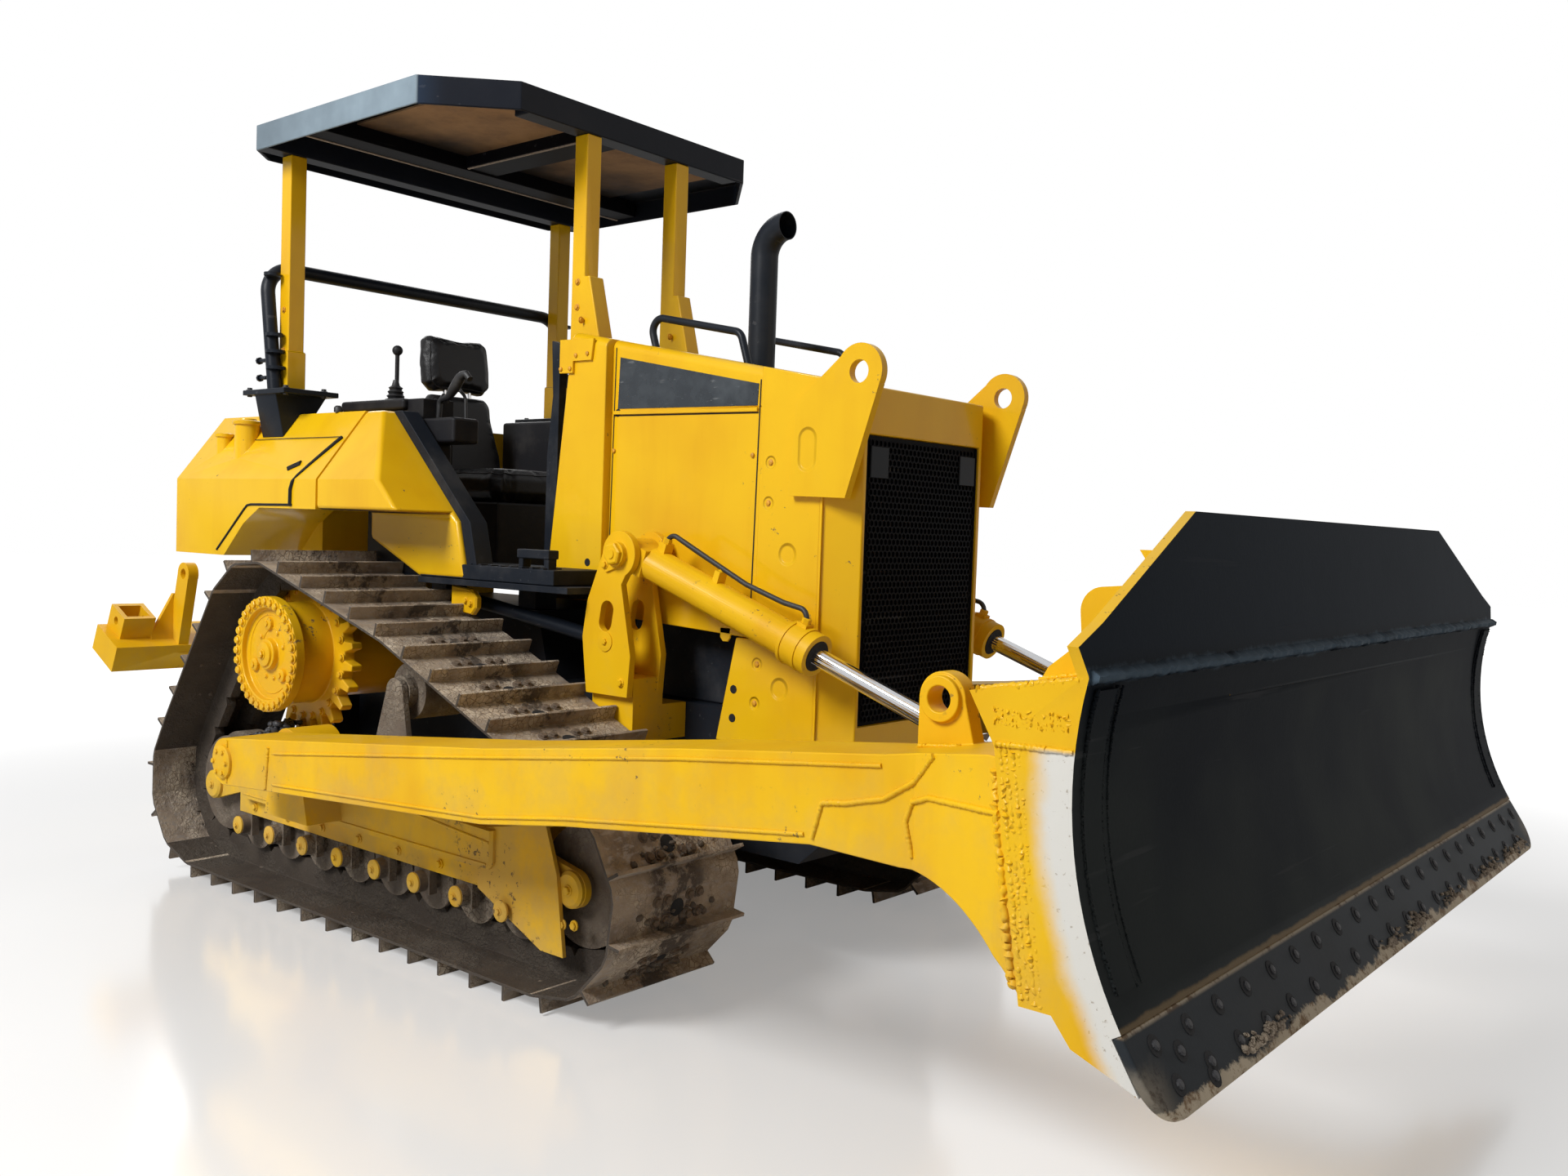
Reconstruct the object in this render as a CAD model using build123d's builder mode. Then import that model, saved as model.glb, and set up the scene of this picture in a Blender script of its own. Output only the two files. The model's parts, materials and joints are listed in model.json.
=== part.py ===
from build123d import *
from math import acos, atan2, cos, hypot, pi, radians, sin
import os

os.makedirs("parts", exist_ok=True)

# High-drive crawler bulldozer with a straight blade, an open operator station under a
# four-post canopy, and a bare ripper beam behind. Millimetres. +X points forward, to the
# blade, +Y to the machine's left and +Z up. The origin is on the ground, midway between
# the cutting edge and the rear of the ripper beam.

# Overall size
OVERALL_LENGTH = 5710
FRONT_X = OVERALL_LENGTH / 2
REAR_X = -OVERALL_LENGTH / 2
SEAT_GAP = 0.6
PIN_CLEARANCE = 0.08
SHEET = 10
OVERCUT = 10
LAP = 4

# Track chain and shoes
GAUGE = 1770
SHOE_WIDTH = 560
PITCH = 171.5
SHOE_COUNT = 39
SHOE_PLATE = 10
GROUSER_HEIGHT = 47
GROUSER_THICK = 12
GROUSER_SHARE = 0.18
SHOE_GAP = 2
PIN_TO_SHOE = 51
PIN_TO_RAIL = 52
LINK_INNER = 52
LINK_THICK = 42
RAIL_SHARE = 0.74
LINK_NOTCH = 26
SHOE_START = 70

# Wheels that the chain runs round
REAR_IDLER_X = -1660
IDLER_LIFT = 16
IDLER_R = 200
IDLER_FLANGE_R = 214
IDLER_AXLE_R = 48
ROLLER_COUNT = 8
FIRST_ROLLER_X = -1370
ROLLER_STEP = 243
ROLLER_R = 95
ROLLER_FLANGE_R = 110
ROLLER_SHAFT_R = 38
RAIL_MARGIN = 6
FLANGE_THICK = 18
SPROCKET_X = -1185
SPROCKET_Z = 975
SPROCKET_TEETH = 23
SPROCKET_THICK = 50
TOOTH_ABOVE = 14
TOOTH_BELOW = 40
CARRIER_X = -360
CARRIER_Z = 905
CARRIER_R = 104

TRACK_Y = GAUGE / 2
TRACK_INNER_Y = TRACK_Y - SHOE_WIDTH / 2
PIN_Z = GROUSER_HEIGHT + SHOE_PLATE + PIN_TO_SHOE
ROLLER_Z = PIN_Z + PIN_TO_RAIL + ROLLER_R
IDLER_Z = PIN_Z + PIN_TO_RAIL + IDLER_R + IDLER_LIFT
TREAD_HALF = LINK_INNER + LINK_THICK + RAIL_MARGIN
FLANGE_HALF = TREAD_HALF + FLANGE_THICK


def wall(y):
    """Upright plane along the machine at y; a positive extrude goes towards its right."""
    return Plane.XZ.offset(-y)


def across(x):
    """Upright plane across the machine at x; a positive extrude goes forward."""
    return Plane.YZ.offset(x)


def pin_radius(rail_radius):
    """Radius on which the chain's pins lie when its flat rails sit on a round wheel."""
    return hypot(rail_radius + PIN_TO_RAIL, PITCH / 2)


def belt(wheels):
    """Arcs and lines of a belt drawn tight round (x, z, radius) wheels, anticlockwise."""
    following = wheels[1:] + wheels[:1]
    normals = []
    for (xa, za, ra), (xb, zb, rb) in zip(wheels, following):
        heading = atan2(zb - za, xb - xa)
        normals.append(heading - acos((ra - rb) / hypot(xb - xa, zb - za)))
    spans = []
    for i, ((xa, za, ra), (xb, zb, rb)) in enumerate(zip(wheels, following)):
        first, last = normals[i - 1], normals[i]
        turn = (last - first + 1e-9) % (2 * pi)
        spans.append(("arc", xa, za, ra, first, ra * turn))
        start = (xa + ra * cos(last), za + ra * sin(last))
        end = (xb + rb * cos(last), zb + rb * sin(last))
        spans.append(("line", *start, *end, hypot(end[0] - start[0], end[1] - start[1])))
    return spans


def belt_length(spans):
    return sum(span[-1] for span in spans)


def belt_point(spans, distance):
    """Point on the belt at a distance along it."""
    distance %= belt_length(spans)
    for span in spans:
        length = span[-1]
        if distance <= length and length > 0:
            if span[0] == "arc":
                _, x, z, r, first, _ = span
                angle = first + distance / r
                return x + r * cos(angle), z + r * sin(angle)
            _, xa, za, xb, zb, _ = span
            share = distance / length
            return xa + (xb - xa) * share, za + (zb - za) * share
        distance -= length
    return spans[0][1], spans[0][2]


def chain_wheels(front_idler_x):
    sprocket_pin_r = PITCH / (2 * sin(2 * pi / SPROCKET_TEETH))
    last_roller_x = FIRST_ROLLER_X + ROLLER_STEP * (ROLLER_COUNT - 1)
    return [
        (REAR_IDLER_X, IDLER_Z, pin_radius(IDLER_R)),
        (FIRST_ROLLER_X, ROLLER_Z, ROLLER_R + PIN_TO_RAIL),
        (last_roller_x, ROLLER_Z, ROLLER_R + PIN_TO_RAIL),
        (front_idler_x, IDLER_Z, pin_radius(IDLER_R)),
        (CARRIER_X, CARRIER_Z, CARRIER_R + PIN_TO_RAIL),
        (SPROCKET_X, SPROCKET_Z, sprocket_pin_r),
    ]


# The front idler slides until the chain is tight, so its place follows from the chain.
nearest, furthest = 0, 2000
while furthest - nearest > 0.01:
    middle = (nearest + furthest) / 2
    if belt_length(belt(chain_wheels(middle))) < PITCH * SHOE_COUNT:
        nearest = middle
    else:
        furthest = middle
FRONT_IDLER_X = (nearest + furthest) / 2
CHAIN = belt(chain_wheels(FRONT_IDLER_X))
SPROCKET_PIN_R = PITCH / (2 * sin(2 * pi / SPROCKET_TEETH))


def shoe_frames():
    """Each shoe's rear pin, its direction along the chain and the way out of the loop."""
    step = belt_length(CHAIN) / SHOE_COUNT
    pins = [belt_point(CHAIN, SHOE_START + step * i) for i in range(SHOE_COUNT)]
    frames = []
    for (xa, za), (xb, zb) in zip(pins, pins[1:] + pins[:1]):
        length = hypot(xb - xa, zb - za)
        tx, tz = (xb - xa) / length, (zb - za) / length
        frames.append((xa, za, tx, tz, length))
    return frames


def chain_outline(stations):
    """Closed outline that passes the same stations, (share of pitch, height out), on each shoe."""
    points = []
    for x, z, tx, tz, length in shoe_frames():
        for share, out in stations:
            s = share * length
            points.append((x + tx * s + tz * out, z + tz * s - tx * out))
    return points


# Tracks: one fixed loop of shoes, each with one grouser, on two rows of links
edge = SHOE_GAP / PITCH
shoe_face = PIN_TO_SHOE + SHOE_PLATE
shoe_tip = shoe_face + GROUSER_HEIGHT
grouser_end = GROUSER_SHARE + GROUSER_THICK / PITCH
shoe_outer = chain_outline([
    (edge, shoe_face),
    (GROUSER_SHARE, shoe_face),
    (GROUSER_SHARE, shoe_tip),
    (grouser_end, shoe_tip),
    (grouser_end, shoe_face),
    (1 - edge, shoe_face),
])
shoe_inner = chain_outline([(edge, PIN_TO_SHOE), (1 - edge, PIN_TO_SHOE)])
link_outer = chain_outline([(0.0, PIN_TO_SHOE + SHOE_PLATE / 2)])
link_inner = chain_outline([
    (0.0, -LINK_NOTCH),
    (0.5 - RAIL_SHARE / 2, -PIN_TO_RAIL),
    (0.5 + RAIL_SHARE / 2, -PIN_TO_RAIL),
])

with BuildPart() as track_right:
    with BuildSketch(wall(-TRACK_INNER_Y)):
        with BuildLine():
            Polyline(*shoe_outer, close=True)
        make_face()
        with BuildLine():
            Polyline(*shoe_inner, close=True)
        make_face(mode=Mode.SUBTRACT)
    extrude(amount=SHOE_WIDTH)
    for link_y in (TRACK_Y - LINK_INNER - LINK_THICK, TRACK_Y + LINK_INNER):
        with BuildSketch(wall(-link_y)):
            with BuildLine():
                Polyline(*link_outer, close=True)
            make_face()
            with BuildLine():
                Polyline(*link_inner, close=True)
            make_face(mode=Mode.SUBTRACT)
        extrude(amount=LINK_THICK)
track_right.part.label = "track_right"
export_step(track_right.part, "parts/track_right.step")

with BuildPart() as track_left:
    mirror(track_right.part, about=Plane.XZ)
track_left.part.label = "track_left"
export_step(track_left.part, "parts/track_left.step")

# Idlers, bottom rollers and carrier roller of one track
COLLAR_HALF = 45
COLLAR_DROP = 88
COLLAR_THICK = 32
SHAFT_HALF = 205
FRAME_SIDE_Z = 300
FRAME_SIDE_IN = 150
FRAME_SIDE_THICK = 22
FRAME_HALF = FRAME_SIDE_IN + FRAME_SIDE_THICK
COLLAR_Z = FRAME_SIDE_Z - COLLAR_DROP / 2
GUARDED_X = 150
ROLLER_XS = [FIRST_ROLLER_X + ROLLER_STEP * i for i in range(ROLLER_COUNT)]
IDLER_XS = [REAR_IDLER_X, FRONT_IDLER_X]
YOKE_IN = 128
YOKE_THICK = 26
CARRIER_HUB_R = 58
CARRIER_HUB_LENGTH = 36

with BuildPart() as track_rollers_right:
    for x in ROLLER_XS:
        with BuildSketch(wall(-TRACK_Y + FLANGE_HALF)):
            with Locations((x, ROLLER_Z)):
                Circle(ROLLER_FLANGE_R)
        extrude(amount=FLANGE_THICK)
        with BuildSketch(wall(-TRACK_Y - TREAD_HALF)):
            with Locations((x, ROLLER_Z)):
                Circle(ROLLER_FLANGE_R)
        extrude(amount=FLANGE_THICK)
        with BuildSketch(wall(-TRACK_Y + TREAD_HALF)):
            with Locations((x, ROLLER_Z)):
                Circle(ROLLER_R - SEAT_GAP)
        extrude(amount=2 * TREAD_HALF)
        reach = SHAFT_HALF if x < GUARDED_X else FRAME_HALF
        with BuildSketch(wall(-TRACK_Y + reach)):
            with Locations((x, ROLLER_Z)):
                Circle(ROLLER_SHAFT_R)
        extrude(amount=2 * reach)
        for side in (1, -1):
            with Locations((x, -TRACK_Y + side * (FRAME_HALF - COLLAR_THICK / 2), COLLAR_Z)):
                Box(2 * COLLAR_HALF, COLLAR_THICK, COLLAR_DROP)
    with BuildSketch(wall(-TRACK_Y + TREAD_HALF)):
        with Locations((CARRIER_X, CARRIER_Z)):
            Circle(CARRIER_R - SEAT_GAP)
    extrude(amount=2 * TREAD_HALF)
    with BuildSketch(wall(-TRACK_Y - TREAD_HALF)):
        with Locations((CARRIER_X, CARRIER_Z)):
            Circle(CARRIER_HUB_R)
    extrude(amount=CARRIER_HUB_LENGTH)
    for x in IDLER_XS:
        with BuildSketch(wall(-TRACK_Y + TREAD_HALF)):
            with Locations((x, IDLER_Z)):
                Circle(IDLER_R - SEAT_GAP)
        extrude(amount=2 * TREAD_HALF)
        with BuildSketch(wall(-TRACK_Y + LINK_INNER - RAIL_MARGIN)):
            with Locations((x, IDLER_Z)):
                Circle(IDLER_FLANGE_R)
        extrude(amount=2 * (LINK_INNER - RAIL_MARGIN))
        with BuildSketch(wall(-TRACK_Y + YOKE_IN)):
            with Locations((x, IDLER_Z)):
                Circle(IDLER_AXLE_R)
        extrude(amount=2 * YOKE_IN)
track_rollers_right.part.label = "track_rollers_right"
export_step(track_rollers_right.part, "parts/track_rollers_right.step")

with BuildPart() as track_rollers_left:
    mirror(track_rollers_right.part, about=Plane.XZ)
track_rollers_left.part.label = "track_rollers_left"
export_step(track_rollers_left.part, "parts/track_rollers_left.step")

# Final drives: toothed sprocket, reduction drum and recessed bolted cover
DRUM_R = 206
RIM_R = 232
RIM_THICK = 42
HUB_FACE_Y = 1092
COVER_R = 184
COVER_DEPTH = 26
HUB_BOSS_R = 62
AXLE_HOUSING_R = 190
CASE_HALF = 330
# Columns: share of the tooth pitch, height over the circle of the chain's pins
TOOTH_STATIONS = (
    (0.0, -TOOTH_BELOW),
    (0.28, -TOOTH_BELOW),
    (0.42, TOOTH_ABOVE),
    (0.70, TOOTH_ABOVE),
    (0.84, -TOOTH_BELOW),
)

sprocket_outline = []
for i in range(SPROCKET_TEETH):
    for share, out in TOOTH_STATIONS:
        angle = 2 * pi * (i + share) / SPROCKET_TEETH
        r = SPROCKET_PIN_R + out
        sprocket_outline.append((SPROCKET_X + r * cos(angle), SPROCKET_Z + r * sin(angle)))

with BuildPart() as final_drive_right:
    with BuildSketch(wall(-TRACK_Y + SPROCKET_THICK / 2)):
        with BuildLine():
            Polyline(*sprocket_outline, close=True)
        make_face()
    extrude(amount=SPROCKET_THICK)
    with BuildSketch(wall(-CASE_HALF)):
        with Locations((SPROCKET_X, SPROCKET_Z)):
            Circle(AXLE_HOUSING_R)
    extrude(amount=TRACK_Y - CASE_HALF)
    with BuildSketch(wall(-TRACK_Y)):
        with Locations((SPROCKET_X, SPROCKET_Z)):
            Circle(DRUM_R)
    extrude(amount=HUB_FACE_Y - TRACK_Y)
    with BuildSketch(wall(-HUB_FACE_Y + RIM_THICK)):
        with Locations((SPROCKET_X, SPROCKET_Z)):
            Circle(RIM_R)
    extrude(amount=RIM_THICK)
    with BuildSketch(wall(-HUB_FACE_Y + COVER_DEPTH)):
        with Locations((SPROCKET_X, SPROCKET_Z)):
            Circle(COVER_R)
            Circle(HUB_BOSS_R, mode=Mode.SUBTRACT)
    extrude(amount=COVER_DEPTH, mode=Mode.SUBTRACT)
final_drive_right.part.label = "final_drive_right"
export_step(final_drive_right.part, "parts/final_drive_right.step")

with BuildPart() as final_drive_left:
    mirror(final_drive_right.part, about=Plane.XZ)
final_drive_left.part.label = "final_drive_left"
export_step(final_drive_left.part, "parts/final_drive_left.step")

# Roller frames: channel beam over the rollers, yokes to both idlers, carrier bracket,
# guiding guards and the outboard bracket with the push arm's trunnion
FRAME_TOP_Z = 610
FRAME_DECK_Z = 392
FRAME_END_GAP = 22
FRAME_SLOPE_RUN = 140
FRAME_SLOPE_RISE = 90
FRAME_REAR_X = REAR_IDLER_X + IDLER_FLANGE_R + FRAME_END_GAP
FRAME_FRONT_X = FRONT_IDLER_X - IDLER_FLANGE_R - FRAME_END_GAP
YOKE_Z_HALF = 62
YOKE_LAP = 60
YOKE_ROOT_DROP = 110
CARRIER_FOOT_REAR = 150
CARRIER_FOOT_FRONT = 110
CARRIER_ARM_HALF = 52
CARRIER_ARM_THICK = 24
CARRIER_ARM_OUT = 40
TRUNNION_X = -760
TRUNNION_Z = 645
TRUNNION_R = 45
ARM_OUTER_Y = 1480
ARM_THICK = 230
ARM_INNER_Y = ARM_OUTER_Y - ARM_THICK
ARM_GAP = 12
PIVOT_BRACKET_LENGTH = 300
PIVOT_BRACKET_FOOT_Z = 400
PIVOT_HEAD_R = 96
PIVOT_NECK_HALF = 84
TRACK_GUARD_THICK = 16
# Columns: distance behind the front idler's axle, height over the rollers' side plates
TRACK_GUARD = ((440, 0), (110, -140), (0, -140), (40, 120), (100, 275), (440, 205))

with BuildPart() as roller_frame_right:
    with BuildSketch(wall(-TRACK_Y + FRAME_HALF)):
        with BuildLine():
            Polyline(
                (FRAME_REAR_X, FRAME_SIDE_Z),
                (FRAME_FRONT_X, FRAME_SIDE_Z),
                (FRAME_FRONT_X, FRAME_TOP_Z - FRAME_SLOPE_RISE),
                (FRAME_FRONT_X - FRAME_SLOPE_RUN, FRAME_TOP_Z),
                (FRAME_REAR_X + FRAME_SLOPE_RUN, FRAME_TOP_Z),
                (FRAME_REAR_X, FRAME_TOP_Z - FRAME_SLOPE_RISE),
                close=True,
            )
        make_face()
    extrude(amount=2 * FRAME_HALF)
    with BuildSketch(wall(-TRACK_Y + FRAME_SIDE_IN)):
        with BuildLine():
            Polyline(
                (FRAME_REAR_X - OVERCUT, FRAME_SIDE_Z - OVERCUT),
                (FRAME_FRONT_X + OVERCUT, FRAME_SIDE_Z - OVERCUT),
                (FRAME_FRONT_X + OVERCUT, FRAME_DECK_Z),
                (FRAME_REAR_X - OVERCUT, FRAME_DECK_Z),
                close=True,
            )
        make_face()
    extrude(amount=2 * FRAME_SIDE_IN, mode=Mode.SUBTRACT)
    yoke_ends = ((REAR_IDLER_X, FRAME_REAR_X + YOKE_LAP), (FRONT_IDLER_X, FRAME_FRONT_X - YOKE_LAP))
    for idler_x, end in yoke_ends:
        for start in (YOKE_IN + YOKE_THICK, -YOKE_IN):
            with BuildSketch(wall(-TRACK_Y + start)):
                with BuildLine():
                    Polyline(
                        (idler_x, IDLER_Z - YOKE_Z_HALF),
                        (end, FRAME_DECK_Z + LAP),
                        (end, FRAME_TOP_Z - YOKE_ROOT_DROP),
                        (idler_x, IDLER_Z + YOKE_Z_HALF),
                        close=True,
                    )
                make_face()
                with Locations((idler_x, IDLER_Z)):
                    Circle(YOKE_Z_HALF)
            extrude(amount=YOKE_THICK)
    with BuildSketch(wall(-TRACK_Y - TREAD_HALF - CARRIER_ARM_OUT)):
        with BuildLine():
            Polyline(
                (CARRIER_X - CARRIER_FOOT_REAR, FRAME_TOP_Z - LAP),
                (CARRIER_X + CARRIER_FOOT_FRONT, FRAME_TOP_Z - LAP),
                (CARRIER_X + CARRIER_ARM_HALF, CARRIER_Z),
                (CARRIER_X - CARRIER_ARM_HALF, CARRIER_Z),
                close=True,
            )
        make_face()
        with Locations((CARRIER_X, CARRIER_Z)):
            Circle(CARRIER_ARM_HALF)
    extrude(amount=CARRIER_ARM_THICK)
    with BuildSketch(wall(-TRACK_Y - FRAME_HALF)):
        with BuildLine():
            Polyline(*[(FRONT_IDLER_X - back, FRAME_SIDE_Z + up) for back, up in TRACK_GUARD], close=True)
        make_face()
    extrude(amount=TRACK_GUARD_THICK)
    with BuildSketch(wall(-TRACK_Y - FRAME_HALF)):
        with Locations((TRUNNION_X, TRUNNION_Z)):
            Circle(PIVOT_HEAD_R)
        with BuildLine():
            Polyline(
                (TRUNNION_X - PIVOT_BRACKET_LENGTH / 2, PIVOT_BRACKET_FOOT_Z),
                (TRUNNION_X + PIVOT_BRACKET_LENGTH / 2, PIVOT_BRACKET_FOOT_Z),
                (TRUNNION_X + PIVOT_NECK_HALF, TRUNNION_Z),
                (TRUNNION_X - PIVOT_NECK_HALF, TRUNNION_Z),
                close=True,
            )
        make_face()
    extrude(amount=ARM_INNER_Y - ARM_GAP - TRACK_Y - FRAME_HALF)
    with BuildSketch(wall(-ARM_INNER_Y + ARM_GAP)):
        with Locations((TRUNNION_X, TRUNNION_Z)):
            Circle(TRUNNION_R)
    extrude(amount=ARM_THICK + ARM_GAP)
roller_frame_right.part.label = "roller_frame_right"
export_step(roller_frame_right.part, "parts/roller_frame_right.step")

with BuildPart() as roller_frame_left:
    mirror(roller_frame_right.part, about=Plane.XZ)
roller_frame_left.part.label = "roller_frame_left"
export_step(roller_frame_left.part, "parts/roller_frame_left.step")

# Main frame: belly, transmission case, pivot shaft, equaliser bar and ripper bracket
BELLY_Z = 400
CASE_TOP_Z = 1180
CASE_REAR_X = -1700
CASE_FRONT_X = 1130
FRAME_RAIL_TOP_Z = 900
PIVOT_SHAFT_X = -900
PIVOT_SHAFT_Z = 510
PIVOT_SHAFT_R = 72
BELLY_TAIL_RUN = 220
BELLY_TAIL_RISE = 120
BELLY_NOSE_RUN = 160
BELLY_NOSE_RISE = 140
CASE_STEP_X = -350
CASE_STEP_RUN = 80
EQUALISER_X = 150
EQUALISER_Z = 500
EQUALISER_LENGTH = 130
EQUALISER_HEIGHT = 110
EQUALISER_CORNER_R = 20
RIPPER_HINGE_X = -1880
RIPPER_HINGE_Z = 600
RIPPER_PIN_R = 32
RIPPER_HINGE_R = 66
RIPPER_CYL_PIN_R = 25
RIPPER_LUG_INNER_Y = 300
RIPPER_LUG_THICK = 40
RIPPER_ARM_THICK = 70
RIPPER_SIDE_GAP = 4
RIPPER_LUG_ROOT_HALF = 110
RIPPER_MOUNT_THICK = 40
RIPPER_CYL_X = -1790
RIPPER_CYL_Z = 1120
RIPPER_CYL_LUG_Y = 70
RIPPER_CYL_PLATE = 24
RIPPER_CYL_LUG_R = 55
RIPPER_CYL_LUG_ROOT = 150
TRACK_SIDE_Y = TRACK_Y - FRAME_HALF
RIPPER_ARM_Y = RIPPER_LUG_INNER_Y + RIPPER_LUG_THICK + RIPPER_SIDE_GAP + RIPPER_ARM_THICK / 2
RIPPER_LUG_OUTER_Y = RIPPER_ARM_Y + RIPPER_ARM_THICK / 2 + RIPPER_SIDE_GAP
RIPPER_MOUNT_HALF = RIPPER_LUG_OUTER_Y + RIPPER_LUG_THICK

with BuildPart() as main_frame:
    with BuildSketch(wall(CASE_HALF)):
        with BuildLine():
            Polyline(
                (CASE_REAR_X, BELLY_Z + BELLY_TAIL_RISE),
                (CASE_REAR_X + BELLY_TAIL_RUN, BELLY_Z),
                (CASE_FRONT_X - BELLY_NOSE_RUN, BELLY_Z),
                (CASE_FRONT_X, BELLY_Z + BELLY_NOSE_RISE),
                (CASE_FRONT_X, FRAME_RAIL_TOP_Z),
                (CASE_STEP_X, FRAME_RAIL_TOP_Z),
                (CASE_STEP_X - CASE_STEP_RUN, CASE_TOP_Z),
                (CASE_REAR_X, CASE_TOP_Z),
                close=True,
            )
        make_face()
    extrude(amount=2 * CASE_HALF)
    with BuildSketch(wall(TRACK_SIDE_Y)):
        with Locations((PIVOT_SHAFT_X, PIVOT_SHAFT_Z)):
            Circle(PIVOT_SHAFT_R)
        with Locations((EQUALISER_X, EQUALISER_Z)):
            RectangleRounded(EQUALISER_LENGTH, EQUALISER_HEIGHT, EQUALISER_CORNER_R)
    extrude(amount=2 * TRACK_SIDE_Y)
    with BuildSketch(across(CASE_REAR_X - RIPPER_MOUNT_THICK)):
        with Locations((0, RIPPER_HINGE_Z)):
            Rectangle(2 * RIPPER_MOUNT_HALF, 2 * RIPPER_LUG_ROOT_HALF)
    extrude(amount=RIPPER_MOUNT_THICK + LAP)
    for lug_y in (RIPPER_LUG_INNER_Y, RIPPER_LUG_OUTER_Y):
        for face_y in (lug_y + RIPPER_LUG_THICK, -lug_y):
            with BuildSketch(wall(face_y)):
                with BuildLine():
                    Polyline(
                        (CASE_REAR_X - RIPPER_MOUNT_THICK + LAP, RIPPER_HINGE_Z - RIPPER_LUG_ROOT_HALF),
                        (RIPPER_HINGE_X, RIPPER_HINGE_Z - RIPPER_HINGE_R),
                        (RIPPER_HINGE_X, RIPPER_HINGE_Z + RIPPER_HINGE_R),
                        (CASE_REAR_X - RIPPER_MOUNT_THICK + LAP, RIPPER_HINGE_Z + RIPPER_LUG_ROOT_HALF),
                        close=True,
                    )
                make_face()
                with Locations((RIPPER_HINGE_X, RIPPER_HINGE_Z)):
                    Circle(RIPPER_HINGE_R)
            extrude(amount=RIPPER_LUG_THICK)
    for face_y in (RIPPER_MOUNT_HALF, -RIPPER_LUG_INNER_Y):
        with BuildSketch(wall(face_y)):
            with Locations((RIPPER_HINGE_X, RIPPER_HINGE_Z)):
                Circle(RIPPER_PIN_R)
        extrude(amount=RIPPER_MOUNT_HALF - RIPPER_LUG_INNER_Y)
    for face_y in (RIPPER_CYL_LUG_Y + RIPPER_CYL_PLATE, -RIPPER_CYL_LUG_Y):
        with BuildSketch(wall(face_y)):
            with BuildLine():
                Polyline(
                    (CASE_REAR_X + LAP, RIPPER_CYL_Z - RIPPER_CYL_LUG_ROOT),
                    (RIPPER_CYL_X, RIPPER_CYL_Z - RIPPER_CYL_LUG_R),
                    (RIPPER_CYL_X, RIPPER_CYL_Z + RIPPER_CYL_LUG_R),
                    (CASE_REAR_X + LAP, RIPPER_CYL_Z + RIPPER_CYL_LUG_R),
                    close=True,
                )
            make_face()
            with Locations((RIPPER_CYL_X, RIPPER_CYL_Z)):
                Circle(RIPPER_CYL_LUG_R)
        extrude(amount=RIPPER_CYL_PLATE)
    with BuildSketch(wall(RIPPER_CYL_LUG_Y + RIPPER_CYL_PLATE)):
        with Locations((RIPPER_CYL_X, RIPPER_CYL_Z)):
            Circle(RIPPER_CYL_PIN_R)
    extrude(amount=2 * (RIPPER_CYL_LUG_Y + RIPPER_CYL_PLATE))
main_frame.part.label = "main_frame"
export_step(main_frame.part, "parts/main_frame.step")

# Engine and bonnet
ENGINE_REAR_X = 90
ENGINE_FRONT_X = 800
ENGINE_HALF = 280
ENGINE_TOP_Z = 1850
BONNET_REAR_X = -230
BONNET_REAR_Z = 2290
BONNET_FRONT_Z = 2020
BONNET_HALF = 420
BONNET_EDGE_Z = 1958
BONNET_SHOULDER = 36
COWL_FRONT_X = 70
COWL_TOP_X = -120
COWL_HALF = 455
COWL_FOOT_Z = 1350
GUARD_REAR_X = 820
GUARD_NOSE_X = 1210


def bonnet_z(x):
    """Height of the bonnet's sloping top."""
    share = (x - BONNET_REAR_X) / (GUARD_NOSE_X - BONNET_REAR_X)
    return BONNET_REAR_Z + share * (BONNET_FRONT_Z - BONNET_REAR_Z)


with BuildPart() as engine:
    with Locations(((ENGINE_REAR_X + ENGINE_FRONT_X) / 2, 0, (FRAME_RAIL_TOP_Z + ENGINE_TOP_Z) / 2)):
        Box(ENGINE_FRONT_X - ENGINE_REAR_X, 2 * ENGINE_HALF, ENGINE_TOP_Z - FRAME_RAIL_TOP_Z)
engine.part.label = "engine"
export_step(engine.part, "parts/engine.step")

STACK_X = 440
STACK_R = 52.5
STACK_WALL = 4
STACK_TOP_Z = 2680
STACK_BEND = 110
STACK_HOLE_GAP = 6

with BuildPart() as bonnet:
    with BuildSketch(wall(BONNET_HALF)):
        with BuildLine():
            Polyline(
                (COWL_FRONT_X, BONNET_EDGE_Z),
                (GUARD_REAR_X, BONNET_EDGE_Z),
                (GUARD_REAR_X, bonnet_z(GUARD_REAR_X)),
                (COWL_FRONT_X, bonnet_z(COWL_FRONT_X)),
                close=True,
            )
        make_face()
    extrude(amount=2 * BONNET_HALF)
    top_edges = bonnet.edges().filter_by(lambda e: abs(e.tangent_at(0).X) > 0.9).group_by(Axis.Z)[-1]
    fillet(top_edges, BONNET_SHOULDER)
    with BuildSketch(wall(BONNET_HALF - SHEET)):
        with BuildLine():
            Polyline(
                (COWL_FRONT_X - SHEET, BONNET_EDGE_Z - SHEET),
                (GUARD_REAR_X + SHEET, BONNET_EDGE_Z - SHEET),
                (GUARD_REAR_X + SHEET, bonnet_z(GUARD_REAR_X + SHEET) - BONNET_SHOULDER),
                (COWL_FRONT_X - SHEET, bonnet_z(COWL_FRONT_X - SHEET) - BONNET_SHOULDER),
                close=True,
            )
        make_face()
    extrude(amount=2 * (BONNET_HALF - SHEET), mode=Mode.SUBTRACT)
    with BuildSketch(Plane.XY.offset(BONNET_EDGE_Z)):
        with Locations((STACK_X, 0)):
            Circle(STACK_R + STACK_HOLE_GAP)
    extrude(amount=BONNET_REAR_Z - BONNET_EDGE_Z, mode=Mode.SUBTRACT)
bonnet.part.label = "bonnet"
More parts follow.
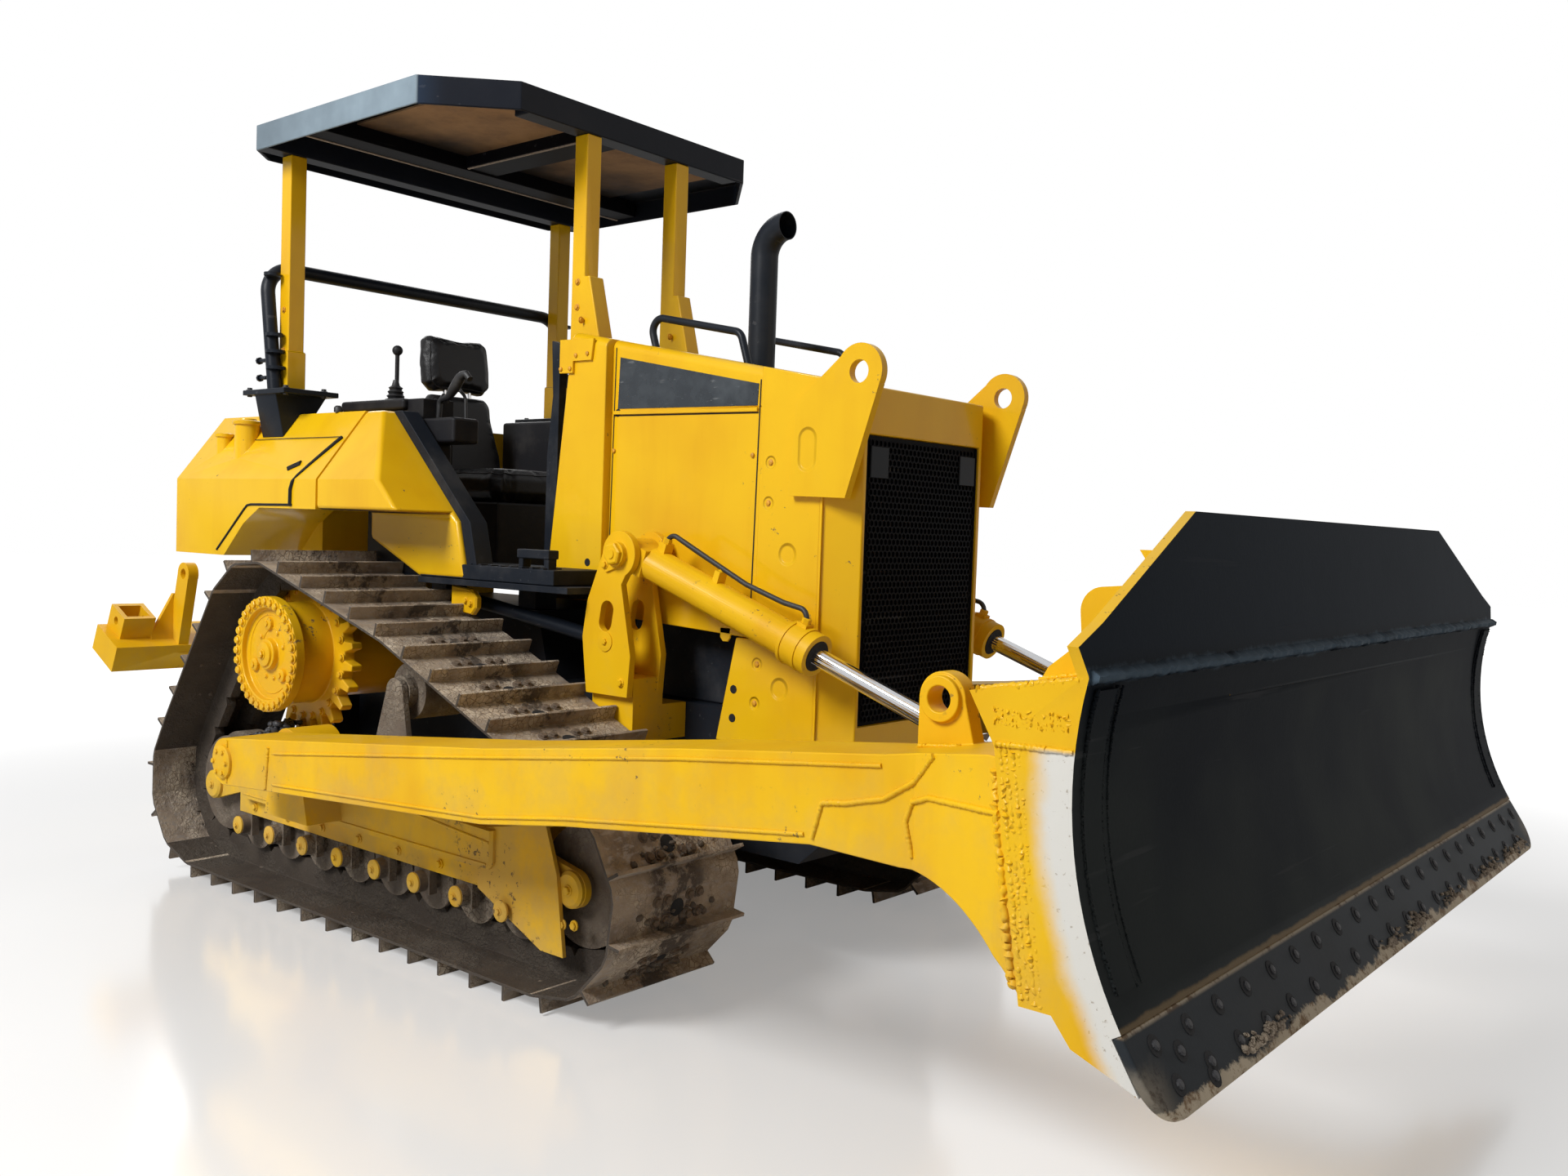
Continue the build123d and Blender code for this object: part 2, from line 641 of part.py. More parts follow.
export_step(bonnet.part, "parts/bonnet.step")

with BuildPart() as exhaust_stack:
    with BuildLine() as stack_path:
        Line((STACK_X, 0, ENGINE_TOP_Z), (STACK_X, 0, STACK_TOP_Z - STACK_BEND))
        ThreePointArc(
            (STACK_X, 0, STACK_TOP_Z - STACK_BEND),
            (STACK_X + STACK_BEND * (1 - cos(pi / 4)), 0, STACK_TOP_Z - STACK_BEND * (1 - sin(pi / 4))),
            (STACK_X + STACK_BEND, 0, STACK_TOP_Z),
        )
    with BuildSketch(Plane.XY.offset(ENGINE_TOP_Z)):
        with Locations((STACK_X, 0)):
            Circle(STACK_R)
            Circle(STACK_R - STACK_WALL, mode=Mode.SUBTRACT)
    sweep(path=stack_path.wires()[0])
exhaust_stack.part.label = "exhaust_stack"
export_step(exhaust_stack.part, "parts/exhaust_stack.step")

# Side panels under the bonnet, between cowl and guard
PANEL_TOP_Z = BONNET_EDGE_Z
PANEL_REAR_Z = 1200
PANEL_FRONT_Z = 1165

with BuildPart() as engine_side_panels:
    for y in (BONNET_HALF, -BONNET_HALF + SHEET):
        with BuildSketch(wall(y)):
            with BuildLine():
                Polyline(
                    (COWL_FRONT_X, PANEL_REAR_Z),
                    (GUARD_REAR_X, PANEL_FRONT_Z),
                    (GUARD_REAR_X, PANEL_TOP_Z),
                    (COWL_FRONT_X, PANEL_TOP_Z),
                    close=True,
                )
            make_face()
        extrude(amount=SHEET)
engine_side_panels.part.label = "engine_side_panels"
export_step(engine_side_panels.part, "parts/engine_side_panels.step")

# Radiator guard with its nose corners cut back, standing astride the main frame
GUARD_HALF = 430
GUARD_NOSE_HALF = 360
GUARD_CORNER_X = 1085
GUARD_FOOT_Z = 790
GUARD_SIDE_THICK = 50
GUARD_FLARE_TOP = 82
GUARD_FLARE_FOOT = 162
GRILLE_HALF = 343
GRILLE_FOOT_Z = 900
GRILLE_TOP_Z = 1864
GRILLE_THICK = 12
GRILLE_INSET = 6

with BuildPart() as radiator_guard:
    with BuildSketch(Plane.XY.offset(GUARD_FOOT_Z)):
        with BuildLine():
            Polyline(
                (GUARD_REAR_X, -GUARD_HALF),
                (GUARD_CORNER_X, -GUARD_HALF),
                (GUARD_NOSE_X, -GUARD_NOSE_HALF),
                (GUARD_NOSE_X, GUARD_NOSE_HALF),
                (GUARD_CORNER_X, GUARD_HALF),
                (GUARD_REAR_X, GUARD_HALF),
                close=True,
            )
        make_face()
    extrude(amount=BONNET_REAR_Z - GUARD_FOOT_Z)
    with BuildSketch(wall(GUARD_HALF)):
        with BuildLine():
            Polyline(
                (GUARD_REAR_X, bonnet_z(GUARD_REAR_X)),
                (GUARD_NOSE_X, bonnet_z(GUARD_NOSE_X)),
                (GUARD_NOSE_X, BONNET_REAR_Z),
                (GUARD_REAR_X, BONNET_REAR_Z),
                close=True,
            )
        make_face()
    extrude(amount=2 * GUARD_HALF, mode=Mode.SUBTRACT)
    for y in (GUARD_HALF, -GUARD_HALF + GUARD_SIDE_THICK):
        with BuildSketch(wall(y)):
            with BuildLine():
                Polyline(
                    (GUARD_REAR_X, PANEL_FRONT_Z),
                    (GUARD_REAR_X - GUARD_FLARE_TOP, PANEL_FRONT_Z),
                    (GUARD_REAR_X - GUARD_FLARE_FOOT, GUARD_FOOT_Z + SHEET),
                    (GUARD_REAR_X, GUARD_FOOT_Z + SHEET),
                    close=True,
                )
            make_face()
        extrude(amount=GUARD_SIDE_THICK)
    with BuildSketch(wall(CASE_HALF)):
        with BuildLine():
            Polyline(
                (GUARD_REAR_X, GUARD_FOOT_Z),
                (CASE_FRONT_X, GUARD_FOOT_Z),
                (CASE_FRONT_X, FRAME_RAIL_TOP_Z),
                (GUARD_REAR_X, FRAME_RAIL_TOP_Z),
                close=True,
            )
        make_face()
    extrude(amount=2 * CASE_HALF, mode=Mode.SUBTRACT)
    with BuildSketch(across(GUARD_NOSE_X - GRILLE_THICK - GRILLE_INSET)):
        with Locations((0, (GRILLE_FOOT_Z + GRILLE_TOP_Z) / 2)):
            Rectangle(2 * GRILLE_HALF, GRILLE_TOP_Z - GRILLE_FOOT_Z)
    extrude(amount=GRILLE_THICK + GRILLE_INSET, mode=Mode.SUBTRACT)
radiator_guard.part.label = "radiator_guard"
export_step(radiator_guard.part, "parts/radiator_guard.step")

with BuildPart() as grille:
    with BuildSketch(across(GUARD_NOSE_X - GRILLE_THICK - GRILLE_INSET)):
        with Locations((0, (GRILLE_FOOT_Z + GRILLE_TOP_Z) / 2)):
            Rectangle(2 * GRILLE_HALF, GRILLE_TOP_Z - GRILLE_FOOT_Z)
    extrude(amount=GRILLE_THICK)
grille.part.label = "grille"
export_step(grille.part, "parts/grille.step")

# Lifting ears on both sides of the guard
EAR_THICK = 30
EAR_EYE_X = 1249
EAR_EYE_Z = 2052
EAR_EYE_R = 37
EAR_HEAD_R = 90
EAR_CORNERS = ((975, 1655), (1210, 1650), (1330, 2010), (1215, 2135), (1002, 1965))

with BuildPart() as lifting_ears:
    for y in (GUARD_HALF + EAR_THICK, -GUARD_HALF):
        with BuildSketch(wall(y)):
            with BuildLine():
                Polyline(*EAR_CORNERS, close=True)
            make_face()
            with Locations((EAR_EYE_X, EAR_EYE_Z)):
                Circle(EAR_HEAD_R)
                Circle(EAR_EYE_R, mode=Mode.SUBTRACT)
        extrude(amount=EAR_THICK)
lifting_ears.part.label = "lifting_ears"
export_step(lifting_ears.part, "parts/lifting_ears.step")

# Handrails on the bonnet
RAIL_TUBE_R = 14
RAIL_Y = 300
RAIL_SINK = 30
RAIL_BEND = 45
RAIL_POINTS = ((185, -RAIL_SINK), (134, 110), (600, 105), (650, -RAIL_SINK))

with BuildPart() as bonnet_handrails:
    for y in (RAIL_Y, -RAIL_Y):
        with BuildLine() as rail_path:
            FilletPolyline(*[(x, y, bonnet_z(x) + up) for x, up in RAIL_POINTS], radius=RAIL_BEND)
        with BuildSketch(Plane(origin=rail_path.wires()[0] @ 0, z_dir=rail_path.wires()[0] % 0)):
            Circle(RAIL_TUBE_R)
        sweep(path=rail_path.wires()[0])
    with BuildSketch(wall(2 * RAIL_Y)):
        with BuildLine():
            Polyline(
                (COWL_FRONT_X, bonnet_z(COWL_FRONT_X)),
                (GUARD_REAR_X, bonnet_z(GUARD_REAR_X)),
                (GUARD_REAR_X, bonnet_z(GUARD_REAR_X) - 3 * RAIL_SINK),
                (COWL_FRONT_X, bonnet_z(COWL_FRONT_X) - 3 * RAIL_SINK),
                close=True,
            )
        make_face()
    extrude(amount=4 * RAIL_Y, mode=Mode.SUBTRACT)
bonnet_handrails.part.label = "bonnet_handrails"
export_step(bonnet_handrails.part, "parts/bonnet_handrails.step")

# Cowl between the engine and the operator, with the front posts' shelves
POST_FRONT_X = -290
POST_FRONT_Y = 250
POST_SIZE = 75
SHELF_Z = 2180
SHELF_THICK = 24

with BuildPart() as cowl:
    with BuildSketch(wall(COWL_HALF)):
        with BuildLine():
            Polyline(
                (BONNET_REAR_X, COWL_FOOT_Z),
                (COWL_FRONT_X, COWL_FOOT_Z),
                (COWL_FRONT_X, bonnet_z(COWL_FRONT_X)),
                (COWL_TOP_X, bonnet_z(COWL_TOP_X)),
                close=True,
            )
        make_face()
    extrude(amount=2 * COWL_HALF)
    top_edges = cowl.edges().filter_by(lambda e: abs(e.tangent_at(0).X) > 0.9).group_by(Axis.Z)[-1]
    fillet(top_edges, BONNET_SHOULDER)
    with BuildSketch(wall(COWL_HALF - SHEET)):
        with BuildLine():
            Polyline(
                (BONNET_REAR_X + 2 * SHEET, COWL_FOOT_Z - SHEET),
                (COWL_FRONT_X - SHEET, COWL_FOOT_Z - SHEET),
                (COWL_FRONT_X - SHEET, bonnet_z(COWL_FRONT_X) - BONNET_SHOULDER),
                (COWL_TOP_X + 2 * SHEET, bonnet_z(COWL_TOP_X) - BONNET_SHOULDER),
                close=True,
            )
        make_face()
    extrude(amount=2 * (COWL_HALF - SHEET), mode=Mode.SUBTRACT)
    for y in (POST_FRONT_Y, -POST_FRONT_Y):
        with BuildSketch(wall(y + POST_SIZE)):
            with BuildLine():
                Polyline(
                    (POST_FRONT_X - POST_SIZE, SHELF_Z),
                    (COWL_TOP_X - LAP, SHELF_Z),
                    (COWL_TOP_X - LAP, SHELF_Z + SHELF_THICK),
                    (POST_FRONT_X - POST_SIZE, SHELF_Z + SHELF_THICK),
                    close=True,
                )
            make_face()
        extrude(amount=2 * POST_SIZE)
cowl.part.label = "cowl"
export_step(cowl.part, "parts/cowl.step")

INSTRUMENT_HALF = 190
INSTRUMENT_FOOT_Z = 1760
INSTRUMENT_KNEE_Z = 1850
INSTRUMENT_DEPTH = 90
INSTRUMENT_GAP = 4
instrument_top_z = SHELF_Z - INSTRUMENT_GAP
cowl_lean = (COWL_TOP_X - BONNET_REAR_X) / (bonnet_z(COWL_TOP_X) - COWL_FOOT_Z)

with BuildPart() as instrument_panel:
    with BuildSketch(wall(INSTRUMENT_HALF)):
        with BuildLine():
            Polyline(
                (BONNET_REAR_X + (INSTRUMENT_FOOT_Z - COWL_FOOT_Z) * cowl_lean, INSTRUMENT_FOOT_Z),
                (BONNET_REAR_X + (instrument_top_z - COWL_FOOT_Z) * cowl_lean, instrument_top_z),
                (BONNET_REAR_X - INSTRUMENT_DEPTH + SHEET, instrument_top_z),
                (BONNET_REAR_X - INSTRUMENT_DEPTH, INSTRUMENT_KNEE_Z),
                close=True,
            )
        make_face()
    extrude(amount=2 * INSTRUMENT_HALF)
instrument_panel.part.label = "instrument_panel"
export_step(instrument_panel.part, "parts/instrument_panel.step")

# Operator deck with steps, side strips and sills
DECK_TOP_Z = 1310
DECK_THICK = 24
DECK_REAR_X = -1240
STEP_OVER_TRACK = 7
DECK_HALF = TRACK_SIDE_Y + STEP_OVER_TRACK
STEP_FRONT_X = 190
STEP_LIP = 5
STEP_INNER_Y = COWL_HALF + STEP_LIP
SIDE_WALL_INSET = 100
SIDE_WALL_Y = DECK_HALF - SIDE_WALL_INSET
DECK_SIDE_GAP = 20
DECK_REAR_HALF = SIDE_WALL_Y - DECK_SIDE_GAP
STEP_REAR_X = -700
STRIP_WIDTH = 80
SILL_TOP_Z = COWL_FOOT_Z
MOUNT_XS = (-1120, -520)
MOUNT_Y = 260
MOUNT_SIZE = 110
FENDER_TOP_Z = 1970
FENDER_FRONT = ((-400, DECK_TOP_Z), (-460, 1530), (-920, FENDER_TOP_Z))
STRIP_DEPTH = 60

with BuildPart() as operator_deck:
    with Locations(((DECK_REAR_X + COWL_FRONT_X) / 2, 0, DECK_TOP_Z - DECK_THICK / 2)):
        Box(COWL_FRONT_X - DECK_REAR_X, 2 * STEP_INNER_Y, DECK_THICK)
    with Locations(((DECK_REAR_X + STEP_REAR_X) / 2, 0, DECK_TOP_Z - DECK_THICK / 2)):
        Box(STEP_REAR_X - DECK_REAR_X, 2 * DECK_REAR_HALF, DECK_THICK)
    for side in (1, -1):
        mid = side * (STEP_INNER_Y + DECK_HALF) / 2
        with Locations(((STEP_REAR_X + STEP_FRONT_X) / 2, mid, DECK_TOP_Z - DECK_THICK / 2)):
            Box(STEP_FRONT_X - STEP_REAR_X, DECK_HALF - STEP_INNER_Y, DECK_THICK)
        with Locations((
            (BONNET_REAR_X + COWL_FRONT_X) / 2,
            side * (COWL_HALF - SHEET),
            (DECK_TOP_Z + SILL_TOP_Z) / 2,
        )):
            Box(COWL_FRONT_X - BONNET_REAR_X, 2 * SHEET, SILL_TOP_Z - DECK_TOP_Z)
    for x in MOUNT_XS:
        for y in (MOUNT_Y, -MOUNT_Y):
            with Locations((x, y, (CASE_TOP_Z + DECK_TOP_Z - DECK_THICK) / 2)):
                Box(MOUNT_SIZE, MOUNT_SIZE, DECK_TOP_Z - DECK_THICK - CASE_TOP_Z)
    for y in (SIDE_WALL_Y + STRIP_WIDTH, -SIDE_WALL_Y):
        with BuildSketch(wall(y)):
            with BuildLine():
                Polyline(
                    *FENDER_FRONT,
                    *[(x + STRIP_DEPTH, z) for x, z in reversed(FENDER_FRONT)],
                    close=True,
                )
            make_face()
        extrude(amount=STRIP_WIDTH)
operator_deck.part.label = "operator_deck"
export_step(operator_deck.part, "parts/operator_deck.step")

# Seat
SEAT_FRONT_X = -820
SEAT_REAR_X = -1350
SEAT_BASE_FRONT_X = -860
SEAT_NOSE_R = 50
SEAT_BACK_LIFT = 20
SEAT_BACK_KNEE = 120
HEADREST_FOOT_Z = 2090
SEAT_WAIST_Z = 1960
SEAT_BASE_HALF = 210
SEAT_BASE_TOP_Z = 1620
SEAT_HALF = 245
SEAT_CUSHION_TOP_Z = 1770
SEAT_BACK_LEAN = 90
SEAT_BACK_THICK = 110
SEAT_BACK_TOP_Z = 2400
HEADREST_HALF = 195

with BuildPart() as seat_base:
    with Locations(((SEAT_BASE_FRONT_X + SEAT_REAR_X) / 2, 0, (DECK_TOP_Z + SEAT_BASE_TOP_Z) / 2)):
        Box(SEAT_BASE_FRONT_X - SEAT_REAR_X, 2 * SEAT_BASE_HALF, SEAT_BASE_TOP_Z - DECK_TOP_Z)
seat_base.part.label = "seat_base"
export_step(seat_base.part, "parts/seat_base.step")

with BuildPart() as seat_cushion:
    with Locations(((SEAT_FRONT_X + SEAT_REAR_X) / 2, 0, (SEAT_BASE_TOP_Z + SEAT_CUSHION_TOP_Z) / 2)):
        Box(SEAT_FRONT_X - SEAT_REAR_X, 2 * SEAT_HALF, SEAT_CUSHION_TOP_Z - SEAT_BASE_TOP_Z)
    fillet(seat_cushion.edges().filter_by(Axis.Y).group_by(Axis.X)[-1], SEAT_NOSE_R)
seat_cushion.part.label = "seat_cushion"
export_step(seat_cushion.part, "parts/seat_cushion.step")

with BuildPart() as seat_back:
    with BuildSketch(wall(SEAT_HALF)):
        with BuildLine():
            Polyline(
                (SEAT_REAR_X, SEAT_BASE_TOP_Z + SEAT_BACK_LIFT),
                (SEAT_REAR_X - SEAT_BACK_THICK, SEAT_BASE_TOP_Z + SEAT_BACK_LIFT),
                (SEAT_REAR_X - SEAT_BACK_THICK - SEAT_BACK_LEAN, SEAT_BACK_TOP_Z),
                (SEAT_REAR_X - SEAT_BACK_LEAN, SEAT_BACK_TOP_Z),
                (SEAT_REAR_X, SEAT_CUSHION_TOP_Z + SEAT_BACK_KNEE),
                close=True,
            )
        make_face()
    extrude(amount=2 * SEAT_HALF)
    with BuildSketch(across(SEAT_REAR_X - SEAT_BACK_THICK - SEAT_BACK_LEAN)):
        with BuildLine():
            Polyline(
                (HEADREST_HALF, SEAT_BACK_TOP_Z),
                (HEADREST_HALF, HEADREST_FOOT_Z),
                (SEAT_HALF, SEAT_WAIST_Z),
                (SEAT_HALF + OVERCUT, SEAT_WAIST_Z),
                (SEAT_HALF + OVERCUT, SEAT_BACK_TOP_Z + OVERCUT),
                (HEADREST_HALF, SEAT_BACK_TOP_Z + OVERCUT),
                close=True,
            )
        make_face()
        mirror(about=Plane.YZ)
    extrude(amount=SEAT_BACK_THICK + SEAT_BACK_LEAN, mode=Mode.SUBTRACT)
seat_back.part.label = "seat_back"
export_step(seat_back.part, "parts/seat_back.step")

# Consoles beside the seat, each with its lever
CONSOLE_REAR_X = -1240
CONSOLE_FRONT_X = -860
CONSOLE_TOP_Z = 2030
CONSOLE_WIDTH = 150
CONSOLE_INNER_Y = DECK_REAR_HALF - CONSOLE_WIDTH
LEVER_X = -1160
LEVER_TOP_Z = 2250
LEVER_R = 9
KNOB_R = 22
BOOT_R = 40
BOOT_HEIGHT = 60
BOOT_TAPER = 20

with BuildPart() as control_consoles:
    for side in (1, -1):
        mid = side * (CONSOLE_INNER_Y + DECK_REAR_HALF) / 2
        with Locations(((CONSOLE_REAR_X + CONSOLE_FRONT_X) / 2, mid, (DECK_TOP_Z + CONSOLE_TOP_Z) / 2)):
            Box(CONSOLE_FRONT_X - CONSOLE_REAR_X, CONSOLE_WIDTH, CONSOLE_TOP_Z - DECK_TOP_Z)
        with BuildSketch(Plane.XY.offset(CONSOLE_TOP_Z)):
            with Locations((LEVER_X, mid)):
                Circle(BOOT_R)
        extrude(amount=BOOT_HEIGHT, taper=BOOT_TAPER)
        with BuildSketch(Plane.XY.offset(CONSOLE_TOP_Z)):
            with Locations((LEVER_X, mid)):
                Circle(LEVER_R)
        extrude(amount=LEVER_TOP_Z - CONSOLE_TOP_Z)
        with Locations((LEVER_X, mid, LEVER_TOP_Z)):
            Sphere(KNOB_R)
control_consoles.part.label = "control_consoles"
export_step(control_consoles.part, "parts/control_consoles.step")

# Fuel tank across the rear and the fenders ahead of it
TANK_REAR_X = -2190
TANK_FRONT_X = -1560
FENDER_SEAM_X = -1040
FENDER_WIDTH = 250
FENDER_OUTER_Y = DECK_HALF + FENDER_WIDTH
FENDER_BEVEL_WIDTH = 220
FENDER_SHOULDER_Y = FENDER_OUTER_Y - FENDER_BEVEL_WIDTH
FENDER_BEVEL_Z = 1680
FENDER_EDGE_Z = 1560
FENDER_INNER_FOOT_Y = DECK_HALF
FENDER_FOOT_RISE = 140
TANK_FOOT_Z = 1350
NECK_INSET = 120
NECK_Y = FENDER_OUTER_Y - NECK_INSET
TANK_HIP_Z = 1490
TANK_STEP = ((-1760, TANK_FOOT_Z), (-1600, TANK_HIP_Z), (-1470, FENDER_EDGE_Z))
# Columns: x, radius and top of the filler cap and the filler neck
TANK_NECKS = ((-2000, 34, 1880), (-1800, 52, 1930))
NECK_FOOT_Z = 1700

with BuildPart() as fuel_tank:
    with BuildSketch(across(TANK_REAR_X)):
        with BuildLine():
            Polyline(
                (FENDER_OUTER_Y, TANK_FOOT_Z),
                (FENDER_OUTER_Y, FENDER_BEVEL_Z),
                (FENDER_SHOULDER_Y, FENDER_TOP_Z),
                (-FENDER_SHOULDER_Y, FENDER_TOP_Z),
                (-FENDER_OUTER_Y, FENDER_BEVEL_Z),
                (-FENDER_OUTER_Y, TANK_FOOT_Z),
                close=True,
            )
        make_face()
    extrude(amount=FENDER_SEAM_X - TANK_REAR_X)
    with BuildSketch(Plane.XY.offset(TANK_FOOT_Z)):
        with Locations(((TANK_FRONT_X + FENDER_SEAM_X + OVERCUT) / 2, 0)):
            Rectangle(FENDER_SEAM_X + OVERCUT - TANK_FRONT_X, 2 * SIDE_WALL_Y)
    extrude(amount=FENDER_TOP_Z - TANK_FOOT_Z, mode=Mode.SUBTRACT)
    for face_y in (FENDER_OUTER_Y, -SIDE_WALL_Y):
        with BuildSketch(wall(face_y)):
            with BuildLine():
                Polyline(
                    *TANK_STEP,
                    (FENDER_SEAM_X, FENDER_EDGE_Z),
                    (FENDER_SEAM_X, TANK_FOOT_Z),
                    close=True,
                )
            make_face()
        extrude(amount=FENDER_OUTER_Y - SIDE_WALL_Y, mode=Mode.SUBTRACT)
    with Locations(((CASE_REAR_X + TANK_FRONT_X) / 2, 0, (CASE_TOP_Z + TANK_FOOT_Z) / 2)):
        Box(TANK_FRONT_X - CASE_REAR_X, 2 * CASE_HALF, TANK_FOOT_Z - CASE_TOP_Z)
    for x, r, top in TANK_NECKS:
        with BuildSketch(Plane.XY.offset(NECK_FOOT_Z)):
            with Locations((x, NECK_Y), (x, -NECK_Y)):
                Circle(r)
        extrude(amount=top - NECK_FOOT_Z)
fuel_tank.part.label = "fuel_tank"
export_step(fuel_tank.part, "parts/fuel_tank.step")

with BuildPart() as fender_right:
    with BuildSketch(across(FENDER_SEAM_X)):
        with BuildLine():
            Polyline(
                (-SIDE_WALL_Y, DECK_TOP_Z),
                (-SIDE_WALL_Y, FENDER_TOP_Z),
                (-FENDER_SHOULDER_Y, FENDER_TOP_Z),
                (-FENDER_OUTER_Y, FENDER_BEVEL_Z),
                (-FENDER_OUTER_Y, FENDER_EDGE_Z),
                (-FENDER_INNER_FOOT_Y, FENDER_EDGE_Z),
                (-FENDER_INNER_FOOT_Y, DECK_TOP_Z),
                close=True,
            )
        make_face()
    extrude(amount=FENDER_FRONT[0][0] - FENDER_SEAM_X)
    with BuildSketch(wall(-SIDE_WALL_Y)):
        with BuildLine():
            Polyline(
                *FENDER_FRONT,
                (FENDER_FRONT[0][0], FENDER_TOP_Z),
                close=True,
            )
        make_face()
        with BuildLine():
            Polyline(
                (FENDER_SEAM_X, DECK_TOP_Z),
                (STEP_REAR_X, DECK_TOP_Z),
                (FENDER_SEAM_X, DECK_TOP_Z + FENDER_FOOT_RISE),
                close=True,
            )
        make_face()
    extrude(amount=FENDER_OUTER_Y - SIDE_WALL_Y, mode=Mode.SUBTRACT)
fender_right.part.label = "fender_right"
export_step(fender_right.part, "parts/fender_right.step")

with BuildPart() as fender_left:
    mirror(fender_right.part, about=Plane.XZ)
fender_left.part.label = "fender_left"
export_step(fender_left.part, "parts/fender_left.step")

# Canopy on four posts, rear post mounts and the guard arch behind the seat
ROOF_FRONT_X = -245
ROOF_REAR_X = -1774
POST_REAR_Y = FENDER_SHOULDER_Y
ROOF_OVERHANG = 155
ROOF_HALF = POST_REAR_Y + ROOF_OVERHANG
ROOF_TOP_Z = 3187
ROOF_DEPTH = 107
ROOF_FRONT_CUT = 276
ROOF_REAR_CUT = 111
ROOF_PLATE = 12
BEAM_WIDTH = 90
BEAM_DEPTH = ROOF_DEPTH - ROOF_PLATE
POST_REAR_X = -1620
FRONT_BEAM_INSET = 40
POST_FOOT_SIZE = 88
POST_FOOT_TOP_Z = 2240
POST_GUSSET_TOP_Z = 2520
POST_GUSSET_TIP = 30
POST_GUSSET_INSET = 20
MOUNT_TOP_Z = 2070
MOUNT_PLATE = 22
MOUNT_PLATE_LENGTH = 260
MOUNT_PLATE_WIDTH = 340
FUNNEL_HALF = 85
FUNNEL_TOP_HALF = 120
FUNNEL_FOOT_HALF = 70
FUNNEL_OVERHANG = 80
ROOF_FOOT_Z = ROOF_TOP_Z - ROOF_DEPTH
bevel_slope = (FENDER_TOP_Z - FENDER_BEVEL_Z) / FENDER_BEVEL_WIDTH

with BuildPart() as canopy_roof:
    for inset, depth, mode in ((0, ROOF_DEPTH, Mode.ADD), (SHEET, BEAM_DEPTH, Mode.SUBTRACT)):
        front, rear, half = ROOF_FRONT_X - inset, ROOF_REAR_X + inset, ROOF_HALF - inset
        with BuildSketch(Plane.XY.offset(ROOF_FOOT_Z)):
            with BuildLine():
                Polyline(
                    (front, half - ROOF_FRONT_CUT),
                    (front - ROOF_FRONT_CUT, half),
                    (rear + ROOF_REAR_CUT, half),
                    (rear, half - ROOF_REAR_CUT),
                    (rear, -half + ROOF_REAR_CUT),
                    (rear + ROOF_REAR_CUT, -half),
                    (front - ROOF_FRONT_CUT, -half),
                    (front, -half + ROOF_FRONT_CUT),
                    close=True,
                )
            make_face()
        extrude(amount=depth, mode=mode)
    for x, inset in ((POST_FRONT_X, ROOF_FRONT_CUT + FRONT_BEAM_INSET), (POST_REAR_X, SHEET)):
        with Locations((x, 0, ROOF_FOOT_Z + BEAM_DEPTH / 2)):
            Box(BEAM_WIDTH, 2 * (ROOF_HALF - inset), BEAM_DEPTH)
canopy_roof.part.label = "canopy_roof"
export_step(canopy_roof.part, "parts/canopy_roof.step")

with BuildPart() as canopy_posts:
    for y in (POST_FRONT_Y, -POST_FRONT_Y):
        with Locations((POST_FRONT_X, y, (SHELF_Z + SHELF_THICK + ROOF_FOOT_Z) / 2)):
            Box(POST_SIZE, POST_SIZE, ROOF_FOOT_Z - SHELF_Z - SHELF_THICK)
        with BuildSketch(wall(y + POST_SIZE / 2)):
            with BuildLine():
                Polyline(
                    (POST_FRONT_X, SHELF_Z + SHELF_THICK),
                    (COWL_TOP_X - POST_GUSSET_INSET, SHELF_Z + SHELF_THICK),
                    (POST_FRONT_X + POST_SIZE / 2 + POST_GUSSET_TIP, POST_GUSSET_TOP_Z),
                    (POST_FRONT_X, POST_GUSSET_TOP_Z),
                    close=True,
                )
            make_face()
        extrude(amount=POST_SIZE)
    for y in (POST_REAR_Y, -POST_REAR_Y):
        with Locations((POST_REAR_X, y, (MOUNT_TOP_Z + ROOF_FOOT_Z) / 2)):
            Box(POST_SIZE, POST_SIZE, ROOF_FOOT_Z - MOUNT_TOP_Z)
        with Locations((POST_REAR_X, y, (MOUNT_TOP_Z + POST_FOOT_TOP_Z) / 2)):
            Box(POST_FOOT_SIZE, POST_FOOT_SIZE, POST_FOOT_TOP_Z - MOUNT_TOP_Z)
canopy_posts.part.label = "canopy_posts"
export_step(canopy_posts.part, "parts/canopy_posts.step")

with BuildPart() as rear_post_mounts:
    for y in (POST_REAR_Y, -POST_REAR_Y):
        with Locations((POST_REAR_X, y, MOUNT_TOP_Z - MOUNT_PLATE / 2)):
            Box(MOUNT_PLATE_WIDTH, MOUNT_PLATE_LENGTH, MOUNT_PLATE)
    with BuildSketch(across(POST_REAR_X - FUNNEL_HALF)):
        with BuildLine():
            Polyline(
                (POST_REAR_Y - FUNNEL_FOOT_HALF, FENDER_TOP_Z),
                (FENDER_SHOULDER_Y, FENDER_TOP_Z),
                (FENDER_SHOULDER_Y + FUNNEL_OVERHANG, FENDER_TOP_Z - FUNNEL_OVERHANG * bevel_slope),
                (POST_REAR_Y + FUNNEL_TOP_HALF, MOUNT_TOP_Z - MOUNT_PLATE),
                (POST_REAR_Y - FUNNEL_TOP_HALF, MOUNT_TOP_Z - MOUNT_PLATE),
                close=True,
            )
        make_face()
        mirror(about=Plane.YZ)
    extrude(amount=2 * FUNNEL_HALF)
rear_post_mounts.part.label = "rear_post_mounts"
export_step(rear_post_mounts.part, "parts/rear_post_mounts.step")

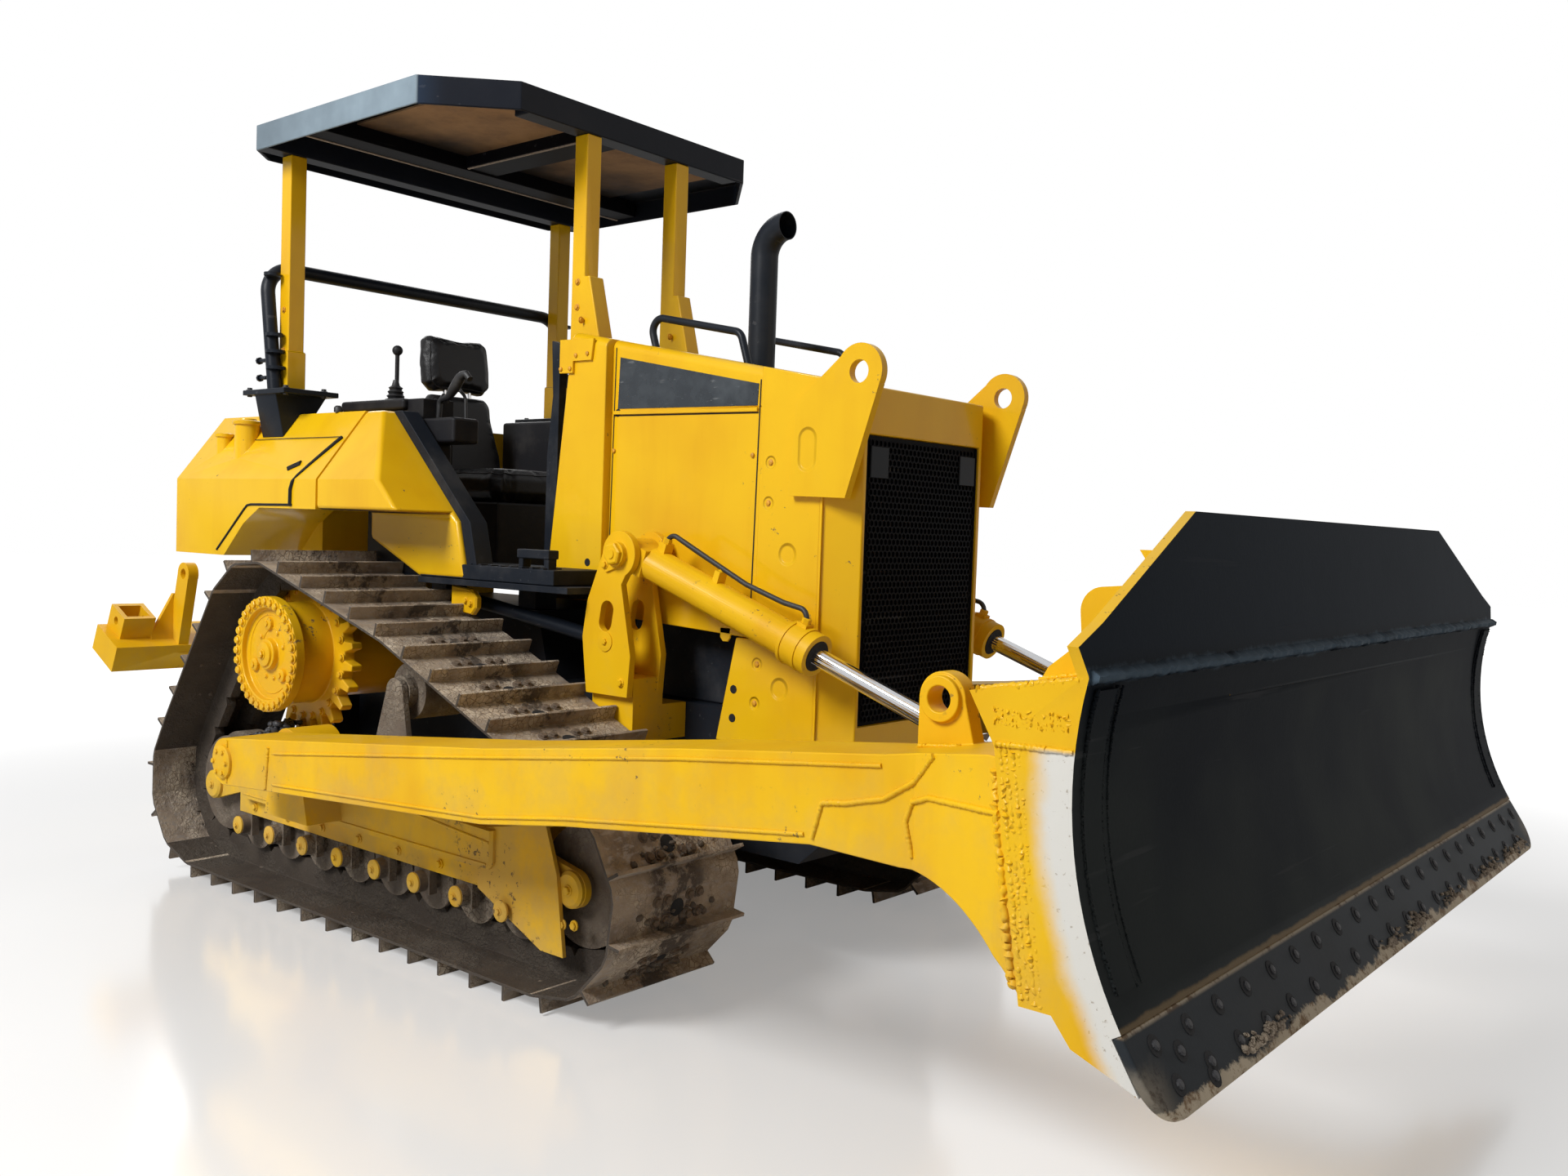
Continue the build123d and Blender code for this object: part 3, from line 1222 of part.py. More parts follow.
ARCH_R = 30
ARCH_OUTSET = 75
ARCH_HALF = POST_REAR_Y + ARCH_OUTSET
ARCH_TOP_Z = 2610
ARCH_FOOT_X = -1617
ARCH_LEAN = -91
ARCH_BEND = 120
ARCH_SINK = 20

with BuildPart() as guard_arch:
    with BuildLine() as arch_path:
        FilletPolyline(
            (ARCH_FOOT_X, ARCH_HALF, MOUNT_TOP_Z - ARCH_SINK),
            (ARCH_FOOT_X + ARCH_LEAN, ARCH_HALF, ARCH_TOP_Z),
            (ARCH_FOOT_X + ARCH_LEAN, -ARCH_HALF, ARCH_TOP_Z),
            (ARCH_FOOT_X, -ARCH_HALF, MOUNT_TOP_Z - ARCH_SINK),
            radius=ARCH_BEND,
        )
    with BuildSketch(Plane(origin=arch_path.wires()[0] @ 0, z_dir=arch_path.wires()[0] % 0)):
        Circle(ARCH_R)
    sweep(path=arch_path.wires()[0])
    with Locations((ARCH_FOOT_X, 0, MOUNT_TOP_Z - ARCH_SINK)):
        Box(4 * ARCH_R, 3 * ARCH_HALF, 2 * ARCH_SINK, mode=Mode.SUBTRACT)
guard_arch.part.label = "guard_arch"
export_step(guard_arch.part, "parts/guard_arch.step")

# Towers that carry the blade's lift cylinders beside the engine
LIFT_Y = 542
LIFT_PIN_X = 355
LIFT_PIN_Z = 1437
LIFT_PIN_R = 32
BARREL_R = 60
BARREL_SIDE_GAP = 2
TOWER_PLATE = 28
TOWER_WEB = 24
TOWER_HEAD_R = 82
TOWER_FOOT_Z = 935
TOWER_BLOCK_TOP_Z = 1000
TOWER_BEAM_Z = 770
TOWER_BEAM_OUTER_Y = 600
TOWER_REAR_X = 205
TOWER_FRONT_X = 416
TOWER_HOLE_X = 300
TOWER_HOLE_Z = 1215
TOWER_HOLE_LENGTH = 110
TOWER_HOLE_WIDTH = 64
TOWER_HOLE_TILT = 80
PIN_HEAD_R = 44
PIN_HEAD_THICK = 22
# Columns: distance ahead of the tower's rear or front foot, height over it
TOWER_BACK = ((0, 0), (-27, 200), (-5, 333))
TOWER_NOSE = ((-44, 395), (12, 147), (0, 0))
tower_back = [(TOWER_REAR_X + x, TOWER_FOOT_Z + z) for x, z in TOWER_BACK]
tower_nose = [(TOWER_FRONT_X + x, TOWER_FOOT_Z + z) for x, z in TOWER_NOSE]
tower_inner_y = LIFT_Y - BARREL_R - BARREL_SIDE_GAP
tower_outer_y = LIFT_Y + BARREL_R + BARREL_SIDE_GAP
pin_end_y = tower_outer_y + TOWER_PLATE + PIN_HEAD_THICK
tower_mid_x = (TOWER_REAR_X + TOWER_FRONT_X) / 2

with BuildPart() as cylinder_towers:
    for near_y in (tower_inner_y - TOWER_PLATE, tower_outer_y):
        for face_y in (near_y + TOWER_PLATE, -near_y):
            with BuildSketch(wall(face_y)):
                with BuildLine():
                    Polyline(
                        *tower_back,
                        (LIFT_PIN_X - TOWER_HEAD_R, LIFT_PIN_Z),
                        (LIFT_PIN_X + TOWER_HEAD_R, LIFT_PIN_Z),
                        *tower_nose,
                        close=True,
                    )
                make_face()
                with Locations((LIFT_PIN_X, LIFT_PIN_Z)):
                    Circle(TOWER_HEAD_R)
                with Locations((TOWER_HOLE_X, TOWER_HOLE_Z)):
                    SlotOverall(
                        TOWER_HOLE_LENGTH, TOWER_HOLE_WIDTH, rotation=TOWER_HOLE_TILT, mode=Mode.SUBTRACT
                    )
            extrude(amount=TOWER_PLATE)
    for face_y in (tower_outer_y + LAP, -tower_inner_y + LAP):
        with BuildSketch(wall(face_y)):
            with BuildLine():
                Polyline(
                    *tower_back,
                    *[(x + TOWER_WEB, z) for x, z in reversed(tower_back)],
                    close=True,
                )
            make_face()
        extrude(amount=tower_outer_y - tower_inner_y + 2 * LAP)
    for face_y in (pin_end_y, -tower_inner_y + TOWER_PLATE):
        with BuildSketch(wall(face_y)):
            with Locations((LIFT_PIN_X, LIFT_PIN_Z)):
                Circle(LIFT_PIN_R)
        extrude(amount=pin_end_y - tower_inner_y + TOWER_PLATE)
    for face_y in (pin_end_y, -pin_end_y + PIN_HEAD_THICK):
        with BuildSketch(wall(face_y)):
            with Locations((LIFT_PIN_X, LIFT_PIN_Z)):
                Circle(PIN_HEAD_R)
        extrude(amount=PIN_HEAD_THICK)
    for face_y in (TOWER_BEAM_OUTER_Y, -CASE_HALF):
        with BuildSketch(wall(face_y)):
            with Locations((tower_mid_x, (TOWER_BEAM_Z + FRAME_RAIL_TOP_Z) / 2)):
                Rectangle(TOWER_FRONT_X - TOWER_REAR_X, FRAME_RAIL_TOP_Z - TOWER_BEAM_Z)
        extrude(amount=TOWER_BEAM_OUTER_Y - CASE_HALF)
    for face_y in (TOWER_BEAM_OUTER_Y, -tower_inner_y + TOWER_PLATE):
        with BuildSketch(wall(face_y)):
            with Locations((tower_mid_x, (FRAME_RAIL_TOP_Z + TOWER_BLOCK_TOP_Z) / 2)):
                Rectangle(TOWER_FRONT_X - TOWER_REAR_X, TOWER_BLOCK_TOP_Z - FRAME_RAIL_TOP_Z)
        extrude(amount=TOWER_BEAM_OUTER_Y - tower_inner_y + TOWER_PLATE)
cylinder_towers.part.label = "cylinder_towers"
export_step(cylinder_towers.part, "parts/cylinder_towers.step")

# Blade: curved mouldboard on a full-width box, end plates, lugs for the lift rods
BLADE_HALF = 1615
BLADE_PLATE = 24
BLADE_FOOT_Z = 643
BLADE_WAIST_Z = 1000
BLADE_SHOULDER_Z = 1287
BLADE_TOP_Z = 1614
BLADE_FOOT_BACK = 95
BLADE_WAIST_BACK = 210
BLADE_SHOULDER_BACK = 190
BLADE_TOP_BACK = 245
BOX_BACK = 295
BLADE_FOOT = (FRONT_X - BLADE_FOOT_BACK, BLADE_FOOT_Z)
BLADE_WAIST = (FRONT_X - BLADE_WAIST_BACK, BLADE_WAIST_Z)
BLADE_SHOULDER = (FRONT_X - BLADE_SHOULDER_BACK, BLADE_SHOULDER_Z)
BLADE_TOP = (FRONT_X - BLADE_TOP_BACK, BLADE_TOP_Z)
BOX_BACK_X = FRONT_X - BOX_BACK
EDGE_TIP_Z = 490
EDGE_THICK = 22
EDGE_CORNER_R = 100
EDGE_BACKING = 110
END_PLATE = 30
# Columns: distance inside the blade's end, height over its shoulder
BLADE_CORNER = ((0, 5), (-27, 59), (81, 100))
BLADE_CREST_INSET = 609
BLADE_CROWN_LINE = (
    *[(BLADE_HALF - inset, BLADE_SHOULDER_Z + up) for inset, up in BLADE_CORNER],
    (BLADE_HALF - BLADE_CREST_INSET, BLADE_TOP_Z + OVERCUT),
)
BLADE_BEAM_FOOT_Z = 1138
BLADE_BEAM_BACK_Z = 1240
BEAM_BACK_REACH = 150
BEAM_FOOT_REACH = 90
BEAM_SINK = 80
blade_beam = (
    (BOX_BACK_X + BEAM_SINK, BLADE_SHOULDER_Z),
    (BOX_BACK_X - BEAM_BACK_REACH, BLADE_BEAM_BACK_Z),
    (BOX_BACK_X - BEAM_FOOT_REACH, BLADE_BEAM_FOOT_Z),
    (BOX_BACK_X + BEAM_SINK, BLADE_BEAM_FOOT_Z),
)
# Columns: distance ahead of the blade's box, height over the mouldboard's foot
END_PLATE_HEEL = ((-13, 0), (57, 0), (100, -53))
END_PLATE_REACH = 67
CROWN_HALF = 880
CROWN_REACH = 298
CROWN_SINK = 90
CROWN_BACK_X = BOX_BACK_X - CROWN_REACH
CROWN_FOOT_Z = 1200
CROWN_REAR_Z = 1425
CROWN_FRONT_Z = 1460
CROWN_BEND = 60
GUSSET_Y = 1350
GUSSET_THICK = 24
# Columns: distance ahead of the beam's rear corner or behind the shoulder, height over it
GUSSET_REAR = ((15, 0), (35, 35))
GUSSET_NOSE = ((40, 133), (25, -17))
TOP_GUSSET_Y = 1190
TOP_GUSSET_HEAD = 88
TOP_GUSSET_REACH = 62
TOP_GUSSET_DROP = 110
ROD_EYE_REACH = 400
ROD_EYE_X = BOX_BACK_X - ROD_EYE_REACH
ROD_EYE_Z = 800
ROD_EYE_HALF = 34
ROD_EYE_GAP = 3
ROD_LUG_THICK = 26
ROD_LUG_R = 62
ROD_LUG_NECK_X = 20
ROD_LUG_NECK_Z = 58
ROD_LUG_HEAD_RUN = 170
ROD_LUG_FOOT_RISE = 57
ROD_LUG_SINK = 40
plate_run = (BLADE_TOP[0] - BLADE_SHOULDER[0]) / (BLADE_TOP_Z - BLADE_SHOULDER_Z)
edge_length = hypot(FRONT_X - BLADE_FOOT[0], EDGE_TIP_Z - BLADE_FOOT_Z)
edge_dx = (FRONT_X - BLADE_FOOT[0]) / edge_length
edge_dz = (EDGE_TIP_Z - BLADE_FOOT_Z) / edge_length
edge_back = (BLADE_FOOT[0] + EDGE_THICK * edge_dz, BLADE_FOOT_Z - EDGE_THICK * edge_dx)
EDGE_PLANE = Plane(
    origin=(BLADE_FOOT[0], 0, BLADE_FOOT_Z), x_dir=(0, 1, 0), z_dir=(-edge_dz, 0, edge_dx)
)


def behind(point, distance=BLADE_PLATE):
    """The same (x, z) point moved back through the mouldboard's plate."""
    return point[0] - distance, point[1]


with BuildPart() as cutting_edge:
    with BuildSketch(EDGE_PLANE):
        with BuildLine():
            FilletPolyline(
                (BLADE_HALF, 0),
                (BLADE_HALF, -edge_length),
                (-BLADE_HALF, -edge_length),
                (-BLADE_HALF, 0),
                radius=EDGE_CORNER_R,
            )
            Line((-BLADE_HALF, 0), (BLADE_HALF, 0))
        make_face()
    extrude(amount=-EDGE_THICK)
cutting_edge.part.label = "cutting_edge"
export_step(cutting_edge.part, "parts/cutting_edge.step")

with BuildPart() as blade:
    with BuildSketch(wall(2 * BLADE_HALF)):
        with BuildLine():
            ThreePointArc(BLADE_FOOT, BLADE_WAIST, BLADE_SHOULDER)
            Polyline(BLADE_SHOULDER, BLADE_TOP, behind(BLADE_TOP), behind(BLADE_SHOULDER))
            ThreePointArc(behind(BLADE_SHOULDER), behind(BLADE_WAIST), behind(BLADE_FOOT))
            Line(behind(BLADE_FOOT), BLADE_FOOT)
        make_face()
    extrude(amount=4 * BLADE_HALF)
    with BuildSketch(across(BOX_BACK_X - OVERCUT)):
        with BuildLine():
            Polyline(
                (BLADE_HALF, BLADE_FOOT_Z - OVERCUT),
                *BLADE_CROWN_LINE,
                *[(-half, z) for half, z in reversed(BLADE_CROWN_LINE)],
                (-BLADE_HALF, BLADE_FOOT_Z - OVERCUT),
                close=True,
            )
        make_face()
    extrude(amount=FRONT_X - BOX_BACK_X + OVERCUT, mode=Mode.INTERSECT)
    with BuildSketch(wall(BLADE_HALF - END_PLATE)):
        with BuildLine():
            foot, waist, shoulder = [
                behind(point, BLADE_PLATE / 2) for point in (BLADE_FOOT, BLADE_WAIST, BLADE_SHOULDER)
            ]
            ThreePointArc(foot, waist, shoulder)
            Polyline(
                shoulder,
                (BOX_BACK_X, BLADE_SHOULDER_Z - 2 * SHEET),
                (BOX_BACK_X, BLADE_FOOT_Z),
                foot,
            )
        make_face()
        with BuildLine():
            Polyline(*blade_beam, close=True)
        make_face()
    extrude(amount=2 * (BLADE_HALF - END_PLATE))
    with BuildSketch(EDGE_PLANE.offset(-EDGE_THICK)):
        with Locations((0, -EDGE_BACKING / 2 + OVERCUT)):
            Rectangle(2 * (BLADE_HALF - END_PLATE), EDGE_BACKING + 2 * OVERCUT)
    extrude(amount=-BLADE_PLATE)
    for face_y in (BLADE_HALF, -BLADE_HALF + END_PLATE):
        with BuildSketch(wall(face_y)):
            with BuildLine():
                ThreePointArc(BLADE_FOOT, BLADE_WAIST, BLADE_SHOULDER)
                Polyline(
                    BLADE_SHOULDER,
                    blade_beam[1],
                    blade_beam[2],
                    (BOX_BACK_X - END_PLATE_REACH, BLADE_WAIST_Z),
                    *[(BOX_BACK_X + x, BLADE_FOOT_Z + z) for x, z in END_PLATE_HEEL],
                    (edge_back[0] + EDGE_BACKING * edge_dx, edge_back[1] + EDGE_BACKING * edge_dz),
                    edge_back,
                    BLADE_FOOT,
                )
            make_face()
        extrude(amount=END_PLATE)
    with BuildSketch(wall(CROWN_HALF)):
        with BuildLine():
            FilletPolyline(
                (BOX_BACK_X + CROWN_SINK, CROWN_FOOT_Z),
                (CROWN_BACK_X + 2 * SHEET, CROWN_FOOT_Z),
                (CROWN_BACK_X, CROWN_REAR_Z),
                (BOX_BACK_X + CROWN_BEND, CROWN_FRONT_Z),
                radius=CROWN_BEND,
            )
            Line((BOX_BACK_X + CROWN_BEND, CROWN_FRONT_Z), (BOX_BACK_X + CROWN_SINK, CROWN_FOOT_Z))
        make_face()
    extrude(amount=2 * CROWN_HALF)
    for y in (LIFT_Y, -LIFT_Y):
        for shift in (ROD_EYE_HALF + ROD_EYE_GAP + ROD_LUG_THICK, -ROD_EYE_HALF - ROD_EYE_GAP):
            with BuildSketch(wall(y + shift)):
                with BuildLine():
                    Polyline(
                        (ROD_EYE_X - ROD_LUG_NECK_X, ROD_EYE_Z + ROD_LUG_NECK_Z),
                        (ROD_EYE_X + ROD_LUG_HEAD_RUN, CROWN_FOOT_Z + SHEET),
                        (BOX_BACK_X + ROD_LUG_SINK, CROWN_FOOT_Z + SHEET),
                        (BOX_BACK_X + ROD_LUG_SINK, BLADE_FOOT_Z + ROD_LUG_FOOT_RISE),
                        (ROD_EYE_X, ROD_EYE_Z - ROD_LUG_R),
                        close=True,
                    )
                make_face()
                with Locations((ROD_EYE_X, ROD_EYE_Z)):
                    Circle(ROD_LUG_R)
                    Circle(LIFT_PIN_R, mode=Mode.SUBTRACT)
            extrude(amount=ROD_LUG_THICK)
    for y in (GUSSET_Y, -GUSSET_Y):
        with BuildSketch(wall(y + GUSSET_THICK / 2)):
            with BuildLine():
                Polyline(
                    *[(blade_beam[1][0] + x, BLADE_BEAM_BACK_Z + z) for x, z in GUSSET_REAR],
                    *[(BLADE_SHOULDER[0] - x, BLADE_SHOULDER_Z + z) for x, z in GUSSET_NOSE],
                    close=True,
                )
            make_face()
        extrude(amount=GUSSET_THICK)
    for y in (TOP_GUSSET_Y, -TOP_GUSSET_Y):
        with BuildSketch(wall(y + GUSSET_THICK / 2)):
            with BuildLine():
                head = (BLADE_TOP[0] - TOP_GUSSET_HEAD * plate_run, BLADE_TOP_Z - TOP_GUSSET_HEAD)
                Polyline(
                    (head[0] - LAP, head[1]),
                    (head[0] - TOP_GUSSET_REACH, head[1]),
                    (head[0] - TOP_GUSSET_DROP * plate_run - LAP, head[1] - TOP_GUSSET_DROP),
                    close=True,
                )
            make_face()
        extrude(amount=GUSSET_THICK)
blade.part.label = "blade"
export_step(blade.part, "parts/blade.step")

# Push arms outside the tracks, each on its trunnion, with a lug near the blade
ARM_END_R = 84
ARM_LUG_REACH = 399
ARM_LUG_X = BOX_BACK_X - ARM_LUG_REACH
ARM_LUG_Z = 1174
ARM_LUG_R = 62
ARM_LUG_BORE_R = 30
ARM_LUG_RING_R = 53
ARM_LUG_Y = 1300
ARM_LUG_THICK = 50
ARM_LUG_RING = 14
ARM_LUG_ROOT_Z = 1040
ARM_FOOT_Z = 642
ARM_FOOT_REACH = 25
ARM_HEEL_REACH = 140
ARM_HEEL_Z = 752
ARM_FLARE_REACH = 360
ARM_FLARE_END = 90
# Columns: distance behind the blade's box, height
ARM_TOP = ((1850, 886), (1070, 989), (448, 1058), (130, 1110), (0, 1110))
ARM_BOTTOM = ((395, 816), (644, 822), (1490, 720), (1850, 665))
arm_top = [(BOX_BACK_X - back, z) for back, z in ARM_TOP]
arm_bottom = [(BOX_BACK_X - back, z) for back, z in ARM_BOTTOM]

with BuildPart() as push_arm_right:
    with BuildSketch(Plane.XY.offset(BELLY_Z)):
        with BuildLine():
            Polyline(
                (TRUNNION_X - 2 * ARM_END_R, -ARM_INNER_Y),
                (TRUNNION_X - 2 * ARM_END_R, -ARM_OUTER_Y),
                (BOX_BACK_X - ARM_FLARE_REACH, -ARM_OUTER_Y),
                (BOX_BACK_X - ARM_FLARE_END, -BLADE_HALF + END_PLATE),
                (BOX_BACK_X, -BLADE_HALF + END_PLATE),
                (BOX_BACK_X, -ARM_INNER_Y),
                close=True,
            )
        make_face()
    extrude(amount=BLADE_TOP[1] - BELLY_Z)
    with BuildSketch(wall(-ARM_INNER_Y)):
        with BuildLine():
            Polyline(
                (BOX_BACK_X, ARM_FOOT_Z),
                *reversed(arm_top),
                (TRUNNION_X, TRUNNION_Z + ARM_END_R),
            )
            ThreePointArc(
                (TRUNNION_X, TRUNNION_Z + ARM_END_R),
                (TRUNNION_X - ARM_END_R, TRUNNION_Z),
                (TRUNNION_X, TRUNNION_Z - ARM_END_R),
            )
            Polyline(
                (TRUNNION_X, TRUNNION_Z - ARM_END_R),
                *reversed(arm_bottom),
            )
            heel = (BOX_BACK_X - ARM_FOOT_REACH, ARM_FOOT_Z)
            ThreePointArc(arm_bottom[0], (BOX_BACK_X - ARM_HEEL_REACH, ARM_HEEL_Z), heel)
            Line(heel, (BOX_BACK_X, ARM_FOOT_Z))
        make_face()
        with Locations((TRUNNION_X, TRUNNION_Z)):
            Circle(TRUNNION_R + PIN_CLEARANCE, mode=Mode.SUBTRACT)
    extrude(amount=BLADE_HALF - END_PLATE - ARM_INNER_Y, mode=Mode.INTERSECT)
    with BuildSketch(wall(-ARM_LUG_Y + ARM_LUG_THICK / 2)):
        with BuildLine():
            Polyline(
                (ARM_LUG_X - ARM_LUG_R, ARM_LUG_ROOT_Z),
                (ARM_LUG_X - ARM_LUG_R, ARM_LUG_Z),
                (ARM_LUG_X + ARM_LUG_R, ARM_LUG_Z),
                (ARM_LUG_X + 1.5 * ARM_LUG_R, ARM_LUG_ROOT_Z + 2 * SHEET),
                close=True,
            )
        make_face()
        with Locations((ARM_LUG_X, ARM_LUG_Z)):
            Circle(ARM_LUG_R)
    extrude(amount=ARM_LUG_THICK)
    with BuildSketch(wall(-ARM_LUG_Y + ARM_LUG_THICK / 2)):
        with Locations((ARM_LUG_X, ARM_LUG_Z)):
            Circle(ARM_LUG_RING_R)
    extrude(amount=ARM_LUG_THICK + ARM_LUG_RING)
    with BuildSketch(wall(-ARM_LUG_Y + ARM_LUG_THICK)):
        with Locations((ARM_LUG_X, ARM_LUG_Z)):
            Circle(ARM_LUG_BORE_R)
    extrude(amount=2 * ARM_LUG_THICK, mode=Mode.SUBTRACT)
push_arm_right.part.label = "push_arm_right"
export_step(push_arm_right.part, "parts/push_arm_right.step")

with BuildPart() as push_arm_left:
    mirror(push_arm_right.part, about=Plane.XZ)
push_arm_left.part.label = "push_arm_left"
export_step(push_arm_left.part, "parts/push_arm_left.step")

# Lift cylinders; their rods end short of the pin so that the linkage can be opened there
lift_length = hypot(ROD_EYE_X - LIFT_PIN_X, ROD_EYE_Z - LIFT_PIN_Z)
lift_dx = (ROD_EYE_X - LIFT_PIN_X) / lift_length
lift_dz = (ROD_EYE_Z - LIFT_PIN_Z) / lift_length
LIFT_EYE_R = 58
ROD_EYE_R = 54
BARREL_START = 92
BARREL_LENGTH = 880
BARREL_BORE_R = 46
BARREL_HEAD = 40
GLAND_R = 71
GLAND_LENGTH = 110
ROD_R = 30
PISTON_START = 354
PISTON_LENGTH = 60
EYE_NECK_HALF = 48
HOSE_BLOCK_WIDTH = 40
# Columns: distance from the pin, length along the barrel, height over its axis
HOSE_BLOCKS = ((125, 34, 92), (400, 24, 97), (800, 40, 80))
SLIDE_CLEARANCE = 0.05
LIFT_PLANE = Plane(
    origin=(LIFT_PIN_X, -LIFT_Y, LIFT_PIN_Z), x_dir=(0, 1, 0), z_dir=(lift_dx, 0, lift_dz)
)


def on_lift(along, up):
    """The (x, z) point at a distance along the lift cylinder's axis and a height over it."""
    return LIFT_PIN_X + along * lift_dx - up * lift_dz, LIFT_PIN_Z + along * lift_dz + up * lift_dx


with BuildPart() as lift_barrel_right:
    with BuildSketch(LIFT_PLANE.offset(BARREL_START)):
        Circle(BARREL_R)
    extrude(amount=BARREL_LENGTH - BARREL_START)
    with BuildSketch(LIFT_PLANE.offset(BARREL_LENGTH - GLAND_LENGTH)):
        Circle(GLAND_R)
    extrude(amount=GLAND_LENGTH)
    with BuildSketch(wall(-LIFT_Y + BARREL_R)):
        with Locations((LIFT_PIN_X, LIFT_PIN_Z)):
            Circle(LIFT_EYE_R)
        with BuildLine():
            Polyline(
                on_lift(0, EYE_NECK_HALF),
                on_lift(0, -EYE_NECK_HALF),
                on_lift(BARREL_START + LAP, -EYE_NECK_HALF),
                on_lift(BARREL_START + LAP, EYE_NECK_HALF),
                close=True,
            )
        make_face()
    extrude(amount=2 * BARREL_R)
    with BuildSketch(wall(-LIFT_Y + 2 * BARREL_R)):
        with Locations((LIFT_PIN_X, LIFT_PIN_Z)):
            Circle(LIFT_PIN_R + PIN_CLEARANCE)
    extrude(amount=4 * BARREL_R, mode=Mode.SUBTRACT)
    with BuildSketch(wall(-LIFT_Y + HOSE_BLOCK_WIDTH / 2)):
        for along, length, up in HOSE_BLOCKS:
            with BuildLine():
                Polyline(
                    on_lift(along - length / 2, BARREL_BORE_R + LAP),
                    on_lift(along + length / 2, BARREL_BORE_R + LAP),
                    on_lift(along + length / 2, up),
                    on_lift(along - length / 2, up),
                    close=True,
                )
            make_face()
    extrude(amount=HOSE_BLOCK_WIDTH)
    with BuildSketch(LIFT_PLANE.offset(BARREL_START + BARREL_HEAD)):
        Circle(BARREL_BORE_R)
    extrude(amount=BARREL_LENGTH - GLAND_LENGTH - BARREL_START - BARREL_HEAD, mode=Mode.SUBTRACT)
    with BuildSketch(LIFT_PLANE.offset(BARREL_LENGTH - GLAND_LENGTH)):
        Circle(ROD_R + SLIDE_CLEARANCE)
    extrude(amount=GLAND_LENGTH, mode=Mode.SUBTRACT)
lift_barrel_right.part.label = "lift_barrel_right"
export_step(lift_barrel_right.part, "parts/lift_barrel_right.step")

with BuildPart() as lift_barrel_left:
    mirror(lift_barrel_right.part, about=Plane.XZ)
lift_barrel_left.part.label = "lift_barrel_left"
export_step(lift_barrel_left.part, "parts/lift_barrel_left.step")

with BuildPart() as lift_rod_right:
    with BuildSketch(LIFT_PLANE.offset(PISTON_START)):
        Circle(ROD_R)
    extrude(amount=lift_length - PISTON_START)
    with BuildSketch(LIFT_PLANE.offset(PISTON_START)):
        Circle(BARREL_BORE_R - SLIDE_CLEARANCE)
    extrude(amount=PISTON_LENGTH)
    with BuildSketch(wall(-LIFT_Y + ROD_EYE_HALF)):
        with Locations((ROD_EYE_X, ROD_EYE_Z)):
            Circle(ROD_EYE_R)
    extrude(amount=2 * ROD_EYE_HALF)
    with BuildSketch(wall(-LIFT_Y + 2 * ROD_EYE_HALF)):
        with Locations((ROD_EYE_X, ROD_EYE_Z)):
            Circle(LIFT_PIN_R)
    extrude(amount=4 * ROD_EYE_HALF, mode=Mode.SUBTRACT)
lift_rod_right.part.label = "lift_rod_right"
export_step(lift_rod_right.part, "parts/lift_rod_right.step")

with BuildPart() as lift_rod_left:
    mirror(lift_rod_right.part, about=Plane.XZ)
lift_rod_left.part.label = "lift_rod_left"
export_step(lift_rod_left.part, "parts/lift_rod_left.step")

# Hose over each barrel, from the fitting at its pin end to the one on its gland
HOSE_R = 9
HOSE_END_BEND = 34
HOSE_BEND = 60
HOSE_START_RISE = 40
HOSE_END_RISE = 42
# Columns: distance from the pin, height over the barrel's axis
HOSE_MIDDLE = ((265, 118), (520, 98), (690, 105))
(hose_start, _, start_top), (hose_end, _, end_top) = HOSE_BLOCKS[0], HOSE_BLOCKS[-1]
hose_route = (
    (hose_start, start_top),
    (hose_start, start_top + HOSE_START_RISE),
    *HOSE_MIDDLE,
    (hose_end, end_top + HOSE_END_RISE),
    (hose_end, end_top),
)

with BuildPart() as lift_hose_right:
    with BuildLine() as hose_path:
        FilletPolyline(
            *[(x, -LIFT_Y, z) for x, z in (on_lift(along, up) for along, up in hose_route)],
            radius=[HOSE_END_BEND, HOSE_BEND, HOSE_BEND, HOSE_BEND, HOSE_END_BEND],
        )
    with BuildSketch(Plane(origin=hose_path.wires()[0] @ 0, z_dir=hose_path.wires()[0] % 0)):
        Circle(HOSE_R)
    sweep(path=hose_path.wires()[0])
lift_hose_right.part.label = "lift_hose_right"
export_step(lift_hose_right.part, "parts/lift_hose_right.step")

with BuildPart() as lift_hose_left:
    mirror(lift_hose_right.part, about=Plane.XZ)
lift_hose_left.part.label = "lift_hose_left"
export_step(lift_hose_left.part, "parts/lift_hose_left.step")

# Ripper: tilted beam on two arms, with shank pockets and upright lugs, and its cylinder
RIPPER_DEPTH = 230
RIPPER_HEIGHT = 130
RIPPER_TILT = 25
RIPPER_HALF = 1050
RIPPER_Z = 870
ripper_c, ripper_s = cos(radians(RIPPER_TILT)), sin(radians(RIPPER_TILT))
RIPPER_X = REAR_X + (RIPPER_DEPTH * ripper_c + RIPPER_HEIGHT * ripper_s) / 2
RIPPER_LUG_INSET = 295
RIPPER_LUG_X = REAR_X + RIPPER_LUG_INSET
RIPPER_LUG_Z = 1230
RIPPER_LUG_R = 55
RIPPER_BORE_R = 25
RIPPER_LUG_Y = 730
RIPPER_PLATE = 50
POCKET_Y = 930
POCKET_SIZE = 150
POCKET_WALL = 22
POCKET_TOP = 110
POCKET_PIN_R = 20
POCKET_PIN_UP = 60
RIPPER_GUSSET_THICK = 24
RIPPER_GUSSET_RUN = 130
RIPPER_GUSSET_TOP_Z = 1130
RIPPER_ARM_HALF = 58
RIPPER_ARM_END_R = 62
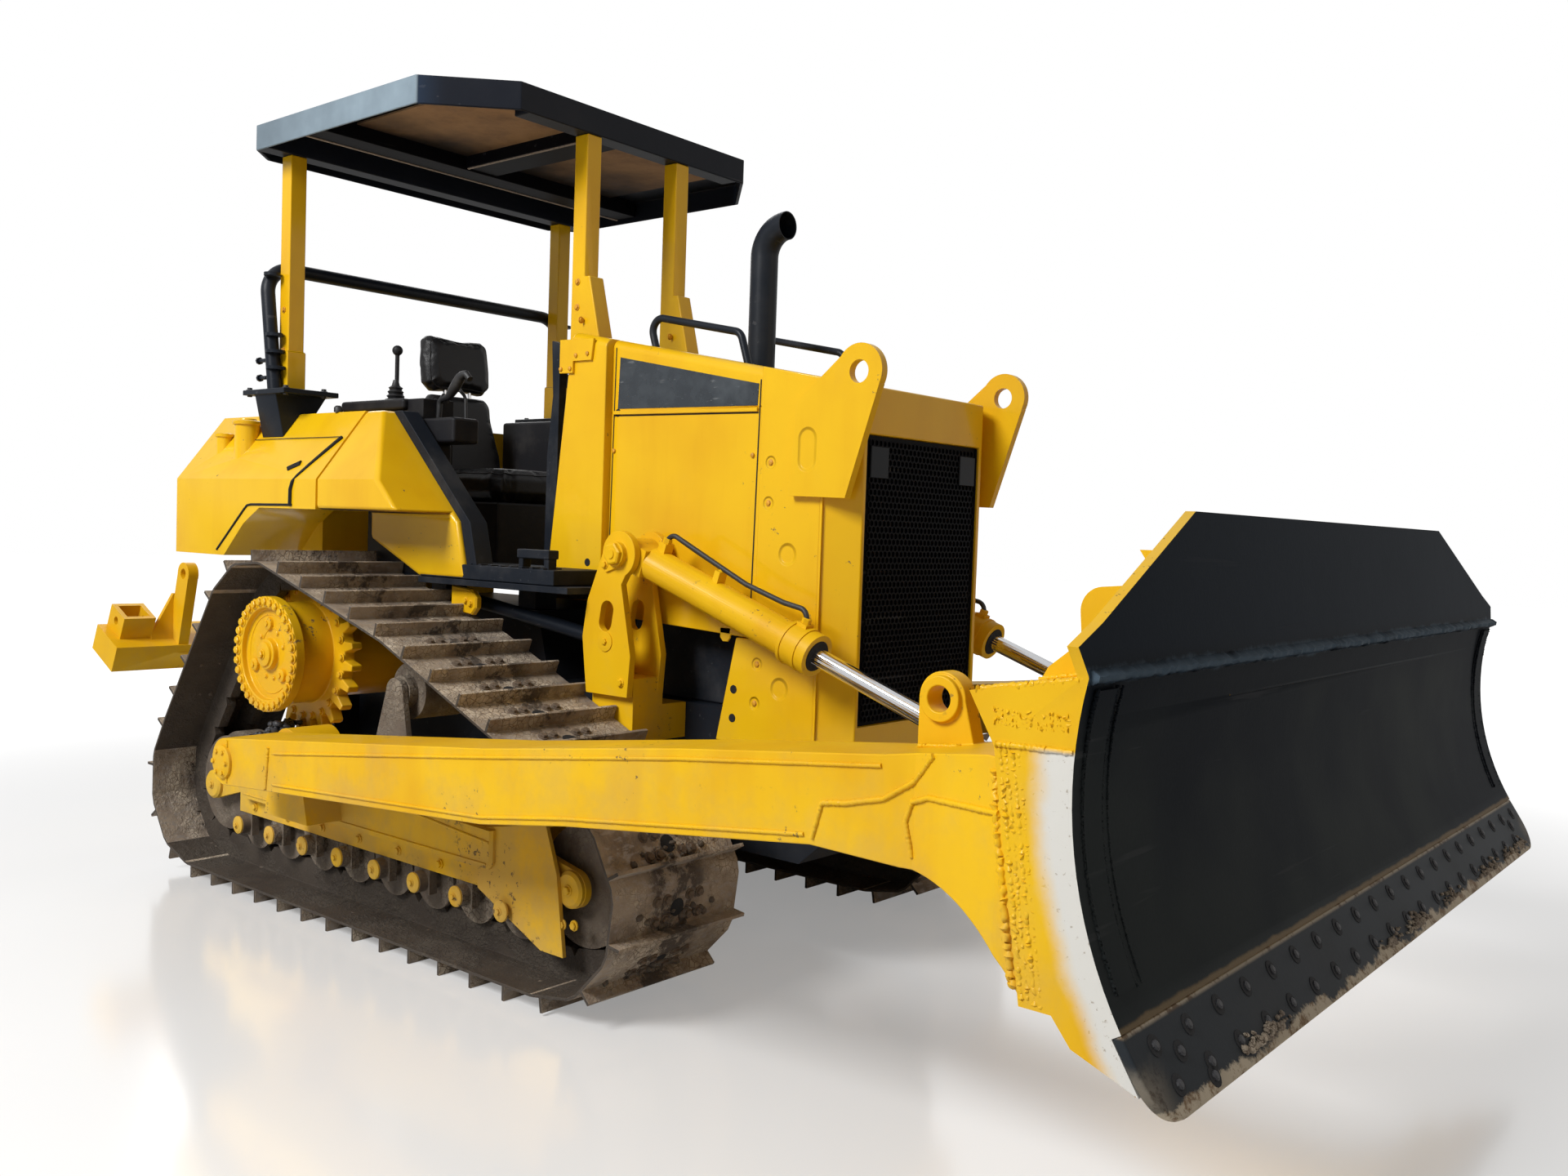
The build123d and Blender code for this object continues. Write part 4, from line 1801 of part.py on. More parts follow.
# Columns: distance ahead of the beam's middle, height over it
RIPPER_ARM_ROOT = ((60, -90), (90, 30))
RIPPER_EYE_ROOT = ((110, -OVERCUT), (-40, 30))
RIPPER_LUG_ROOT_DROP = 30
RIPPER_EYE_PLATE = 24
RIPPER_EYE_GAP = 3
RIPPER_EYE_INSET = 195
RIPPER_EYE_X = REAR_X + RIPPER_EYE_INSET
RIPPER_EYE_Z = 1080
RIPPER_EYE_R = 45
RIPPER_EYE_HALF = 40
BEAM_PLANE = Plane(
    origin=(RIPPER_X, 0, RIPPER_Z), x_dir=(0, 1, 0), z_dir=(ripper_s, 0, ripper_c)
)

with BuildPart() as ripper_beam:
    with BuildSketch(wall(RIPPER_HALF)):
        with Locations((RIPPER_X, RIPPER_Z)):
            Rectangle(RIPPER_DEPTH, RIPPER_HEIGHT, rotation=-RIPPER_TILT)
    extrude(amount=2 * RIPPER_HALF)
    for y in (POCKET_Y, -POCKET_Y):
        with BuildSketch(BEAM_PLANE):
            with Locations((y, (RIPPER_DEPTH - POCKET_SIZE) / 2)):
                Rectangle(POCKET_SIZE, POCKET_SIZE)
        extrude(amount=RIPPER_HEIGHT / 2 + POCKET_TOP)
        with BuildSketch(BEAM_PLANE.offset(-RIPPER_HEIGHT)):
            with Locations((y, (RIPPER_DEPTH - POCKET_SIZE) / 2)):
                Rectangle(POCKET_SIZE - 2 * POCKET_WALL, POCKET_SIZE - 2 * POCKET_WALL)
        extrude(amount=2 * RIPPER_HEIGHT + POCKET_TOP, mode=Mode.SUBTRACT)
    pocket_back = (RIPPER_DEPTH - POCKET_SIZE) / 2
    pocket_up = RIPPER_HEIGHT / 2 + POCKET_PIN_UP
    with BuildSketch(wall(RIPPER_HALF)):
        with Locations((
            RIPPER_X - pocket_back * ripper_c + pocket_up * ripper_s,
            RIPPER_Z + pocket_back * ripper_s + pocket_up * ripper_c,
        )):
            Circle(POCKET_PIN_R)
    extrude(amount=2 * RIPPER_HALF, mode=Mode.SUBTRACT)
    for y in (RIPPER_LUG_Y, -RIPPER_LUG_Y):
        with BuildSketch(wall(y + RIPPER_PLATE / 2)):
            with BuildLine():
                Polyline(
                    (RIPPER_X + OVERCUT, RIPPER_Z),
                    (RIPPER_LUG_X - RIPPER_LUG_R, RIPPER_LUG_Z),
                    (RIPPER_LUG_X + RIPPER_LUG_R, RIPPER_LUG_Z),
                    (RIPPER_X + RIPPER_DEPTH / 2, RIPPER_Z - RIPPER_LUG_ROOT_DROP),
                    close=True,
                )
            make_face()
            with Locations((RIPPER_LUG_X, RIPPER_LUG_Z)):
                Circle(RIPPER_LUG_R)
                Circle(RIPPER_BORE_R, mode=Mode.SUBTRACT)
        extrude(amount=RIPPER_PLATE)
    with BuildSketch(across(RIPPER_X + 2 * RIPPER_GUSSET_THICK)):
        with BuildLine():
            Polyline(
                (RIPPER_LUG_Y, RIPPER_Z),
                (RIPPER_LUG_Y, RIPPER_GUSSET_TOP_Z),
                (RIPPER_LUG_Y + RIPPER_PLATE / 2, RIPPER_GUSSET_TOP_Z),
                (RIPPER_LUG_Y + RIPPER_GUSSET_RUN, RIPPER_Z + RIPPER_HEIGHT / 2),
                (RIPPER_LUG_Y + RIPPER_GUSSET_RUN, RIPPER_Z),
                close=True,
            )
        make_face()
        mirror(about=Plane.YZ)
    extrude(amount=RIPPER_GUSSET_THICK)
    for y in (RIPPER_ARM_Y, -RIPPER_ARM_Y):
        with BuildSketch(wall(y + RIPPER_ARM_THICK / 2)):
            with BuildLine():
                Polyline(
                    (RIPPER_HINGE_X, RIPPER_HINGE_Z - RIPPER_ARM_HALF),
                    *[(RIPPER_X + x, RIPPER_Z + z) for x, z in RIPPER_ARM_ROOT],
                    (RIPPER_HINGE_X, RIPPER_HINGE_Z + RIPPER_ARM_HALF),
                    close=True,
                )
            make_face()
            with Locations((RIPPER_HINGE_X, RIPPER_HINGE_Z)):
                Circle(RIPPER_ARM_END_R)
                Circle(RIPPER_PIN_R + PIN_CLEARANCE, mode=Mode.SUBTRACT)
        extrude(amount=RIPPER_ARM_THICK)
    for face_y in (RIPPER_EYE_HALF + RIPPER_EYE_GAP + RIPPER_EYE_PLATE, -RIPPER_EYE_HALF - RIPPER_EYE_GAP):
        with BuildSketch(wall(face_y)):
            with BuildLine():
                Polyline(
                    (RIPPER_EYE_X - RIPPER_EYE_R, RIPPER_EYE_Z),
                    (RIPPER_EYE_X + RIPPER_EYE_R, RIPPER_EYE_Z),
                    *[(RIPPER_X + x, RIPPER_Z + z) for x, z in RIPPER_EYE_ROOT],
                    close=True,
                )
            make_face()
            with Locations((RIPPER_EYE_X, RIPPER_EYE_Z)):
                Circle(RIPPER_EYE_R)
                Circle(RIPPER_CYL_PIN_R, mode=Mode.SUBTRACT)
        extrude(amount=RIPPER_EYE_PLATE)
ripper_beam.part.label = "ripper_beam"
export_step(ripper_beam.part, "parts/ripper_beam.step")

# Ripper cylinder, opened at the rod's eye like the lift cylinders
ripper_length = hypot(RIPPER_EYE_X - RIPPER_CYL_X, RIPPER_EYE_Z - RIPPER_CYL_Z)
ripper_dx = (RIPPER_EYE_X - RIPPER_CYL_X) / ripper_length
ripper_dz = (RIPPER_EYE_Z - RIPPER_CYL_Z) / ripper_length
RIPPER_BARREL_R = 50
RIPPER_BARREL_BORE_R = 38
RIPPER_BARREL_START = 44
RIPPER_BORE_START = 0.081 * ripper_length
RIPPER_BARREL_LENGTH = 0.586 * ripper_length
RIPPER_GLAND_LENGTH = 0.069 * ripper_length
RIPPER_ROD_R = 25
RIPPER_PISTON_START = 0.171 * ripper_length
RIPPER_PISTON_LENGTH = 0.045 * ripper_length
RIPPER_CYL_EYE_R = 46
RIPPER_CYL_EYE_HALF = 60
RIPPER_ROD_EYE_R = 42
RIPPER_PLANE = Plane(
    origin=(RIPPER_CYL_X, 0, RIPPER_CYL_Z), x_dir=(0, 1, 0), z_dir=(ripper_dx, 0, ripper_dz)
)

with BuildPart() as ripper_barrel:
    with BuildSketch(RIPPER_PLANE.offset(RIPPER_BARREL_START)):
        Circle(RIPPER_BARREL_R)
    extrude(amount=RIPPER_BARREL_LENGTH - RIPPER_BARREL_START)
    with BuildSketch(wall(RIPPER_CYL_EYE_HALF)):
        with Locations((RIPPER_CYL_X, RIPPER_CYL_Z)):
            Circle(RIPPER_CYL_EYE_R)
    extrude(amount=2 * RIPPER_CYL_EYE_HALF)
    with BuildSketch(wall(2 * RIPPER_CYL_EYE_HALF)):
        with Locations((RIPPER_CYL_X, RIPPER_CYL_Z)):
            Circle(RIPPER_CYL_PIN_R + PIN_CLEARANCE)
    extrude(amount=4 * RIPPER_CYL_EYE_HALF, mode=Mode.SUBTRACT)
    with BuildSketch(RIPPER_PLANE.offset(RIPPER_BORE_START)):
        Circle(RIPPER_BARREL_BORE_R)
    extrude(amount=RIPPER_BARREL_LENGTH - RIPPER_GLAND_LENGTH - RIPPER_BORE_START, mode=Mode.SUBTRACT)
    with BuildSketch(RIPPER_PLANE.offset(RIPPER_BARREL_LENGTH - RIPPER_GLAND_LENGTH)):
        Circle(RIPPER_ROD_R + SLIDE_CLEARANCE)
    extrude(amount=RIPPER_GLAND_LENGTH, mode=Mode.SUBTRACT)
ripper_barrel.part.label = "ripper_barrel"
export_step(ripper_barrel.part, "parts/ripper_barrel.step")

with BuildPart() as ripper_rod:
    with BuildSketch(RIPPER_PLANE.offset(RIPPER_PISTON_START)):
        Circle(RIPPER_ROD_R)
    extrude(amount=ripper_length - RIPPER_PISTON_START)
    with BuildSketch(RIPPER_PLANE.offset(RIPPER_PISTON_START)):
        Circle(RIPPER_BARREL_BORE_R - SLIDE_CLEARANCE)
    extrude(amount=RIPPER_PISTON_LENGTH)
    with BuildSketch(wall(RIPPER_EYE_HALF)):
        with Locations((RIPPER_EYE_X, RIPPER_EYE_Z)):
            Circle(RIPPER_ROD_EYE_R)
    extrude(amount=2 * RIPPER_EYE_HALF)
    with BuildSketch(wall(2 * RIPPER_EYE_HALF)):
        with Locations((RIPPER_EYE_X, RIPPER_EYE_Z)):
            Circle(RIPPER_CYL_PIN_R)
    extrude(amount=4 * RIPPER_EYE_HALF, mode=Mode.SUBTRACT)
ripper_rod.part.label = "ripper_rod"
export_step(ripper_rod.part, "parts/ripper_rod.step")
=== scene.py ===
# %% [markdown]
# # A crawler bulldozer, dressed over its CAD frame
# The shapes of this machine come from a CAD model, which this script loads first. Blender adds
# what a drawing office leaves out: paint with dust on it, bolt heads, weld beads, a pierced
# grille, a padded seat and light. It could all be modelled by hand, but numbers in a script are
# easier to correct against a photograph. Every value is in metres, +X points to the blade, +Y to
# the machine's left and +Z up.

# %% Load the frame
import json

import bmesh
import bpy
import numpy as np
from mathutils import Matrix, Vector
from mathutils.kdtree import KDTree

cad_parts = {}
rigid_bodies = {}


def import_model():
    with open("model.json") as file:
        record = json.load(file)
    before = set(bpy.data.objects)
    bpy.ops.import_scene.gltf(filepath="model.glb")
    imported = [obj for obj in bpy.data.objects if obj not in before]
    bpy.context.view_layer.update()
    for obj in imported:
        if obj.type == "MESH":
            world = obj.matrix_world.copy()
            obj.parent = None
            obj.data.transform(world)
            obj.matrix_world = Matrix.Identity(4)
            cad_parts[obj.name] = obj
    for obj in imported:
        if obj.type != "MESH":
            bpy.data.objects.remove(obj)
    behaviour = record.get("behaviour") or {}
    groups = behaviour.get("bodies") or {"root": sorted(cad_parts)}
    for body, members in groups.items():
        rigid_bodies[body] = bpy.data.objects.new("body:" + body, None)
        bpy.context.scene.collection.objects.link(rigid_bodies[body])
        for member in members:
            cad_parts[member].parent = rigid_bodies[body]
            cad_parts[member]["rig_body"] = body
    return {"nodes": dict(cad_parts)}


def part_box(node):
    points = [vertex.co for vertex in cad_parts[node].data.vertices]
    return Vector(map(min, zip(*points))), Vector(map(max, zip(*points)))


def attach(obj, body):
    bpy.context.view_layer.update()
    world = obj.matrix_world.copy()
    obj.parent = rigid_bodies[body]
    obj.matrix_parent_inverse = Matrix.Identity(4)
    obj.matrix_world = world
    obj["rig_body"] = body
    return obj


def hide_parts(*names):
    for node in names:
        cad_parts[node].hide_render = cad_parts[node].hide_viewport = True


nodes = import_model()["nodes"]
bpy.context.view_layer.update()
rng = np.random.default_rng(7)
SIDES = ((-1, "right"), (1, "left"))

# %% [markdown]
# ## Meshes from whole arrays
# A shape here is a table of points and a table of faces. A round thing is a profile turned about
# an axis, a tube is a circle carried along a path, and a repeated thing is one shape copied to
# many places at once. Working with whole arrays keeps the script short and quick.

# %% Points and faces


def ring_faces(rings, sides, closed_ends=True):
    """Quads between rings of points, each ring joined to the next, and a fan over both ends."""
    i, j = np.meshgrid(np.arange(rings - 1), np.arange(sides), indexing="ij")
    k = (j + 1) % sides
    quads = np.stack([i * sides + j, i * sides + k, (i + 1) * sides + k, (i + 1) * sides + j], -1)
    faces = quads.reshape(-1, 4).tolist()
    if closed_ends:
        faces.append(list(range(sides - 1, -1, -1)))
        faces.append(list(range((rings - 1) * sides, rings * sides)))
    return faces


def turned(profile, sides=24, phase=0.0):
    """Surface of revolution: each (radius, height) of the profile goes round the Z axis."""
    r, h = np.array(profile, float).T
    a = phase + 2 * np.pi * np.arange(sides) / sides
    points = np.stack([r[:, None] * np.cos(a), r[:, None] * np.sin(a), h[:, None] + 0 * a], -1)
    return points.reshape(-1, 3), ring_faces(len(r), sides)


def tube(path, radius, sides=12):
    """A circle carried along a path: its centre follows the points, its plane their direction."""
    path = np.array(path, float)
    along = np.gradient(path, axis=0)
    along /= np.linalg.norm(along, axis=1)[:, None]
    helper = np.eye(3)[np.argmin(np.abs(along).max(0))]
    side = np.cross(along, helper)
    side /= np.linalg.norm(side, axis=1)[:, None]
    up = np.cross(side, along)
    a = 2 * np.pi * np.arange(sides) / sides
    r = np.broadcast_to(radius, len(path))[:, None, None]
    points = path[:, None] + r * (np.cos(a)[:, None] * side[:, None] + np.sin(a)[:, None] * up[:, None])
    return points.reshape(-1, 3), ring_faces(len(path), sides)


def slab(outline, thick, bevel=0.0):
    """A flat plate from an (x, y) outline: the outline at both faces, drawn in by the bevel."""
    outline = np.array(outline, float)
    centre = outline.mean(0)
    reach = np.linalg.norm(outline - centre, axis=1)[:, None]
    inner = centre + (outline - centre) * (1 - bevel / reach)
    layers = [(inner, 0), (outline, bevel), (outline, thick - bevel), (inner, thick)]
    if not bevel:
        layers = [(outline, 0), (outline, thick)]
    points = np.concatenate([np.column_stack([o, np.full(len(o), z)]) for o, z in layers])
    return points, ring_faces(len(layers), len(outline))


def placed(shape, at, axis=(0, 0, 1), turn=0.0):
    """Copies of one shape: its Z axis laid along each axis, its origin on each point."""
    points, faces = shape
    at = np.atleast_2d(np.array(at, float))
    axis = np.broadcast_to(np.array(axis, float), at.shape)
    axis = axis / np.linalg.norm(axis, axis=1)[:, None]
    helper = np.where(np.abs(axis[:, 2:3]) < 0.9, [[0.0, 0.0, 1.0]], [[1.0, 0.0, 0.0]])
    x = np.cross(helper, axis)
    x /= np.linalg.norm(x, axis=1)[:, None]
    y = np.cross(axis, x)
    c, s = np.cos(turn), np.sin(turn)
    c, s = np.broadcast_to(c, len(at))[:, None], np.broadcast_to(s, len(at))[:, None]
    x, y = c * x + s * y, c * y - s * x
    frames = np.stack([x, y, axis], 1)
    spread = np.einsum("pk,nkc->npc", points, frames) + at[:, None]
    step = len(points)
    return spread.reshape(-1, 3), [[v + i * step for v in f] for i in range(len(at)) for f in faces]


def bolt(radius, height):
    """A hexagon head on a round washer."""
    head = [(radius, height * 0.25), (radius, height * 0.85), (radius * 0.84, height)]
    washer = [(radius * 1.35, -0.002), (radius * 1.35, height * 0.2), (radius * 1.2, height * 0.28)]
    return joined(turned(head, 6), turned(washer, 14))


def resampled(path, step):
    """Points at even steps along a polyline."""
    path = np.array(path, float)
    lengths = np.r_[0, np.cumsum(np.linalg.norm(np.diff(path, axis=0), axis=1))]
    at = np.linspace(0, lengths[-1], max(4, int(lengths[-1] / step)))
    return np.stack([np.interp(at, lengths, path[:, i]) for i in range(path.shape[1])], 1)


def weld(path, radius, rough=0.25):
    """A weld bead: a tube whose radius ripples once per stroke, with a little hand tremor."""
    points = resampled(path, radius * 0.45)
    ripple = 1 - rough * np.abs(np.sin(np.arange(len(points)) * np.pi / 3.3))
    shake = rng.normal(0, radius * rough * 0.35, points.shape)
    return tube(points + shake, radius * ripple * rng.uniform(0.9, 1.1, len(points)), 8)


def lumps(at, sizes):
    """Small stones or clods: a coarse round shape, each with its own jagged scale."""
    profile = [(0.45, -0.7), (0.95, -0.25), (1.0, 0.25), (0.5, 0.75)]
    shapes = []
    for place, size in zip(at, sizes):
        points, faces = turned(profile, 7)
        points = points * size * rng.uniform(0.7, 1.15, 3) * rng.uniform(0.8, 1.2, (len(points), 1))
        shapes.append((points + place, faces))
    return joined(*shapes)


def both_sides(shape):
    """A shape and its mirror image across the machine, faces turned round to point outwards."""
    points, faces = shape
    return joined(shape, (points * [1, -1, 1], [face[::-1] for face in faces]))


def moved(shape, by):
    """A shape carried along by an (x, y, z) step."""
    points, faces = shape
    return points + by, faces


def facing_side(shape, y, out=-1):
    """A plate drawn in (x, z) stood along the machine: its thickness runs outwards from y."""
    points, faces = shape
    return np.column_stack([points[:, 0], y + out * points[:, 2], points[:, 1]]), faces


def facing_front(shape, x):
    """A plate drawn in (y, z) stood across the machine: its thickness runs forwards from x."""
    points, faces = shape
    return np.column_stack([x + points[:, 2], points[:, 0], points[:, 1]]), faces


def ring_at(centre, radius, angles):
    """Points on an upright circle that faces the side: the centre plus r times (cos, 0, sin)."""
    return centre + radius * np.column_stack([np.cos(angles), 0 * angles, np.sin(angles)])


def box(low, high):
    """The eight corners and six faces of a box."""
    (a, b, c), (d, e, f) = low, high
    points = np.array([(x, y, z) for z in (c, f) for x, y in ((a, b), (d, b), (d, e), (a, e))], float)
    return points, ring_faces(2, 4)


def joined(*shapes):
    """One table of points and faces from several."""
    points, faces, start = [], [], 0
    for p, f in shapes:
        points.append(p)
        faces += [[v + start for v in face] for face in f]
        start += len(p)
    return np.concatenate(points), faces


def piece(name, shape, material, body, smooth=35, bevel=0.0):
    """A finished object from a shape: its material, the body that it moves with, its edges."""
    mesh = bpy.data.meshes.new(name)
    mesh.from_pydata(shape[0].tolist(), [], shape[1])
    mesh.validate()
    work = bmesh.new()
    work.from_mesh(mesh)
    bmesh.ops.recalc_face_normals(work, faces=work.faces)
    work.to_mesh(mesh)
    work.free()
    mesh.shade_smooth()
    mesh.set_sharp_from_angle(angle=np.radians(smooth))
    mesh.materials.append(material)
    made = bpy.data.objects.new(name, mesh)
    bpy.context.scene.collection.objects.link(made)
    if bevel:
        rounded(made, bevel)
    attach(made, body)
    return made


def rounded(obj, width, segments=2, limit=40):
    """A live Bevel on the edges sharper than the limit, so that they catch the light."""
    edge = obj.modifiers.new("edges", "BEVEL")
    edge.width, edge.segments, edge.limit_method = width, segments, "ANGLE"
    edge.angle_limit = np.radians(limit)
    edge.harden_normals = True
    return obj


# %% [markdown]
# ## Shader sums in plain Python
# A material is a network of nodes. Writing `dust * 0.5 + edge` is easier to read than placing
# Math nodes by hand, so a small class stands for a node's output and turns each operator into
# the node that does it.

# %% Shader values


class Value:
    """A node's output. Operators on it add Math nodes to the same material."""

    def __init__(self, material, socket):
        self.material, self.socket = material, socket

    def maths(self, operation, *others):
        inputs = {i: v for i, v in enumerate((self, *others))}
        return self.material.node("ShaderNodeMath", {"operation": operation}, inputs)

    def __add__(self, other):
        return self.maths("ADD", other)

    def __sub__(self, other):
        return self.maths("SUBTRACT", other)

    def __rsub__(self, other):
        return self.material.node("ShaderNodeMath", {"operation": "SUBTRACT"}, {0: other, 1: self})

    def __mul__(self, other):
        return self.maths("MULTIPLY", other)

    def __truediv__(self, other):
        return self.maths("DIVIDE", other)

    __radd__, __rmul__ = __add__, __mul__

    def size(self):
        """Its distance from zero."""
        return self.maths("ABSOLUTE")

    def least(self, other):
        """The smaller of the two."""
        return self.maths("MINIMUM", other)

    def most(self, other):
        """The larger of the two."""
        return self.maths("MAXIMUM", other)

    def between(self, low, high):
        """0 below low, 1 above high, and a soft step from one to the other."""
        values = {"Value": self, "From Min": low, "From Max": high}
        return self.material.node("ShaderNodeMapRange", {"interpolation_type": "SMOOTHSTEP"}, values)


class Finish:
    """One material: a Principled shader and the nodes that feed it."""

    def __init__(self, name, **sockets):
        self.made = bpy.data.materials.new(name)
        self.made.use_nodes = True
        self.tree = self.made.node_tree
        self.shader = self.tree.nodes["Principled BSDF"]
        self.where = self.node("ShaderNodeTexCoord", {}, {}, "Object")
        apart = self.node("ShaderNodeSeparateXYZ", {}, {0: self.where}, None)
        self.x, self.y, self.z = (Value(self, apart.outputs[i]) for i in range(3))
        self.set(**sockets)

    def node(self, kind, settings, inputs, output=0):
        """Any node: its kind, its own settings, then the values or links of its sockets."""
        made = self.tree.nodes.new(kind)
        for key, value in settings.items():
            setattr(made, key, value)
        for key, value in inputs.items():
            if isinstance(value, Value):
                self.tree.links.new(value.socket, made.inputs[key])
            else:
                made.inputs[key].default_value = value
        return made if output is None else Value(self, made.outputs[output])

    def stretched(self, scale):
        """Object coordinates times a scale along each axis: under 1 draws a pattern out."""
        return self.node("ShaderNodeMapping", {}, {"Vector": self.where, "Scale": scale})

    def noise(self, scale, detail=4.0, rough=0.55, at=None):
        """Cloudy noise about 0.5, with scale clouds to a metre."""
        inputs = {"Vector": at or self.where, "Scale": scale, "Detail": detail, "Roughness": rough}
        return self.node("ShaderNodeTexNoise", {}, inputs)

    def cells(self, scale, feature="F1"):
        """Distance inside a pattern of random cells, with scale cells to a metre."""
        return self.node("ShaderNodeTexVoronoi", {"feature": feature}, {"Vector": self.where, "Scale": scale})

    def mix(self, share, first, second):
        """Colours: the first where the share is 0, the second where it is 1."""
        made = self.node("ShaderNodeMix", {"data_type": "RGBA"}, {}, None)
        for index, value in ((0, share), (6, first), (7, second)):
            if isinstance(value, Value):
                self.tree.links.new(value.socket, made.inputs[index])
            elif index == 0:
                made.inputs[index].default_value = value
            else:
                made.inputs[index].default_value = (*value, 1.0)
        return Value(self, made.outputs[2])

    def bump(self, height, distance, strength=1.0):
        """A surface direction that makes a height, times a distance in metres, look raised."""
        inputs = {"Height": height, "Distance": distance, "Strength": strength}
        return self.node("ShaderNodeBump", {}, inputs, "Normal")

    def set(self, **sockets):
        """Values or links of the Principled shader, with _ for a space in a socket's name."""
        for key, value in sockets.items():
            target = self.shader.inputs[key.replace("_", " ")]
            if isinstance(value, Value):
                self.tree.links.new(value.socket, target)
            else:
                target.default_value = (*value, 1.0) if isinstance(value, tuple) else value
        return self


# %% [markdown]
# ## Yellow paint
# The real machine has thick, brush-like repaint: deep golden yellow, glossy, with faint clouds in
# its tone, runs, dust that thickens towards the ground and small chips down to brown steel. One
# function makes it, so that clean sheet metal, the dusty blade frame and the muddy undercarriage
# share a recipe and differ only in how dirty they are.

# %% Paint
YELLOW = (0.80, 0.475, 0.006)
DEEP_YELLOW = (0.68, 0.345, 0.004)
DUST = (0.42, 0.29, 0.13)
MUD = (0.105, 0.068, 0.042)
STEEL_BROWN = (0.10, 0.070, 0.050)
BLACK = (0.008, 0.011, 0.017)
TRACK_Y = 0.885  # from the middle of the machine to the middle of a track


def yellow_paint(
    name, dust=0.05, ground=0.0, chips=0.665, rough=0.30, welds=0.0, over=None, dents=None, coat=0.30
):
    """Paint tone by slow noise; dust by noise that grows towards the ground; chips by fine noise."""
    m = Finish(name, Coat_Roughness=0.12, Specular_IOR_Level=0.18)
    clouds = m.noise(1.7, 3.0)
    runs = m.noise(9.0, 3.0, at=m.stretched((1.0, 1.0, 0.16)))
    tone = (clouds.between(0.35, 0.68) * 0.55 + runs.between(0.45, 0.75) * 0.25).least(1.0)
    colour = m.mix(tone, YELLOW, DEEP_YELLOW)
    low = 1 - m.z.between(0.15, 1.5)
    grime = (m.noise(5.0, 6.0, 0.65) + low * ground + dust * 0.35).between(0.56, 0.86)
    grime = grime * (low * ground * 1.6 + dust).least(1.0)
    colour = m.mix(grime, colour, DUST)
    flakes = m.noise(38.0, 5.0, 0.7).between(chips, chips + 0.03)
    flakes = flakes * m.noise(2.6, 2.0).between(0.50, 0.60)
    colour = m.mix(flakes * 0.85, colour, STEEL_BROWN)
    peel = m.noise(190.0, 2.0) * 0.10 + m.noise(14.0, 3.0) * 0.55 + grime * 0.30 - flakes * 0.35
    if welds:
        peel = peel + m.noise(55.0, 4.0, 0.6) * welds
    if over:
        colour = over(m, colour)
    if dents:
        peel = peel * 0.30 + dents(m) * 13.0
    m.set(
        Base_Color=colour,
        Roughness=rough + grime * 0.42 + flakes * 0.25 + clouds * 0.08,
        Coat_Weight=(1 - grime) * coat,
        Normal=m.bump(peel, 0.0016, 0.6),
    )
    return m.made


def black_paint(name, dust=0.12, rough=0.36, scale=1.0, tint=BLACK, over=None, shine=0.16):
    """Satin blue-black with grey dust in clouds and thin scratches that run both ways."""
    m = Finish(name, Specular_IOR_Level=shine)
    haze = (m.noise(2.2 * scale, 5.0, 0.6).between(0.42, 0.80)) * dust
    low = (1 - m.z.between(0.35, 1.3)) * dust
    hairs = m.noise(30.0 * scale, 3.0, at=m.stretched((1.0, 0.05, 1.0))).between(0.66, 0.72)
    colour = m.mix(haze + low * 0.5, tint, (0.16, 0.155, 0.15))
    colour = m.mix(hairs * 0.12, colour, (0.24, 0.24, 0.25))
    if over:
        colour = over(m, colour)
    m.set(
        Base_Color=colour,
        Roughness=rough + haze * 0.8 + hairs * 0.1,
        Normal=m.bump(m.noise(120.0, 3.0) * 0.4 + m.noise(9.0, 3.0), 0.0012, 0.5),
    )
    return m.made


def muddy_steel(name, bare=0.0, soil=0.0, shade=0.0):
    """Track steel: rust under cracked dry mud, rubbed bright, with wet soil along the rails."""
    m = Finish(name)
    rust = m.mix(m.noise(7.0, 5.0, 0.65).between(0.35, 0.68), (0.34, 0.27, 0.20), (0.17, 0.128, 0.095))
    dry = m.noise(3.2, 8.0, 0.72).between(0.44, 0.62)
    cracks = m.cells(46.0, "DISTANCE_TO_EDGE").between(0.0, 0.07)
    crust = m.mix(m.noise(24.0, 5.0).between(0.3, 0.7), (0.64, 0.545, 0.42), (0.40, 0.32, 0.235))
    crust = m.mix(cracks, MUD, crust)
    colour = m.mix(dry * 0.9, rust, crust)
    sockets = {}
    roughness = 0.82 - (1 - dry) * 0.12
    if bare:
        rubbed = m.noise(60.0, 4.0, at=m.stretched((1.0, 0.4, 1.0))).between(0.50, 0.62) * (1 - dry) * bare
        colour = m.mix(rubbed, colour, (0.37, 0.335, 0.305))
        roughness = roughness - rubbed * 0.40
        sockets["Metallic"] = rubbed * 0.85
    height = dry * (m.noise(28.0, 6.0, 0.7) * 0.8 + cracks * 0.25 + 0.4) + m.noise(90.0, 4.0) * 0.25
    if soil:
        off_rail = (m.y.size() - TRACK_Y).size() + m.noise(4.0, 3.0) * 0.22
        wet = m.noise(11.0, 6.0, 0.72).between(0.48, 0.56) * (1 - off_rail.between(0.16, 0.27)) * soil
        colour = m.mix(wet, colour, (0.040, 0.028, 0.020))
        height = height + wet * m.noise(38.0, 5.0, 0.7) * 1.5
    # A fixed share towards near black: painted shade on the chain and the wheels, the soil's own dark on wet
    # soil.
    if shade:
        colour = m.mix(shade, colour, (0.022, 0.015, 0.010))
    m.set(Base_Color=colour, Roughness=roughness, Normal=m.bump(height, 0.009, 0.75), **sockets)
    return m.made


